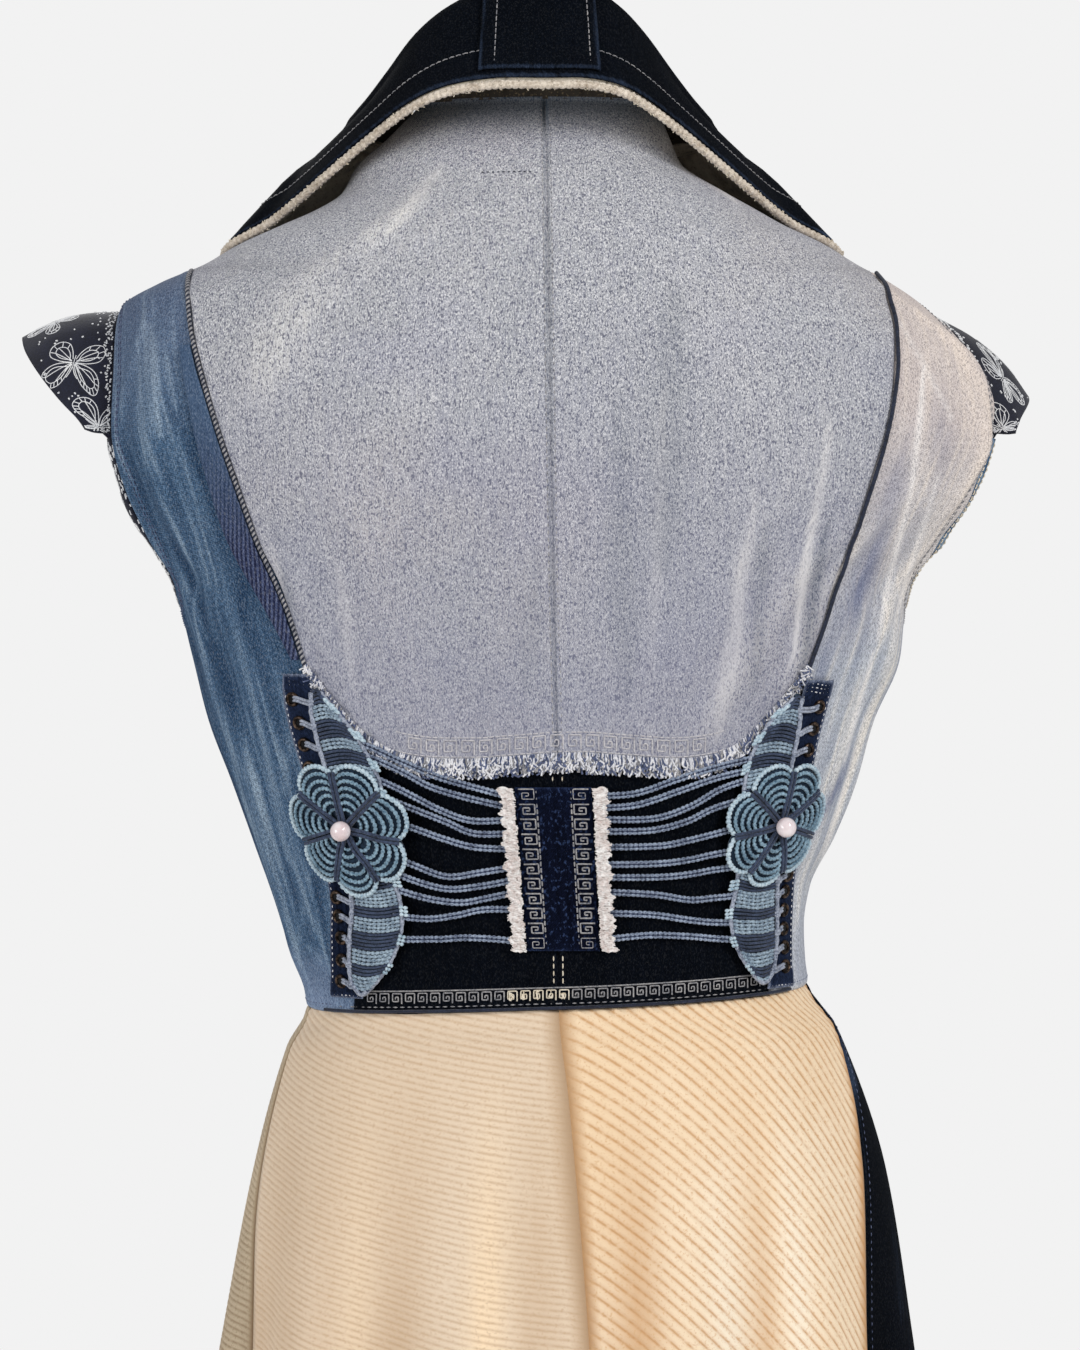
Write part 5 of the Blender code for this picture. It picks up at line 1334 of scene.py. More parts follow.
        # Painted highlights on the creases
        colour = tinged(tree, colour, mark(tree, "light"), 0.85, tint(255, 250, 246))
        return self.specked(tree, place, colour, 0.56, 0.6)

    def dark_denim(self, tree, place, colour):
        return self.specked(tree, place, colour, 0.5, 0.05)

    def panel_denim(self, tree, place, colour):
        specks = ramp(tree, streaky(tree, place, (620.0, 620.0, 420.0), 2.0, 0.6), 0.56, 0.7)
        return tinged(tree, colour, specks, 0.6, tint(60, 78, 118))

    def ribbed(self, name, shades, depth, follows=None):
        """Ribbed knit: grooves between raised ribs, with painted shade in the grooves and folds and painted
        light on the folds, specked with a darker yarn.
        """
        ground, bright, groove, specks, lit = self.toned(follows, shades)
        made, tree, shader = self.start(name, 0.9, 0.1, 0.1)
        place = object_place(tree)
        colour = blend_colours(tree, ramp(tree, noise(tree, place, 7.0), 0.35, 0.65), ground, bright)
        # Painted shade in the skirt's folds and on the collar's underside
        colour = blend_colours(tree, mark(tree, "shade"), colour, groove)
        # Painted light on the skirt's folds
        colour = blend_colours(tree, mark(tree, "glow"), colour, lit)
        fine = noise(tree, place, 760.0, 2.0, 0.7)
        colour = tinged(tree, colour, ramp(tree, fine, 0.57, 0.68), 0.55, specks)
        uneven = ramp(tree, noise(tree, place, 240.0, 2.0, 0.6), 0.2, 0.55)
        # Painted shade in the grooves between the ribs
        colour = tinged(tree, colour, calc(tree, "MULTIPLY", mark(tree, "groove"), uneven), depth, groove)
        tree.links.new(colour, shader.inputs["Base Color"])
        self.bumped(tree, shader, fine, 0.0005, 0.5)
        return made

    def spun(self, name, shades, follows=None, rough=0.8, bump=0.0004, scale=900.0):
        """Mottled cord, thread or plain cloth."""
        deep, pale = self.toned(follows, shades)
        made, tree, shader = self.start(name, rough, 0.2)
        node = put(tree, "ShaderNodeGroup", {0: object_place(tree), 1: scale}, node_tree=self.thread)
        colour = blend_colours(tree, node.outputs["Tone"], deep, pale)
        tree.links.new(colour, shader.inputs["Base Color"])
        self.bumped(tree, shader, node.outputs["Height"], bump, 0.8)
        return made

    def clouded(self, name, rough, grain, low, high, first, second):
        """A finish that drifts between two shades."""
        made, tree, shader = self.start(name, rough)
        cloud = ramp(tree, noise(tree, object_place(tree), *grain), low, high)
        tree.links.new(blend_colours(tree, cloud, tint(*first), tint(*second)), shader.inputs["Base Color"])
        return made, tree, shader, cloud

    def brass(self):
        made, tree, shader, worn = self.clouded(
            "Antique brass", 0.38, (420.0, 3.0, 0.6), 0.42, 0.68, (26, 21, 20), (104, 86, 74))
        shader.inputs["Metallic"].default_value = 0.85
        tree.links.new(calc(tree, "MULTIPLY_ADD", worn, -0.15, 0.5), shader.inputs["Roughness"])
        return made

    def bead(self):
        made, _, shader, _ = self.clouded(
            "Pearly bead", 0.22, (160.0,), 0.35, 0.7, (226, 206, 208), (246, 236, 238))
        shader.inputs["Coat Weight"].default_value = 0.5
        shader.inputs["Specular IOR Level"].default_value = 0.5
        return made

    def floor(self):
        return self.clouded("Pale floor", 0.9, (3.0,), 0.0, 1.0, (236, 236, 236), (240, 240, 240))[0]


# Surfaces of the collar and the sleeves

COLLAR_BACK_ROWS = [dict(zip(COLLAR_COLUMNS, row)) for row in COLLAR_BACK]
COLLAR_FRONT_ROWS = [dict(zip(COLLAR_FRONT_COLUMNS, row)) for row in COLLAR_FRONT]


def bulge_of(seam, roll, edge):
    """How far the fall of the collar bellies out halfway between its roll and its edge."""
    across = unit(edge - seam)
    rise = (roll - seam) - across * ((roll - seam) @ across)
    return unit(rise) * FALL_BELLY


def collar_station(side, index):
    """Seam, roll, middle of the fall and free edge of the collar at one row of its tables."""
    if index < len(COLLAR_BACK_ROWS):
        row = COLLAR_BACK_ROWS[index]
        height = row["seam_height"]
        angle = row["seam_angle"] if height >= NECK else float(NECK_ANGLE(height))
        seam = on_cloth(side * angle, height, BACK_SEAM_LIFT if angle < 60 else SEAM_LIFT)
        middle = CENTRE_X(NECK) + (COLLAR_MIDDLE - CENTRE_X(NECK)) * ease(row["edge_out"] / 70)
        roll = np.array((middle + side * row["roll_out"], row["roll_back"], row["roll_height"]))
        edge = np.array((middle + side * row["edge_out"], row["edge_back"], row["edge_height"]))
        if row["on_shoulder"]:
            edge = on_cloth(side * 92, -27, COLLAR_CLEAR)
        return seam, roll, (roll + edge) / 2 + bulge_of(seam, roll, edge), edge
    row = COLLAR_FRONT_ROWS[index - len(COLLAR_BACK_ROWS)]
    height = row["seam_height"]
    place = np.array((side * float(NECK_ANGLE(height)), height))
    seam = on_cloth(*place, SEAM_LIFT)
    roll = on_cloth(place[0] - side * 0.6, height, row["roll_lift"])
    level = row["edge_height"]
    out = side * row["edge_share"] * float((LEFT if side > 0 else RIGHT)(level))
    end = np.array((float(angle_of(out, level, front=True)), level))
    middle = on_cloth(*(place + (end - place) * 0.55), COLLAR_CLEAR + 2.0)
    return seam, roll, middle, on_cloth(*end, COLLAR_CLEAR)


class Collar:
    """The collar as a surface: station 0 at the middle back, share 0 at the seam, 1 at the edge."""

    def __init__(self):
        self.last = len(COLLAR_BACK_ROWS) + len(COLLAR_FRONT_ROWS) - 1
        lines = [collar_station(-1, i) for i in range(self.last, 0, -1)]
        lines.append([(a + b) / 2 for a, b in zip(collar_station(1, 0), collar_station(-1, 0))])
        lines += [collar_station(1, i) for i in range(1, self.last + 1)]
        self.lines = [np.array([line[k] for line in lines]) for k in range(4)]

    def point(self, station, share):
        shape = np.shape(station)
        station, share = np.ravel(station), np.ravel(share)
        seam, roll, belly, edge = (through(line, station + self.last) for line in self.lines)
        across = unit(edge - seam)
        top = roll - seam
        rise = top - across * (top * across).sum(-1)[:, None]
        bend = np.minimum(ROLL_BEND, 0.48 * length_of(rise))[:, None]
        rise = unit(rise)
        before = roll - across * bend - rise * bend * 0.8
        after = roll + across * bend - rise * bend * 0.8
        knots = np.stack((seam, (seam + before) / 2 + rise * 0.8, before, roll, after, belly, edge))
        return through_each(knots, share * 6).reshape(shape + (3,))

    def at(self, station, share, lift=0.0):
        station, share = np.asarray(station, float), np.asarray(share, float)
        low, high = np.maximum(share - 0.02, 0), np.minimum(share + 0.02, 1)
        left, right = np.minimum(station + 0.1, self.last), np.maximum(station - 0.1, -self.last)
        down = self.point(station, high) - self.point(station, low)
        run = self.point(left, share) - self.point(right, share)
        normal = unit(np.cross(run, down))
        return self.point(station, share) + normal * np.asarray(lift, float)[..., None]

    def gap(self, station):
        """Half the space between the collar's two layers, wider down the front."""
        return COLLAR_GAP * (1 + 2.9 * ease((np.abs(station) - 7) / 3))

    def layer(self, way, low=0.0, high=1.0, reach=None):
        """A surface over shares of the collar's length and depth, on one of its sides."""
        reach = reach or self.last

        def surface(u, v, rise):
            station = (2 * u - 1) * reach
            share = low + (high - low) * v
            wall = COLLAR_WALL if way > 0 else UNDER_WALL
            return self.at(station, share, way * (self.gap(station) + wall + rise))

        return surface


def edge_frames(side, line):
    """Points along an armhole edge, the way out of the cloth and the way into the opening."""
    points, normal, _, _ = frames(line[:, 0], line[:, 1])
    run = np.gradient(points, axis=0)
    out = unit(np.cross(normal, run))
    opening = np.array((side * 235.0, 0.0, -140.0))
    turned = ((opening - points) * out).sum(-1) < 0
    return points, normal, np.where(turned[:, None], -out, out)


class Sleeve:
    """A cap sleeve as a surface: station 0 at the back of the armhole, reach 1 at its edge."""

    def __init__(self, side):
        back = armhole_line(side, "back")[:CAP_ROWS]
        front = armhole_line(side, "front")[1:CAP_ROWS]
        line = np.concatenate((back[::-1], front))
        rows = LEFT_CAP if side > 0 else RIGHT_CAP
        tips = [np.array((side * out, deep, height)) for out, deep, height in rows]
        edge = np.array(tips[::-1] + [tip * (1, -1, 1) for tip in tips[1:]])
        points, normal, out = edge_frames(side, line)
        root = points + out * 0.6
        span = edge - root
        reach = length_of(span)[:, None]
        face = unit(normal - span * (normal * span).sum(-1)[:, None] / (reach * reach))
        arch = 0.07 * reach
        self.spines = np.stack(
            (root, root + span * 0.35 + face * arch, root + span * 0.7 + face * arch, edge), axis=1
        )
        self.faces = face
        self.last = len(line) - 1

    def point(self, station, reach):
        station, reach = np.ravel(station), np.ravel(reach)
        spine = through(self.spines.reshape(len(self.spines), 12), station).reshape(-1, 4, 3)
        point = through_each(spine.transpose(1, 0, 2), reach * 3)
        fold = 0.7 * np.sin(station * 2.3 + reach * 2.0) * ease(reach * 1.4)
        return point + through(self.faces, station) * fold[:, None]

    def at(self, station, reach, lift=0.0):
        station, reach = np.asarray(station, float), np.asarray(reach, float)
        lift = np.broadcast_to(lift, station.shape)
        shape = station.shape
        s, r = np.ravel(station), np.ravel(reach)
        run = self.point(np.minimum(s + 0.1, self.last), r) - self.point(np.maximum(s - 0.1, 0), r)
        out = self.point(s, np.minimum(r + 0.04, 1)) - self.point(s, np.maximum(r - 0.04, 0))
        normal = unit(np.cross(run, out))
        face = through(self.faces, s)
        normal = normal * np.sign((normal * face).sum(-1))[:, None]
        return (self.point(s, r) + normal * np.ravel(lift)[:, None]).reshape(shape + (3,))

    def surface(self, u, v, rise):
        return self.at(u * self.last, v, rise)


# Marks on the cloth

def streaked(streaks, points):
    """How deep a place lies in the drawn streaks of the back."""
    x, z = points[:, 0], points[:, 2]
    depth = np.zeros(len(x))
    for x0, z0, x1, z1, spread, strength in streaks:
        ax, az = x1 - x0, z1 - z0
        t = np.clip(((x - x0) * ax + (z - z0) * az) / (ax * ax + az * az), 0, 1)
        off = np.hypot(x - x0 - ax * t, z - z0 - az * t)
        width = spread * STREAK_WIDTH * (0.35 + 0.65 * np.sin(pi * t))
        depth = np.maximum(depth, strength * swell(off, width) * (points[:, 1] > 0))
    return depth


def angle_at(points, middle=0.0):
    """The angle at which points of the cloth lie, with the back behind this depth."""
    x, y, z = points.T
    half = np.where(x >= 0, LEFT(z), RIGHT(z))
    angle = np.degrees(np.arcsin(np.minimum(np.abs(x) / half, 1) ** (SQUARENESS / 2)))
    return np.where(y > middle, angle, 180 - angle) * np.sign(x)


def ridge_of(points):
    """Where the cloth stands proud, from -1 to 1."""
    height = points[:, 2]
    return np.clip(relief(angle_at(points, RIDGE(height)), height) / FULL_RIDGE, -1, 1)


def torso_marks(streaks=(), fine=0):
    """Wear along the creases, the washed streaks of a panel and many fine ones along it, deep blue patches,
    and painted highlights on the right side panel's creases.
    """

    def marks(u, v, lengths, points):
        x, z = points[:, 0], points[:, 2]
        wear = STREAK_DEPTH * streaked(streaks, points)
        random = np.random.default_rng(SEED + fine)
        whole = lengths[0] + lengths[1]
        for _ in range(fine):
            start, run = random.uniform(-0.1, 0.8), random.uniform(0.12, 0.42)
            share, lean = random.uniform(0.04, 0.97), random.uniform(-0.05, 0.05)
            spread, strength = random.uniform(0.9, 2.6), random.uniform(0.2, 0.75)
            t = (v - start) / run
            off = lengths[0] - (share + lean * t) * whole
            within = np.sin(pi * np.clip(t, 0, 1)) ** 0.7
            wear = np.maximum(wear, strength * within * swell(off, spread))
        edge = np.minimum.reduce(lengths)
        dusk = sum(strength * swell(np.hypot((x - a - lean * (z - b)) / wide, (z - b) / tall), 1.0)
                   for a, b, wide, tall, lean, strength in DUSK_SPOTS)
        # The light mark is painted highlights on the right side panel's creases
        return {"wear": np.clip(wear + 0.35 * swell(edge - 1.2, 1.4), 0, 1), "ridge": ridge_of(points),
                "dusk": np.clip(dusk * (points[:, 1] > 0), 0, 1), "light": streaked(RIGHT_LIGHTS, points)}

    return marks


def edge_marks(strength, spread, ends_only=False):
    """Wear along a piece's edges, or along its top and bottom only."""

    def marks(u, v, lengths, points):
        wear = strength * swell(np.minimum.reduce(lengths[2:] if ends_only else lengths), spread)
        return {"wear": wear, "ridge": 0 * wear}

    return marks


# The garment's sizes and colours

def size_property(name, description, default):
    return bpy.props.FloatProperty(name=name, description=description, default=default, unit="LENGTH")


class VestSizes(bpy.types.PropertyGroup):
    """Sizes that a user would change."""

    cloth: size_property("Cloth", "Thickness of the denim", 0.0013)
    rib_pitch: size_property("Rib pitch", "Distance between the ribs of the skirt's right half", 0.0049)
    fine_rib_pitch: size_property("Fine rib pitch", "Distance between the ribs of its left half", 0.0034)
    sennit_width: size_property("Braid width", "Width of the flat braids across the back", 0.0037)
    knot_pitch: size_property("Knot pitch", "Distance between knots on a braid", 0.0024)
    fringe: size_property("Fringe", "Longest thread of the grey back's raw edge", 0.014)


MAIN_COLOURS = {
    "grey": tint(198, 198, 203),
    "blue": tint(90, 120, 152),
    "beige": tint(208, 212, 220),
    "dark": tint(9, 15, 25),
    "cream": tint(244, 216, 180),
    "tan": tint(188, 170, 144),
    "cord": tint(70, 84, 112),
    "petal": tint(156, 186, 204),
    "fray": tint(255, 254, 252),
    "backdrop": tint(242, 242, 242),
}


def colour_property(key, name, description):
    return bpy.props.FloatVectorProperty(
        name=name, description=description, subtype="COLOR", size=4, min=0, max=1, default=MAIN_COLOURS[key]
    )


class VestColours(bpy.types.PropertyGroup):
    """Colours that a user would change."""

    grey: colour_property("grey", "Grey denim", "Colour of the back")
    blue: colour_property("blue", "Blue denim", "Colour of the left side and the fronts")
    beige: colour_property("beige", "Beige denim", "Colour of the right side")
    dark: colour_property("dark", "Dark denim", "Colour of the waist, the collar and the skirt's fronts")
    cream: colour_property("cream", "Cream knit", "Colour of the skirt's back")
    tan: colour_property("tan", "Tan knit", "Colour of the skirt's left side")
    cord: colour_property("cord", "Dark cord", "Colour of the wings' bars and the petals' spokes")
    petal: colour_property("petal", "Petal cord", "Colour of the flowers")
    fray: colour_property("fray", "Torn cloth", "Colour of the frayed strips")
    backdrop: colour_property("backdrop", "Backdrop", "Colour of the air behind the garment")


def sizes():
    return bpy.context.scene.vest_sizes


FINISHES = []


def finish(name):
    """The finish of this name, from one set made for the scene."""
    if not FINISHES:
        FINISHES.append(Finishes(bpy.context.scene.vest_colours))
    return FINISHES[0].get(name)


def panel_surface(place_at):
    """The surface of a panel of the body, from its places."""

    def surface(u, v, rise):
        return on_cloth(*place_at(np.asarray(u, float), np.asarray(v, float)), rise)

    return surface


def raised(surface, base):
    """The same surface, this much further out."""
    return lambda u, v, rise: surface(u, v, rise + base)


def tucked(place_at):
    """The neck edge runs on a little, up into the collar seam."""

    def run_on(u, v):
        angle, height = place_at(u, v)
        return angle, height + NECK_TUCK * (1 - ease(v / NECK_TUCK_REACH))

    return run_on


class VEST_OT_torso(bpy.types.Operator):
    """Drapes the grey back, the side panels, the fronts and the waist band"""

    bl_idname = "vest.torso"
    bl_label = "Torso"

    def execute(self, context):
        for side, word in SIDES:
            hem = hem_line(side)
            top_seam = seam_place(side, SEAM_HEIGHTS)
            side_line = ridge_line(side, SIDE_HEIGHTS)
            shoulder = ridge_line(side, np.linspace(RIDGE_HEIGHTS[0], TIP_HEIGHTS[-1], 30))
            streaks, tone = (LEFT_STREAKS, "blue_denim") if side > 0 else (RIGHT_STREAKS, "right_denim")
            outer = np.concatenate((ridge_line(side, RIDGE_HEIGHTS), top_seam))
            self.panel(
                f"grey_back_{word}", tucked(panel_between(centre_place(CENTRE_HEIGHTS), outer, foot=hem)),
                (66, 96), "grey_denim", "grey_denim", f"back_{word}", [f"front_{word}", f"side_panel_{word}"],
                edges=(sewn, sewn, raw, raw), marks=self.shaded,
                lift=lambda u, v, lengths: 1.0 - ease(lengths[2] / 4.0))
            inner = np.concatenate((ridge_line(side, RIDGE_HEIGHTS[-1:]), top_seam,
                                    seam_place(side, BAND_HEIGHTS[1:])))
            outer = np.concatenate((armhole_line(side, "back"), side_line))
            self.panel(
                f"side_panel_{word}", panel_between(inner, outer), (64, 118), tone,
                "blue_denim" if side > 0 else "beige_denim", f"side_back_{word}",
                [f"grey_back_{word}", f"front_{word}"], marks=torso_marks(streaks, 64 - 20 * side), grain=0.5)
            outer = np.concatenate((armhole_line(side, "front"), side_line))
            self.panel(
                f"front_panel_{word}",
                panel_between(neck_line(side, FRONT_HEIGHTS), outer, head=shoulder, bend_rows=2),
                (48, 80), "blue_denim", "blue_denim", f"front_{word}",
                [f"grey_back_{word}", f"side_panel_{word}"],
                edges=(hemmed, sewn, sewn, sewn), marks=torso_marks())
            inner = centre_place(np.linspace(hem[0][1], WAIST, len(BAND_HEIGHTS)))
            self.panel(
                f"waist_band_{word}", panel_between(inner, seam_place(side, BAND_HEIGHTS), head=hem),
                (36, 40), "dark_denim", "dark_denim", f"back_band_{word}",
                [f"side_panel_{word}", f"grey_back_{word}"],
                edges=(sewn, sewn, raw, sewn), marks=torso_marks())
        return {"FINISHED"}

    def panel(self, name, place_at, grid, tone, slot, node, rests_on, **looks):
        """Drapes one panel of the body, with looks passed on to its cloth."""
        piece = cloth(name, panel_surface(place_at), *grid, finish(tone), thick=sizes().cloth / MM, **looks)
        dress(piece, slot, node)
        declare(piece)

    def shaded(self, u, v, lengths, points):
        """The grey back darkens with painted shade under the collar and beside its creases, and along its
        middle seam; its creases get painted highlights.
        """
        ridge = ridge_of(points)
        # Painted shade under the collar
        dusk = 0.72 * ease((points[:, 2] - 22) / 22) * ease((92 - np.abs(points[:, 0])) / 20)
        # Painted highlights on the creases and painted shadows beside them
        light, dark = streaked(GREY_LIGHTS, points), streaked(GREY_DARKS, points)
        seam = 0.34 * swell(lengths[0] - 0.9, 0.6)
        # The wear mark here carries the painted crease highlights as well as wear on the ridges
        return {"wear": np.clip(ridge * 0.6 + light, 0, 1), "ridge": ridge,
                "dusk": np.clip(dusk + 0.5 * dark + seam, 0, 0.9), "light": light}


class VEST_OT_skirt(bpy.types.Operator):
    """Drapes the ribbed and plain panels of the skirt"""

    bl_idname = "vest.skirt"
    bl_label = "Skirt"

    def execute(self, context):
        pitch, fine = sizes().rib_pitch / MM, sizes().fine_rib_pitch / MM
        cream_left, tan, cream_right = (curve(rows) for rows in (CREAM_LEFT_SEAM, TAN_SEAM, CREAM_RIGHT_SEAM))
        # Node, seams, finish, slot, then the ribs' pitch, slope, rows of the grid, columns and depth
        panels = (
            ("skirt_back_left", self.centre, cream_left, "rose_rib", "cream_rib", fine, -0.24, 3, 34, 0.5),
            ("skirt_back_right", self.centre, cream_right, "cream_rib", "cream_rib",
             pitch, 0.98, 5, 36, 0.62),
            ("skirt_side_left", cream_left, tan, "tan_rib", "tan_rib", fine, -0.12, 3, 26, 0.42),
        )
        for node, start, end, tone, slot, rib, slope, samples, columns, rise in panels:
            surface = panel_surface(self.places(start, end))
            ribs = Ribs(Pattern(surface), rib, slope, samples)
            piece = cloth(f"{node}_cloth", surface, columns, 0, finish(tone), (sewn, sewn, sewn, hemmed),
                          lift=self.grooves(ribs, rise), thick=1.5, ribs=ribs,
                          marks=self.rib_marks(ribs, node == "skirt_back_right"))
            dress(piece, slot, node)
            declare(piece)
        for node, start, side in (("skirt_front_left", tan, 1), ("skirt_front_right", cream_right, -1)):
            surface = panel_surface(self.places(start, lambda height, side=side: side * NECK_ANGLE(height)))
            piece = cloth(f"{node}_cloth", surface, 50, 84, finish("dark_denim"),
                          (sewn, hemmed, sewn, hemmed), thick=1.3, marks=self.front_marks)
            dress(piece, "dark_denim", node)
            declare(piece)
        return {"FINISHED"}

    def grooves(self, ribs, rise):
        """The lift of a ribbed panel, with its ribs pressed flat beside the seams."""

        def lift(u, v, lengths):
            seam = np.minimum(lengths[0], lengths[1])
            return -rise * ribs.groove(u, v) ** 5 * ease(seam / 4)

        return lift

    def rib_marks(self, ribs, turned_edge):
        """The painted shade and light of a ribbed panel, in its grooves and folds, with or without the
        painted shadow of a turned edge beside the dark front.
        """

        def marks(u, v, lengths, points):
            seam = np.minimum(lengths[0], lengths[1])
            shade = self.shade(points) + (self.fold(lengths, points) if turned_edge else 0)
            shade = shade + self.band(points, SKIRT_DARKS) + 0.75 * swell(lengths[0], 0.9)
            # The groove mark is painted shade in the grooves
            return {"groove": ribs.groove(u, v) ** 9 * ease(seam / 5), "shade": np.clip(shade, 0, 0.85),
                    # Painted light on the folds
                    "glow": np.clip(self.band(points, SKIRT_LIGHTS), 0, 1)}

        return marks

    def front_marks(self, u, v, lengths, points):
        """The dark fronts, with the washed corner behind the right hip."""
        marks = torso_marks()(u, v, lengths, points)
        corner = swell(points[:, 2] + 462, 13) * ease((16 - lengths[0]) / 8) * (points[:, 0] < 0)
        return {"wear": np.clip(marks["wear"] + 0.9 * corner, 0, 1), "ridge": 0.45 * marks["ridge"]}

    def fold(self, lengths, points):
        """The tan shadow of the turned edge beside the dark front."""
        return 0.8 * (1 - ease((lengths[1] - 4.0) / 5.0)) * ease((-330 - points[:, 2]) / 120)

    def band(self, points, bands):
        """Soft painted bands of light and shade down the folds."""
        x, z = points[:, 0], points[:, 2]
        total = np.zeros(len(x))
        for x0, z0, x1, z1, spread, strength in bands:
            t = (z - z0) / (z1 - z0)
            off = x - x0 - (x1 - x0) * t
            ends = ease(t / 0.3) * ease((1 - t) / 0.15)
            total += strength * ends * swell(off, spread) * (points[:, 1] > 0)
        return total

    def shade(self, points):
        """Warm shading deep in the folds."""
        return np.clip(-relief(angle_at(points), points[:, 2]) / 14, 0, 0.5)

    def centre(self, height):
        return angle_of(CENTRE_X(height), height)

    def places(self, start, end):
        def place_at(u, v):
            height = WAIST + (HEM - WAIST) * v
            first, second = start(height), end(height)
            return first + (second - first) * u, height

        return place_at


class VEST_OT_collar(bpy.types.Operator):
    """Makes the collar, its ribbed underside, its frayed trim and the strip over its middle"""

    bl_idname = "vest.collar"
    bl_label = "Collar"

    def execute(self, context):
        collar = Collar()
        top = cloth("collar_cloth", collar.layer(1), 180, 30, finish("dark_denim"),
                    (hemmed, hemmed, raw, hemmed), marks=self.marks)
        dress(top, "dark_denim", "collar")
        declare(top)
        under = cloth("collar_under_rib", collar.layer(-1), 360, 20, finish("collar_rib"), RAW,
                      lift=self.ribs, thick=1.0, marks=self.rib_marks, pack=False)
        dress(under, "cream_rib", "under_collar")
        declare(under)
        width = collar.lines[1][collar.last + 1][0] - collar.lines[1][collar.last][0]
        strip_surface = raised(collar.layer(1, 0.17, 0.97, COLLAR_STRIP_HALF_WIDTH / width),
                               COLLAR_STRIP_LIFT + COLLAR_STRIP_WALL)
        strip = cloth("collar_middle_strip", strip_surface, 20, 30, finish("dark_denim"), HEMMED, thick=1.0,
                      marks=self.marks)
        dress(strip, "dark_denim", "collar_strip")
        declare(strip)
        self.trim(collar)
        runs = stitches(collar.layer(1), np.linspace((0.004, 0.9), (0.996, 0.9), 120), length=2.8, gap=0.9)
        for across in (0.10, 0.88):
            runs += stitches(raised(strip_surface, 0.45), np.linspace((across, 0.02), (across, 0.98), 20))
        cords("collar_topstitching", runs, THREAD_RADIUS * 0.8, "grey_thread", "dark_denim")
        return {"FINISHED"}

    def marks(self, u, v, lengths, points):
        """Worn edges, and a washed tip at the end of the right shoulder."""
        wear = 0.5 * swell(np.minimum.reduce(lengths) - 1.0, 1.4)
        tip = 0.75 * swell(points[:, 0] + 148, 10) * swell(points[:, 2] + 24, 9) * (points[:, 1] > 0)
        return {"wear": np.clip(wear + tip, 0, 1), "ridge": 0 * wear}

    def wave(self, lengths):
        return np.abs(np.sin(pi * lengths[0] / COLLAR_RIB_PITCH))

    def ribs(self, u, v, lengths):
        return 0.35 * self.wave(lengths) - 0.35

    def rib_marks(self, u, v, lengths, points):
        # Painted shade on the underside, darker towards its seam at the back and in the grooves between its
        # ribs
        shade = 0.95 * ease((0.66 - v) / 0.5) * (points[:, 1] > 0)
        return {"groove": (1 - self.wave(lengths)) ** 4, "shade": shade}

    def trim(self, collar):
        """A rolled ribbed edge with threads that stand out of it."""
        random = np.random.default_rng(SEED)
        stations = np.linspace(-collar.last, collar.last, 2000)
        edge = collar.at(stations, 1 + 0 * stations)
        out = unit(edge - collar.at(stations, 0.9 + 0 * stations))
        face = collar.at(stations, 1 + 0 * stations, 1) - edge
        core = edge + out * (TRIM_RADIUS + 1.2) + face * 0.4
        run = run_of(core)
        girth = 0.74 + 0.3 * np.abs(np.sin(pi * run / 3.4)) ** 0.7
        cords("collar_trim_roll", [core], TRIM_RADIUS, "trim_rib", "cream_fray", CORD, [girth], "collar_trim")
        runs = []
        for at in np.sort(random.uniform(0, run[-1], 900)):
            i = min(int(np.searchsorted(run, at)), len(run) - 2)
            turn = random.uniform(-1.9, 1.9)
            way = out[i] * cos(turn) + face[i] * sin(turn)
            slide = unit(core[i + 1] - core[i]) * random.uniform(-1.6, 1.6)
            foot = core[i] + way * TRIM_RADIUS * 0.6
            tip = core[i] + way * (TRIM_RADIUS + random.uniform(0.1, 0.8)) + slide
            runs.append([foot, (foot + tip) / 2 + way * 0.5, tip])
        cords("collar_trim_threads", runs, 0.28, "cream_thread", "cream_fray")


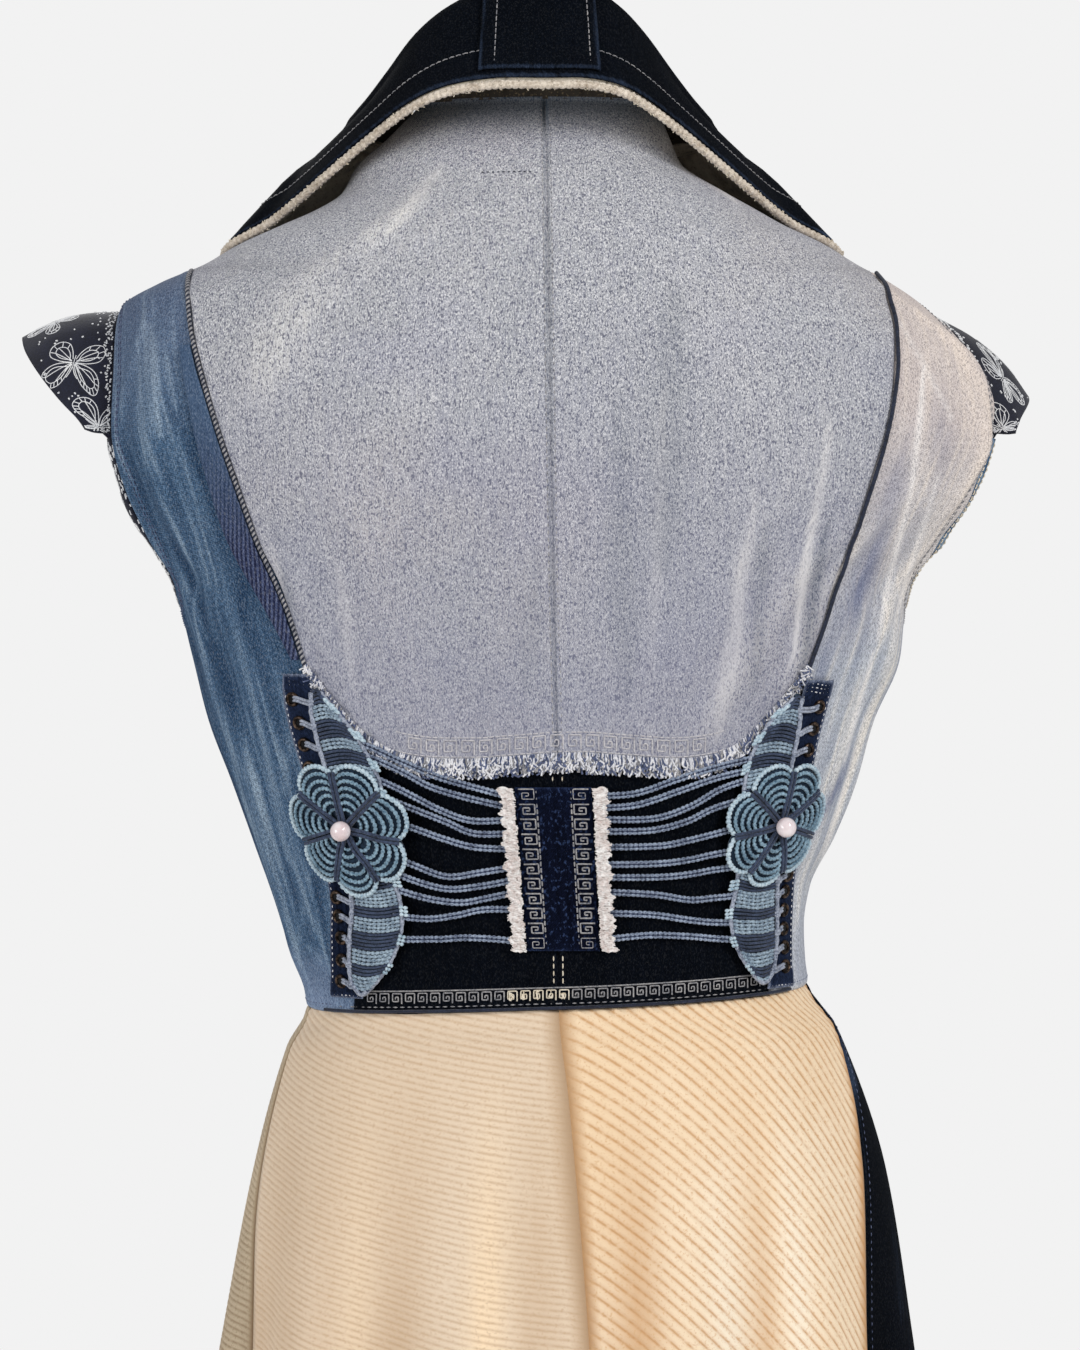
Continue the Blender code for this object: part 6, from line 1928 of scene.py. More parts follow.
class VEST_OT_sleeves(bpy.types.Operator):
    """Makes the printed cap sleeves and the bindings of the armholes"""

    bl_idname = "vest.sleeves"
    bl_label = "Sleeves and armholes"

    def execute(self, context):
        for side, word in SIDES:
            sleeve = Sleeve(side)
            piece = cloth(f"cap_sleeve_cloth_{word}", sleeve.surface, 60, 22, finish("navy_print"), RAW,
                          thick=1.3, pack=False)
            dress(piece, "navy_print", f"cap_sleeve_{word}")
            declare(piece)
            self.print_on(sleeve, side, word)
            self.binding(side, word)
        return {"FINISHED"}

    def print_on(self, sleeve, side, word):
        """Line butterflies, dots and a speckled border printed on the sleeve."""
        random = np.random.default_rng(SEED + side)
        placed = BUTTERFLIES[side]
        lines, dots = [], []
        for station, reach, size, turn in placed:
            spin = turned(radians(turn)) * size
            lines += self.on_sleeve(sleeve, station, reach, [shape @ spin for shape in butterfly()])
        for station in np.linspace(0.1, sleeve.last - 0.1, 90):
            for _ in range(3):
                spot = station + random.uniform(-0.05, 0.05), random.uniform(0.02, 0.13)
                dots.append((*spot, random.uniform(0.5, 1.0)))
        for _ in range(150):
            spot = (random.uniform(0.1, sleeve.last - 0.1), random.uniform(0.16, 0.95))
            if all(abs(spot[0] - s) > 0.62 or abs(spot[1] - r) > 0.3 for s, r, _, _ in placed):
                dots.append((*spot, random.uniform(0.5, 1.0)))
        for station, reach, size in dots:
            dot = np.array([(-0.5, 0), (0, 0), (0.5, 0)]) * size * 1.3
            lines += self.on_sleeve(sleeve, station, reach, [dot @ turned(random.uniform(0, pi))])
        radii = [np.full(len(line), 0.8 if len(line) > 3 else 1.5) for line in lines]
        cords(f"sleeve_print_{word}", lines, 0.34, "print_white", "navy_print", radii=radii)

    def on_sleeve(self, sleeve, station, reach, shapes):
        """Flat line drawings laid on the sleeve around a place."""
        here = sleeve.point([station], [reach])
        run = float(length_of(sleeve.point([station + 0.05], [reach]) - here)[0]) / 0.05
        out = float(length_of(sleeve.point([station], [reach + 0.02]) - here)[0]) / 0.02
        result = []
        for shape in shapes:
            s, r = station + shape[:, 0] / run, reach + shape[:, 1] / out
            inside = (s > 0.03) & (s < sleeve.last - 0.03) & (r > 0.015) & (r < 0.985)
            for part in np.split(np.arange(len(s)), np.flatnonzero(np.diff(inside.astype(int))) + 1):
                if len(part) > 2 and inside[part[0]]:
                    result.append(sleeve.at(s[part], r[part], np.full(len(part), 0.02)))
        return result

    def binding(self, side, word):
        """A folded strip round the lower armhole, printed on the left and stitched on the right."""
        back = armhole_line(side, "back")[CAP_ROWS - 1:]
        front = armhole_line(side, "front")[CAP_ROWS - 1:-1]
        line = np.concatenate((back, front[::-1]))
        places = through(line, np.linspace(0.14, len(line) - 1.14, 60))
        points, normal, out = edge_frames(side, places)
        half, deep = BINDING_WIDTH / 2, BINDING_WALL / 2
        middle = points + out * (0.4 + half) - normal * 1.0

        def surface(u, v, rise):
            at = v * (len(middle) - 1)
            centre, way, face = through(middle, at), through(out, at), through(normal, at)
            turn = 2 * pi * u
            corner = 1 / (np.abs(np.cos(turn)) ** 4 + np.abs(np.sin(turn)) ** 4) ** 0.25
            reach = (half + rise) * np.cos(turn) * corner
            stand = (deep + rise) * np.sin(turn) * corner
            return centre + way * reach[..., None] + face * stand[..., None]

        tone = "navy_print" if side > 0 else "blue_denim"
        piece = cloth(f"armhole_binding_cloth_{word}", surface, 14, 70, finish(tone), RAW,
                      thick=0.5, pack=False,
                      marks=lambda u, v, lengths, points: {"wear": 0.35 + 0.3 * np.sin(lengths[2] / 3)})
        dress(piece, tone, f"armhole_binding_{word}")
        declare(piece)
        runs = []
        if side > 0:
            random = np.random.default_rng(SEED)
            for _ in range(260):
                at, turn = random.uniform(0.01, 0.99), random.uniform(0.02, 0.48)
                ends = np.array((-1, 0, 1)) * random.uniform(0.003, 0.006)
                runs.append(surface(turn + ends * random.uniform(-3, 3), at + ends, np.full(3, 0.05)))
        else:
            for turn in (0.14, 0.36):
                runs += stitches(surface, np.linspace((turn, 0.01), (turn, 0.99), 30), length=2.4, gap=1.0)
        cords(f"armhole_marks_{word}", runs, 0.42, "print_white" if side > 0 else "cream_thread", tone)


def butterfly():
    """A plain line butterfly with its wings spread."""
    shapes = [np.array([(0.0, y) for y in (1.6, 0.4, -1.2, -2.8)])]
    halves = [through(line, np.linspace(0, len(line) - 1, (len(line) - 1) * 4 + 1)) for line in WING_LINES]
    for half in halves + [np.linspace(*ends, 4) for ends in WING_BARS]:
        shapes += [half, half * (-1, 1)]
    return shapes


def turned(angle):
    """The matrix that turns flat rows by this angle."""
    return np.array(((cos(angle), sin(angle)), (-sin(angle), cos(angle))))


class VEST_OT_eyelets(bpy.types.Operator):
    """Makes the eyelet strips, their metal eyelets and the lacing"""

    bl_idname = "vest.eyelets"
    bl_label = "Eyelet strips and lacing"

    def execute(self, context):
        for side, word in SIDES:
            rows = np.array(STRIP_ROWS[side], float)

            def surface(u, v, rise, rows=rows, side=side):
                row = through(rows, v * (len(rows) - 1))
                out = row[..., 1] + (row[..., 2] - row[..., 1]) * u
                return on_back(side * out, row[..., 0], STRIP_TOP + rise)

            strip = cloth(f"eyelet_band_{word}", surface, 14, 72, finish("strip_denim"), HEMMED,
                          marks=edge_marks(0.75, 1.6))
            dress(strip, "knotted_cord", f"eyelet_strip_{word}")
            declare(strip, [self.rings(side, word)])
            runs = []
            for edge in (0.09, 0.91):
                track = np.linspace((edge, 0.01), (edge, 0.99), 24)
                runs += stitches(surface, track, length=2.2, gap=1.0, lift=0.7)
            for row in (0.022, 0.036, 0.05, 0.985):
                track = np.linspace((0.06, row), (0.94, row), 8)
                runs += stitches(surface, track, length=2.0, gap=0.7, lift=0.8)
            cords(f"eyelet_band_sewing_{word}", runs, 0.32, "white_thread", "knotted_cord")
            self.lacing(side, word)
        return {"FINISHED"}

    def rings(self, side, word):
        """Turned metal rings, each spun from its profile and set on the strip, with a dark disc of painted
        shade in each hole.
        """
        section = ((EYELET_HOLE, -0.5), (EYELET_HOLE, 0.6), (2.3, 1.05), (2.8, EYELET_HEIGHT),
                   (3.35, 1.05), (EYELET_OUTER, 0.4), (EYELET_OUTER, 0.0))
        built, hole_shades = bmesh.new(), bmesh.new()
        for out, height in EYELET_PLACES[side]:
            point, normal, _, upward = frames(*back_place(side * out, height))
            up = unit(upward)
            seat = (point + normal * EYELET_BASE) * MM
            axes = np.stack((np.cross(up, normal), up, normal, seat), axis=1)
            setting = Matrix(np.vstack((axes, (0, 0, 0, 1))))
            made = [built.verts.new((r * MM, 0, z * MM)) for r, z in section]
            edges = [built.edges.new(pair) for pair in zip(made, made[1:])]
            bmesh.ops.spin(built, geom=made + edges, cent=(0, 0, 0), axis=(0, 0, 1), angle=2 * pi,
                           steps=28, use_merge=True)
            fresh = {v for f in built.faces for v in f.verts if not v.tag}
            bmesh.ops.transform(built, matrix=setting, verts=list(fresh))
            for vert in fresh:
                vert.tag = True
            # A dark disc in each hole, as painted shade
            disc = bmesh.ops.create_circle(hole_shades, cap_ends=True, segments=20, radius=EYELET_HOLE * 1.05 * MM)
            bmesh.ops.translate(hole_shades, verts=disc["verts"], vec=(0, 0, 0.15 * MM))
            bmesh.ops.transform(hole_shades, matrix=setting, verts=disc["verts"])
        bmesh.ops.remove_doubles(built, verts=built.verts, dist=1e-6)
        bmesh.ops.recalc_face_normals(built, faces=built.faces)
        nodes = [f"eyelet_{word}_{n}" for n in range(1, len(EYELET_PLACES[side]) + 1)]
        rings = dress(mesh_object(built, f"eyelet_rings_{word}", finish("brass")), "brass", *nodes)
        dress(mesh_object(hole_shades, f"eyelet_hole_shades_{word}", finish("dark_hole")), "dark_denim")
        return rings

    def lacing(self, side, word):
        """Short double loops from each eyelet to the cord along the wing."""
        outer_edge = wing_edges(side)[0]
        runs = []
        for out, height in EYELET_PLACES[side]:
            inner = float(outer_edge(height)) - 1.0
            for offset in (-0.8, 0.8):
                outs = side * np.array((out - 0.5, out - 2.6, (out + inner) / 2, inner + 1.5, inner))
                heights = height + np.array((0.2, 0.6, -0.6, -1.2, -1.4)) + offset
                lifts = (EYELET_BASE - 0.4, EYELET_BASE + EYELET_HEIGHT + 0.5, EYELET_BASE + 1.3,
                         WING_LIFT + 1.6, WING_LIFT + 0.6)
                runs.append(through(on_back(outs, heights, lifts), np.linspace(0, 4, 13)))
        cords(f"lacing_{word}", runs, 0.8, "lace_cord", "knotted_cord", CORD)


def wing_edges(side):
    """How far out the wing's outer and inner edges lie at a height."""
    return [curve(WING_ROWS[side], value) for value in (1, 2)]


def row_of(first, second, lift):
    """A run of shares and lifts for drawn."""
    return np.stack(np.broadcast_arrays(first, second, lift), axis=-1)


def knotted(count, low=0.45, high=1.0):
    """Radii of a cord with this many knots along it."""
    at = np.linspace(0, count, count * KNOT_SAMPLES + 1)
    return low + (high - low) * np.abs(np.sin(pi * at)) ** 0.6


class VEST_OT_macrame(bpy.types.Operator):
    """Knots the wings beside the lacing and braids the bands to the centre"""

    bl_idname = "vest.macrame"
    bl_label = "Wings and braids"

    def execute(self, context):
        for side, word in SIDES:
            self.wing(side, word)
            self.braids(side, word)
        return {"FINISHED"}

    def wing(self, side, word):
        """Bands of plain bars and of knots by turns, with a tip of pale knots at each bar's end."""
        outer_edge, inner_edge = wing_edges(side)
        top, bottom = WING_ROWS[side][0][0], WING_ROWS[side][-1][0]

        def surface(u, v, rise):
            height = top + (bottom - top) * v
            out = outer_edge(height) + (inner_edge(height) - outer_edge(height)) * u
            sag = 2.0 * np.sin(pi * u) * np.where(height > -330, 1, -1)
            return on_back(side * out, height + sag, WING_LIFT + rise)

        # A dark sheet under the knots, as painted shade in the gaps between the cords
        ground = cloth(f"wing_gap_shade_{word}", raised(surface, -0.9), 12, 50, finish("petal_ground"), RAW,
                       thick=1.0, pack=False)
        dress(ground, "knotted_cord", f"macrame_{word}")
        bars, knots, radii, tips, tip_radii = [], [], [], [], []
        span = top - bottom
        for row in range(int(span / WING_PITCH)):
            v = (row + 0.5) * WING_PITCH / span
            height = top - span * v
            width = float(outer_edge(height) - inner_edge(height))
            within = (row * WING_PITCH) % (WING_BAND * 2)
            if within < WING_BAND:
                bars.append(row_of(np.linspace(0.02, 1, 14), v, 0.35))
                if 1.5 < within < 7.0:
                    at = np.linspace(0.98, 1.0 + 3.6 / max(width, 6), 2 * KNOT_SAMPLES + 1)
                    tips.append(row_of(at, v + 0.012 * np.linspace(0, 1, len(at)), 0.7))
                    tip_radii.append(knotted(2, low=0.35))
            else:
                count = max(int(width / 2.5), 2)
                knots.append(row_of(np.linspace(0.06, 0.97, count * KNOT_SAMPLES + 1), v, 0.55))
                radii.append(knotted(count, low=0.5))
        bars, knots, tips = (drawn(surface, runs) for runs in (bars, knots, tips))
        cords(f"wing_bars_{word}", bars, BAR_RADIUS, "bar_cord", "knotted_cord", CORD)
        cords(f"wing_knots_{word}", knots, KNOT_RADIUS, "knot_cord", "knotted_cord", CORD, radii)
        cords(f"wing_tips_{word}", tips, KNOT_RADIUS, "petal_tip", "knotted_cord", CORD, tip_radii)
        border = [line_on(surface, np.linspace((share, 0), (share, 1), 30), lift, 1.2)
                  for share, lift in ((0.0, 0.9), (1.0, -0.6))]
        border.append(line_on(surface, np.linspace((0, 1.0), (1, 1.0), 10), 0.5, 1.2))
        radii = [0.9 + 0.12 * np.sin(np.arange(len(run)) * 1.7) for run in border]
        cords(f"wing_border_{word}", border, 1.35, "lace_cord", "knotted_cord", CORD, radii)

    def braids(self, side, word):
        """Flat braids: a dark core between two rows of small knots."""
        rows, radii, cores = [], [], []
        half = sizes().sennit_width / MM / 2 - SENNIT_RADIUS
        for places in BRAIDS[side]:
            track = through(places, np.linspace(0, len(places) - 1, 60))
            lift = BRAID_LIFT + (BRAID_END_LIFT - BRAID_LIFT) * ease(np.linspace(0, 1, 60) * 1.1)
            centre = on_back(side * track[:, 0], track[:, 1], lift)
            normal = frames(*back_place(side * track[:, 0], track[:, 1]))[1]
            run = run_of(centre)
            count = int(run[-1] / (sizes().knot_pitch / MM))
            at = np.linspace(0, run[-1], count * KNOT_SAMPLES + 1)
            line, up = read_off(at, run, centre), unit(read_off(at, run, normal))
            aside = unit(np.cross(up, np.gradient(line, axis=0)))
            for way in (-1, 1):
                rows.append(line + aside * way * half)
                radii.append(knotted(count, low=0.42, high=1.12))
            cores.append(line[::2] - up[::2] * 0.25)
        cords(f"braids_{word}", rows, SENNIT_RADIUS, "braid_edge", "knotted_cord", CORD, radii)
        cords(f"braid_cores_{word}", cores, SENNIT_RADIUS, "sennit_cord", "knotted_cord", CORD)


class VEST_OT_flowers(bpy.types.Operator):
    """Knots the two flowers petal by petal and sets their beads"""

    bl_idname = "vest.flowers"
    bl_label = "Flowers"

    def execute(self, context):
        for side, word in SIDES:
            out, height, radius = FLOWERS[side]
            centre = [float(part) for part in back_place(side * out, height)]
            point, normal, around, upward = frames(*centre)
            surface = self.petals(centre, unit(around), unit(upward), radius)
            # A dark sheet under the petals, as painted shade in the gaps between the cords
            ground = cloth(
                f"flower_gap_shade_{word}", lambda u, v, rise: surface(u * 2 * pi, 0.02 + 0.96 * v, rise - 1.4),
                84, 12, finish("petal_ground"), RAW, pack=False)
            dress(ground, "petal_cord", f"flower_{word}")
            self.knots(surface, radius, word)
            built = bmesh.new()
            bmesh.ops.create_uvsphere(built, u_segments=36, v_segments=20, radius=BEAD_RADIUS * MM)
            seat = point + normal * (FLOWER_LIFT + FLOWER_HEIGHT * FLOWER_DIMPLE + BEAD_RADIUS + BEAD_LIFT)
            bmesh.ops.translate(built, verts=built.verts, vec=Vector(seat) * MM)
            dress(mesh_object(built, f"pearl_bead_{word}", finish("bead")), "bead", f"flower_bead_{word}")
        return {"FINISHED"}

    def petals(self, centre, across, up, radius):
        """Surface over the turn from straight up, in radians, and the share of the petals' length."""

        def surface(turn, reach, rise):
            turn, reach = np.broadcast_arrays(np.asarray(turn, float), np.asarray(reach, float))
            lobe = np.abs(np.sin(PETALS * turn / 2))
            rim = radius * (0.87 + 0.13 * lobe ** 0.5)
            a = reach * rim * np.cos(turn + pi / 2) * FLOWER_STRETCH[0]
            b = reach * rim * np.sin(turn + pi / 2) * FLOWER_STRETCH[1]
            offset = across * a[..., None] + up * b[..., None]
            place = moved(*(np.full(turn.shape, part) for part in centre), offset)
            wave = np.interp(reach, (0, 0.18, 0.4, 0.8, 1.0), (0.3, 0.4, 0.75, 0.85, 0.3))
            valley = 0.35 + 0.65 * np.minimum(1.0, lobe * 1.8)
            return on_cloth(*place, FLOWER_LIFT + FLOWER_HEIGHT * wave * valley + rise)

        return surface

    def knots(self, surface, radius, word):
        """Knotted cords round each petal, a paler outermost one, and spokes between the petals."""
        inner, inner_radii, tips, tip_radii, spokes = [], [], [], [], []
        for petal in range(PETALS):
            first = 2 * pi * petal / PETALS
            for ring in range(1, PETAL_RINGS + 1):
                share = 0.2 + 0.79 * ring / PETAL_RINGS
                width = pi / PETALS * (0.97 - 0.055 / share)
                count = max(int(2 * width * share * radius / 2.0), 3)
                t = np.linspace(-1, 1, count * KNOT_SAMPLES + 1)
                bow = share * (1 - 0.09 * np.abs(t) ** 3)
                run = row_of(first + pi / PETALS + t * width, bow, -0.35)
                girth = knotted(count, low=0.56)
                if ring == PETAL_RINGS:
                    tips.append(run)
                    tip_radii.append(girth)
                else:
                    inner.append(run)
                    inner_radii.append(girth * (0.85 if ring == 1 else 1))
            for offset in (-0.034, 0.034):
                reach = np.linspace(0.12, 0.93, 16)
                spokes.append(row_of(first + offset / reach, reach, 1.1))
        inner, tips, spokes = (drawn(surface, runs) for runs in (inner, tips, spokes))
        cords(f"petal_cords_{word}", inner, 1.16, "petal_cord", "petal_cord", CORD, inner_radii)
        cords(f"petal_edges_{word}", tips, 1.45, "petal_tip", "petal_cord", CORD, tip_radii)
        cords(f"petal_spokes_{word}", spokes, 1.0, "bar_cord", "knotted_cord", CORD)


class VEST_OT_centre(bpy.types.Operator):
    """Makes the centre panel with its key pattern and the frayed strips beside it"""

    bl_idname = "vest.centre"
    bl_label = "Centre panel and frayed strips"

    def execute(self, context):
        (left, top), (right, _), (low_right, bottom), (low_left, _) = PANEL_CORNERS

        def surface(u, v, rise):
            first = left + (low_left - left) * v
            last = right + (low_right - right) * v
            return on_back(first + (last - first) * u, top + (bottom - top) * v, PANEL_LIFT + rise)

        panel = cloth("centre_panel_cloth", surface, 24, 50, finish("panel_denim"),
                      (raw, raw, hemmed, hemmed), marks=edge_marks(0.5, 1.5, ends_only=True))
        dress(panel, "dark_denim", "centre_panel")
        declare(panel)
        runs = []
        for start, way in ((0.045, 1), (0.955, -1)):
            for k in range(PANEL_KEYS):
                shape = np.array(KEY_UNIT)
                u = start + way * shape[:, 1] * 0.20
                v = (k + 0.12 + shape[:, 0] * 0.8) / PANEL_KEYS
                fine = resampled(np.stack((u * 60, v * 100), axis=-1), 1.0) / (60, 100)
                runs.append(surface(fine[:, 0], fine[:, 1], np.full(len(fine), 0.3)))
            edge = start + way * 0.23
            runs += stitches(surface, np.linspace((edge, 0.01), (edge, 0.99), 20), length=2.2, gap=1.2)
        cords("centre_key_thread", runs, 0.42, "grey_thread", "dark_denim")
        for side, word in SIDES:
            self.frayed(side, word)
        return {"FINISHED"}

    def frayed(self, side, word):
        """A torn, rumpled strip with threads pulled out along its sides."""
        (top_out, top_in), (low_out, low_in) = FRAY_EDGES[side]
        top, bottom = PANEL_CORNERS[0][1], PANEL_CORNERS[2][1]
        random = np.random.default_rng(SEED + 3 * side)

        def surface(u, v, rise):
            near, far = top_in + (low_in - top_in) * v, top_out + (low_out - top_out) * v
            wander = 0.5 * np.sin(v * 41 + side) + 0.4 * np.sin(v * 97) + 0.3 * np.sin(v * 173)
            out = near + (far - near) * u + side * wander * (0.4 + u)
            return on_back(out, top + (bottom - top) * v, FRAY_LIFT + rise)

        def lift(u, v, lengths):
            return (0.45 * np.sin(v * 118 + 4 * u) + 0.35 * np.sin(v * 61 + 7 * u)
                    + 0.25 * np.sin(v * 231 - 5 * u) - 0.5 * swell(lengths[0], 1.0))

        piece = cloth(f"frayed_cloth_{word}", surface, 12, 200, finish("fray_cloth"), RAW,
                      lift=lift, thick=1.0, pack=False)
        dress(piece, "cream_fray", f"frayed_strip_{word}")
        runs = []
        for _ in range(460):
            v = random.uniform(0, 1)
            outer = random.uniform() < 0.6
            start = 0.98 if outer else 0.02
            reach = random.uniform(0.05, 0.2) * (1 if outer else -0.8)
            slide = random.uniform(-0.012, 0.012)
            u = start + np.array((-0.15 * np.sign(reach), 0.4 * reach, reach))
            vs = np.clip(v + np.array((0, 0.3, 1.0)) * slide, 0, 1)
            lifts = (0.1, random.uniform(0, 0.7), random.uniform(-0.8, 0.6))
            runs.append(np.stack((u, vs, lifts), axis=-1))
        for _ in range(240):
            v, u = random.uniform(0.01, 0.98), random.uniform(0.05, 0.7)
            us = u + np.array((0, 0.12, 0.28))
            vs = v + np.array((0, 0.3, 1)) * random.uniform(-0.01, 0.01)
            runs.append(np.stack((us, vs, (0.4, 0.9, 0.3)), axis=-1))
        cords(f"frayed_threads_{word}", drawn(surface, runs), 0.26, "fray_cloth", "cream_fray")


class VEST_OT_fringe(bpy.types.Operator):
    """Frays the raw lower edge of the grey back"""

    bl_idname = "vest.fringe"
    bl_label = "Frayed raw edge"

    def execute(self, context):
        random = np.random.default_rng(SEED + 11)
        longest = sizes().fringe / MM
        line = np.array(RIGHT_HEM[:0:-1] + LEFT_HEM, float)
        tones = {"white_thread": [], "blue_thread": [], "grey_thread": []}
        names = list(tones)
        for _ in range(FRINGE_THREADS):
            at = random.uniform(0, len(line) - 1)
            out, height = through(line, at)
            end = ease((126 - abs(out)) / 30)
            reach = (0.35 + 0.65 * random.uniform()) * longest * (0.45 + 0.55 * float(end))
            curl, phase = random.uniform(0.8, 2.6), random.uniform(0, 2 * pi)
            t = np.linspace(0, 1, 6)
            drop = 2.6 - reach * t * (1 - 0.25 * t)
            aside = curl * np.sin(phase + t * random.uniform(2, 7)) * t + random.uniform(-2, 2) * t
            lift = 1.2 + 1.5 * np.abs(np.sin(phase * 2 + 4 * t)) * t + random.uniform(0, 1.2)
            lift[0] = 0.2
            thread = np.stack((out + aside, height + drop, lift), axis=-1)
            tones[names[int(random.choice(3, p=(0.42, 0.38, 0.20)))]].append(thread)
        for tone, runs in tones.items():
            node = "back_fringe" if tone == names[0] else None
            cords(f"raw_edge_{tone}", drawn(on_back, runs), 0.5, tone, "grey_denim", node=node)
        return {"FINISHED"}


class VEST_OT_sewing(bpy.types.Operator):
    """Sews the topstitching, the corded seams and the key patterns"""

    bl_idname = "vest.sewing"
    bl_label = "Sewing"

    def execute(self, context):
        self.seams()
        self.piping()
        self.rope()
        self.waist_keys()
        self.edge_keys()
        self.twill()
        return {"FINISHED"}

    def seams(self):
        """Topstitching beside the seams and edges."""
        pale, cream, slate = [], [], []
        for gap in (-2.2, 2.2):
            pale += stitches(on_cloth, beside(centre_place(np.linspace(40, -294, 60)), gap),
                             length=2.4, gap=1.3, lift=0.3)
        for gap in (-2.6, 2.2):
            for heights, length, space in (((-305, -309, 3), 2.2, 1.2), ((-397, -413, 6), 2.4, 1.4)):
                cream += stitches(on_cloth, beside(centre_place(np.linspace(*heights)), gap), length, space)
        for side, _ in SIDES:
            for gap in (8.5, 11.0):
                track = beside(armhole_line(side, "back"), gap * side)
                (slate if side > 0 else pale).extend(stitches(on_cloth, track, length=2.4))
            for gap in (8.5, 11.0):
                slate += stitches(on_cloth, beside(armhole_line(side, "front"), -gap * side), length=2.4)
            shoulder = ridge_line(side, np.linspace(40, -54, 20))
            slate += stitches(on_cloth, beside(shoulder, -4.0 * side), length=2.4)
            neck = neck_line(side, np.linspace(-430, -935, 60))
            for gap in (6.0, 9.0):
                slate += stitches(on_cloth, beside(neck, gap * side), gap=1.2)
            low = np.linspace((side * 58, WAIST + 4.0), (side * 172, WAIST + 4.0), 60)
            slate += stitches(on_cloth, low, gap=1.2)
        for start, end in ((CREAM_RIGHT_SEAM[-1][1], -170), (TAN_SEAM[-1][1], 170)):
            low = np.linspace((start, HEM + 12), (end, HEM + 12), 60)
            slate += stitches(on_cloth, low, length=2.8, gap=1.2)
        heights = np.linspace(WAIST - 12, HEM + 10, 60)
        join = np.stack((curve(CREAM_RIGHT_SEAM)(heights), heights), axis=-1)
        slate += stitches(on_cloth, beside(join, JOIN_SEWING), gap=1.2)
        cords("grey_topstitching", pale, THREAD_RADIUS * 0.8, "grey_thread", "grey_denim")
        cords("cream_topstitching", cream, THREAD_RADIUS, "cream_thread", "dark_denim")
        cords("slate_topstitching", slate, THREAD_RADIUS, "blue_thread", "blue_denim")
        edge = line_on(on_cloth, np.linspace((-62, WAIST + 1.2), (62, WAIST + 1.2), 120), 0.9, 1.5)
        cords("waist_piping", [edge], 0.9, "dark_thread", "dark_denim", CORD)
        track = np.linspace((-58, WAIST + 3.4), (56, WAIST + 3.4), 120)
        line = stitches(on_cloth, track, length=3.2, gap=0.7)
        cords("waist_line", line, 0.36, "grey_thread", "dark_denim")

    def piping(self):
        """The thick piping of the right seam, eased over the seam's small bends."""
        places = seam_place(-1, np.linspace(SEAM_HEIGHTS[0] - 2.5, SEAM_HEIGHTS[-1], 160))
        line = on_cloth(places[:, 0], places[:, 1], np.full(160, PIPING_RADIUS * PIPING_FLAT + 0.2))
        padded = np.pad(line, ((PIPE_EASE, PIPE_EASE), (0, 0)), mode="reflect", reflect_type="odd")
        line = sum(padded[k:k + len(line)] for k in range(2 * PIPE_EASE + 1)) / (2 * PIPE_EASE + 1)
        girth = 0.66 + 0.03 * np.sin(np.arange(160) * 1.3)
        cords("seam_piping_cord", [line], PIPING_RADIUS, "dark_thread", "dark_denim", PIPE, [girth],
              "seam_piping_right")

    def rope(self):
        """The two-toned rope laid along the left seam."""
        places = seam_place(1, np.linspace(-43, -250, 200))
        points, normal, _, _ = frames(places[:, 0], places[:, 1])
        run = run_of(points)
        at = np.linspace(0, run[-1], int(run[-1] / 0.4))
        line, up = read_off(at, run, points), unit(read_off(at, run, normal))
        aside = unit(np.cross(up, np.gradient(line, axis=0)))
        for name, tone, start in (("rope_pale", "grey_thread", 0.0), ("rope_dark", "dark_thread", 0.5)):
            strands = []
            for part in (0.0, 0.25):
                turn = 2 * pi * (at / ROPE_TWIST + start + part)[:, None]
                strands.append(line + aside * (0.8 * np.cos(turn)) + up * (0.8 + 0.45 * np.sin(turn)))
            cords(f"left_seam_{name}", strands, 0.48, tone, "blue_denim", CORD)

    def waist_keys(self):
        """The key pattern above the waist seam, worked over in cream in its middle."""
        keys, cream = [], []
        step, tall, foot = WAIST_KEY
        for start in np.arange(-104, 100, step):
            fine = resampled(np.array(KEY_UNIT) * (step * 0.86, tall), 0.8)
            in_cream = -6 < start < 24
            line = on_level(start + fine[:, 0], WAIST + foot + fine[:, 1], np.full(len(fine), 0.3))
            (cream if in_cream else keys).append(line)
            if in_cream:
                stray = np.random.default_rng(SEED + int(start)).uniform(-1, 1, (5, 2, 2)) * (1.2, 2.4)
                for ends in stray + (step * 0.45, tall * 0.5):
                    mess = resampled(ends, 0.9)
                    height = WAIST + foot + mess[:, 1]
                    cream.append(on_level(start + mess[:, 0], height, np.full(len(mess), 0.5)))
        keys.append(on_level(np.linspace(-106, 104, 200), np.full(200, WAIST + 11.6), np.full(200, 0.3)))
        cords("waist_key_thread", keys, 0.38, "grey_thread", "dark_denim")
        cords("waist_key_cream", cream, 0.36, "cream_thread", "dark_denim")

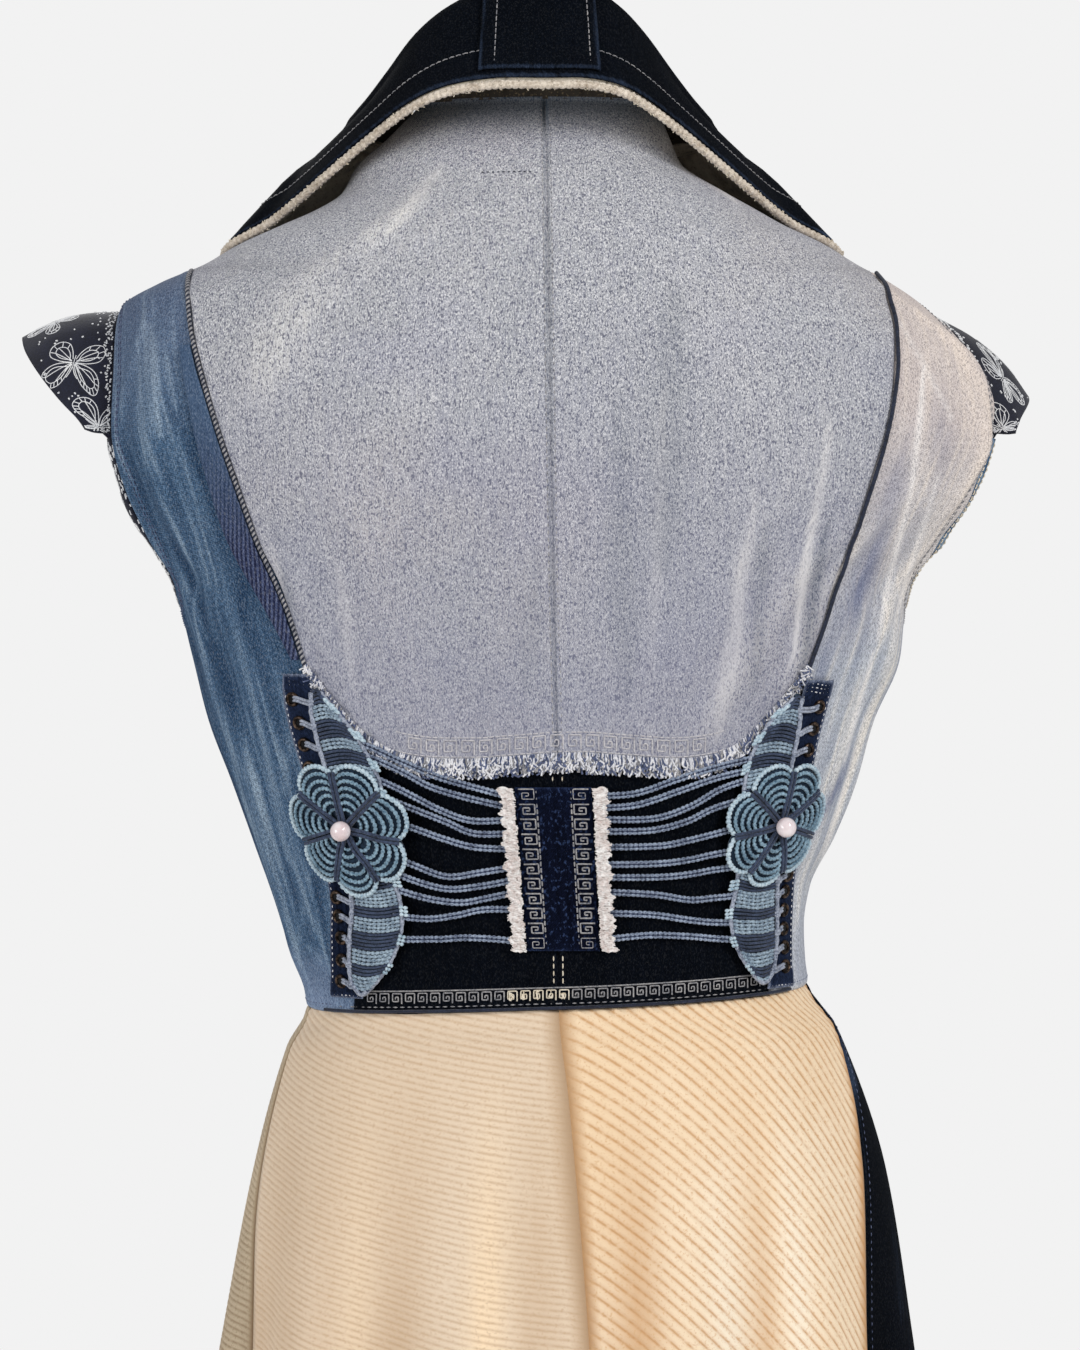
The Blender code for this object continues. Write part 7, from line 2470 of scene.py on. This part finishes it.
    def edge_keys(self):
        """The key pattern above the raw edge, and the tack and marks under the collar."""
        hem = []
        edge = curve(RIGHT_HEM[::-1] + LEFT_HEM[1:])
        for start in np.arange(-74, 72, 9.0):
            fine = resampled(np.array(KEY_UNIT) * (7.6, 7.2), 1.0)
            out = start + fine[:, 0]
            hem.append(on_back(out, edge(out) + 4.6 + fine[:, 1], np.full(len(fine), 0.3)))
        out = np.linspace(-84, 84, 170)
        for rise in (3.4, 13.2):
            hem += stitches(on_back, np.stack((out, edge(out) + rise), axis=-1), length=2.4, gap=0.8)
        cords("raw_edge_key_thread", hem, 0.36, "hem_thread", "grey_denim")
        tack = drawn(on_back, [row_of(-13.2, np.linspace(7.0, -1.0, 6), 0.4),
                               row_of(np.linspace(-10.6, -15.2, 5), (-0.2, -1.4, -1.8, -1.2, 0.0), 0.4)])
        cords("label_tack", tack, 0.36, "white_thread", "grey_denim")
        marks = stitches(on_back, np.linspace((40, 3.2), (12.5, 3.2), 8), length=1.2, gap=1.5)
        cords("label_marks", marks, 0.3, "dark_thread", "grey_denim")

    def twill(self):
        """The strip of dark twill along the left seam."""
        rows = np.array(TWILL_ROWS, float)

        def surface(u, v, rise):
            row = through(rows, v * (len(rows) - 1))
            near = SEAM_OUT[1](row[..., 0]) + 1.5
            return on_back(near + row[..., 1] * u, row[..., 0], TWILL_LIFT + rise)

        strip = cloth("twill_seam_strip", surface, 16, 70, finish("twill_strip"), (raw, hemmed, raw, raw),
                      thick=0.8, marks=edge_marks(0.0, 1.0))
        dress(strip, "blue_denim", "seam_strip_left")
        declare(strip)


class VEST_OT_stage(bpy.types.Operator):
    """Lays the floor and sets the lights and the camera"""

    bl_idname = "vest.stage"
    bl_label = "Stage"

    def execute(self, context):
        scene = context.scene
        low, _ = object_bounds()
        built = bmesh.new()
        bmesh.ops.create_circle(built, cap_ends=True, segments=96, radius=FLOOR_RADIUS)
        bmesh.ops.translate(built, verts=built.verts, vec=(0, 0, low.z - FLOOR_GAP))
        mesh_object(built, "floor", finish("floor"))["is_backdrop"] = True
        world = bpy.data.worlds.new("Studio")
        world.use_nodes = True
        tree = world.node_tree
        ground = tree.nodes["Background"]
        ground.inputs["Color"].default_value = tuple(scene.vest_colours.backdrop)
        seen = put(tree, "ShaderNodeLightPath").outputs["Is Camera Ray"]
        glow = put(tree, "ShaderNodeMapRange", {0: seen, 3: AMBIENT, 4: 1.0}).outputs[0]
        tree.links.new(glow, ground.inputs["Strength"])
        scene.world = world
        scene.view_settings.view_transform = "Standard"
        for name, place, size, power in LIGHTS:
            data = bpy.data.lights.new(name, "AREA")
            data.size = size
            data.energy = power
            lamp = bpy.data.objects.new(name, data)
            lamp.location = place
            lamp.rotation_euler = (Vector(LIGHTS_AIM) - Vector(place)).to_track_quat("-Z", "Y").to_euler()
            scene.collection.objects.link(lamp)
        data = bpy.data.cameras.new("camera")
        data.lens = CAMERA_LENS
        data.sensor_width = 36
        camera = bpy.data.objects.new("camera", data)
        camera.location = CAMERA_PLACE
        camera.rotation_euler = (radians(90), 0, radians(180))
        scene.collection.objects.link(camera)
        scene.camera = camera
        return {"FINISHED"}


class VEST_PT_sidebar(bpy.types.Panel):
    """Lists the vest's sizes, colours and pieces"""

    bl_label = "Macrame vest"
    bl_idname = "VEST_PT_sidebar"
    bl_space_type = "VIEW_3D"
    bl_region_type = "UI"
    bl_category = "Vest"

    def draw(self, context):
        for group in (context.scene.vest_sizes, context.scene.vest_colours):
            for key in type(group).__annotations__:
                self.layout.prop(group, key)
        for operator in OPERATORS:
            self.layout.operator(operator.bl_idname)


OPERATORS = (
    VEST_OT_torso, VEST_OT_skirt, VEST_OT_collar, VEST_OT_sleeves, VEST_OT_eyelets, VEST_OT_macrame,
    VEST_OT_flowers, VEST_OT_centre, VEST_OT_fringe, VEST_OT_sewing, VEST_OT_stage,
)
CLASSES = (VestSizes, VestColours, *OPERATORS, VEST_PT_sidebar)


def register():
    for kind in CLASSES:
        bpy.utils.register_class(kind)
    bpy.types.Scene.vest_sizes = bpy.props.PointerProperty(type=VestSizes)
    bpy.types.Scene.vest_colours = bpy.props.PointerProperty(type=VestColours)


def unregister():
    del bpy.types.Scene.vest_colours
    del bpy.types.Scene.vest_sizes
    for kind in reversed(CLASSES):
        bpy.utils.unregister_class(kind)


def main():
    register()
    bpy.ops.vest.torso()
    bpy.ops.vest.skirt()
    bpy.ops.vest.collar()
    bpy.ops.vest.sleeves()
    bpy.ops.vest.eyelets()
    bpy.ops.vest.macrame()
    bpy.ops.vest.flowers()
    bpy.ops.vest.centre()
    bpy.ops.vest.fringe()
    bpy.ops.vest.sewing()
    bpy.ops.vest.stage()
    boxes = {"cad": CAD_BOX, "visual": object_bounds()}
    {key: [list(corner) for corner in box] for key, box in boxes.items()}


if __name__ == "__main__":
    main()
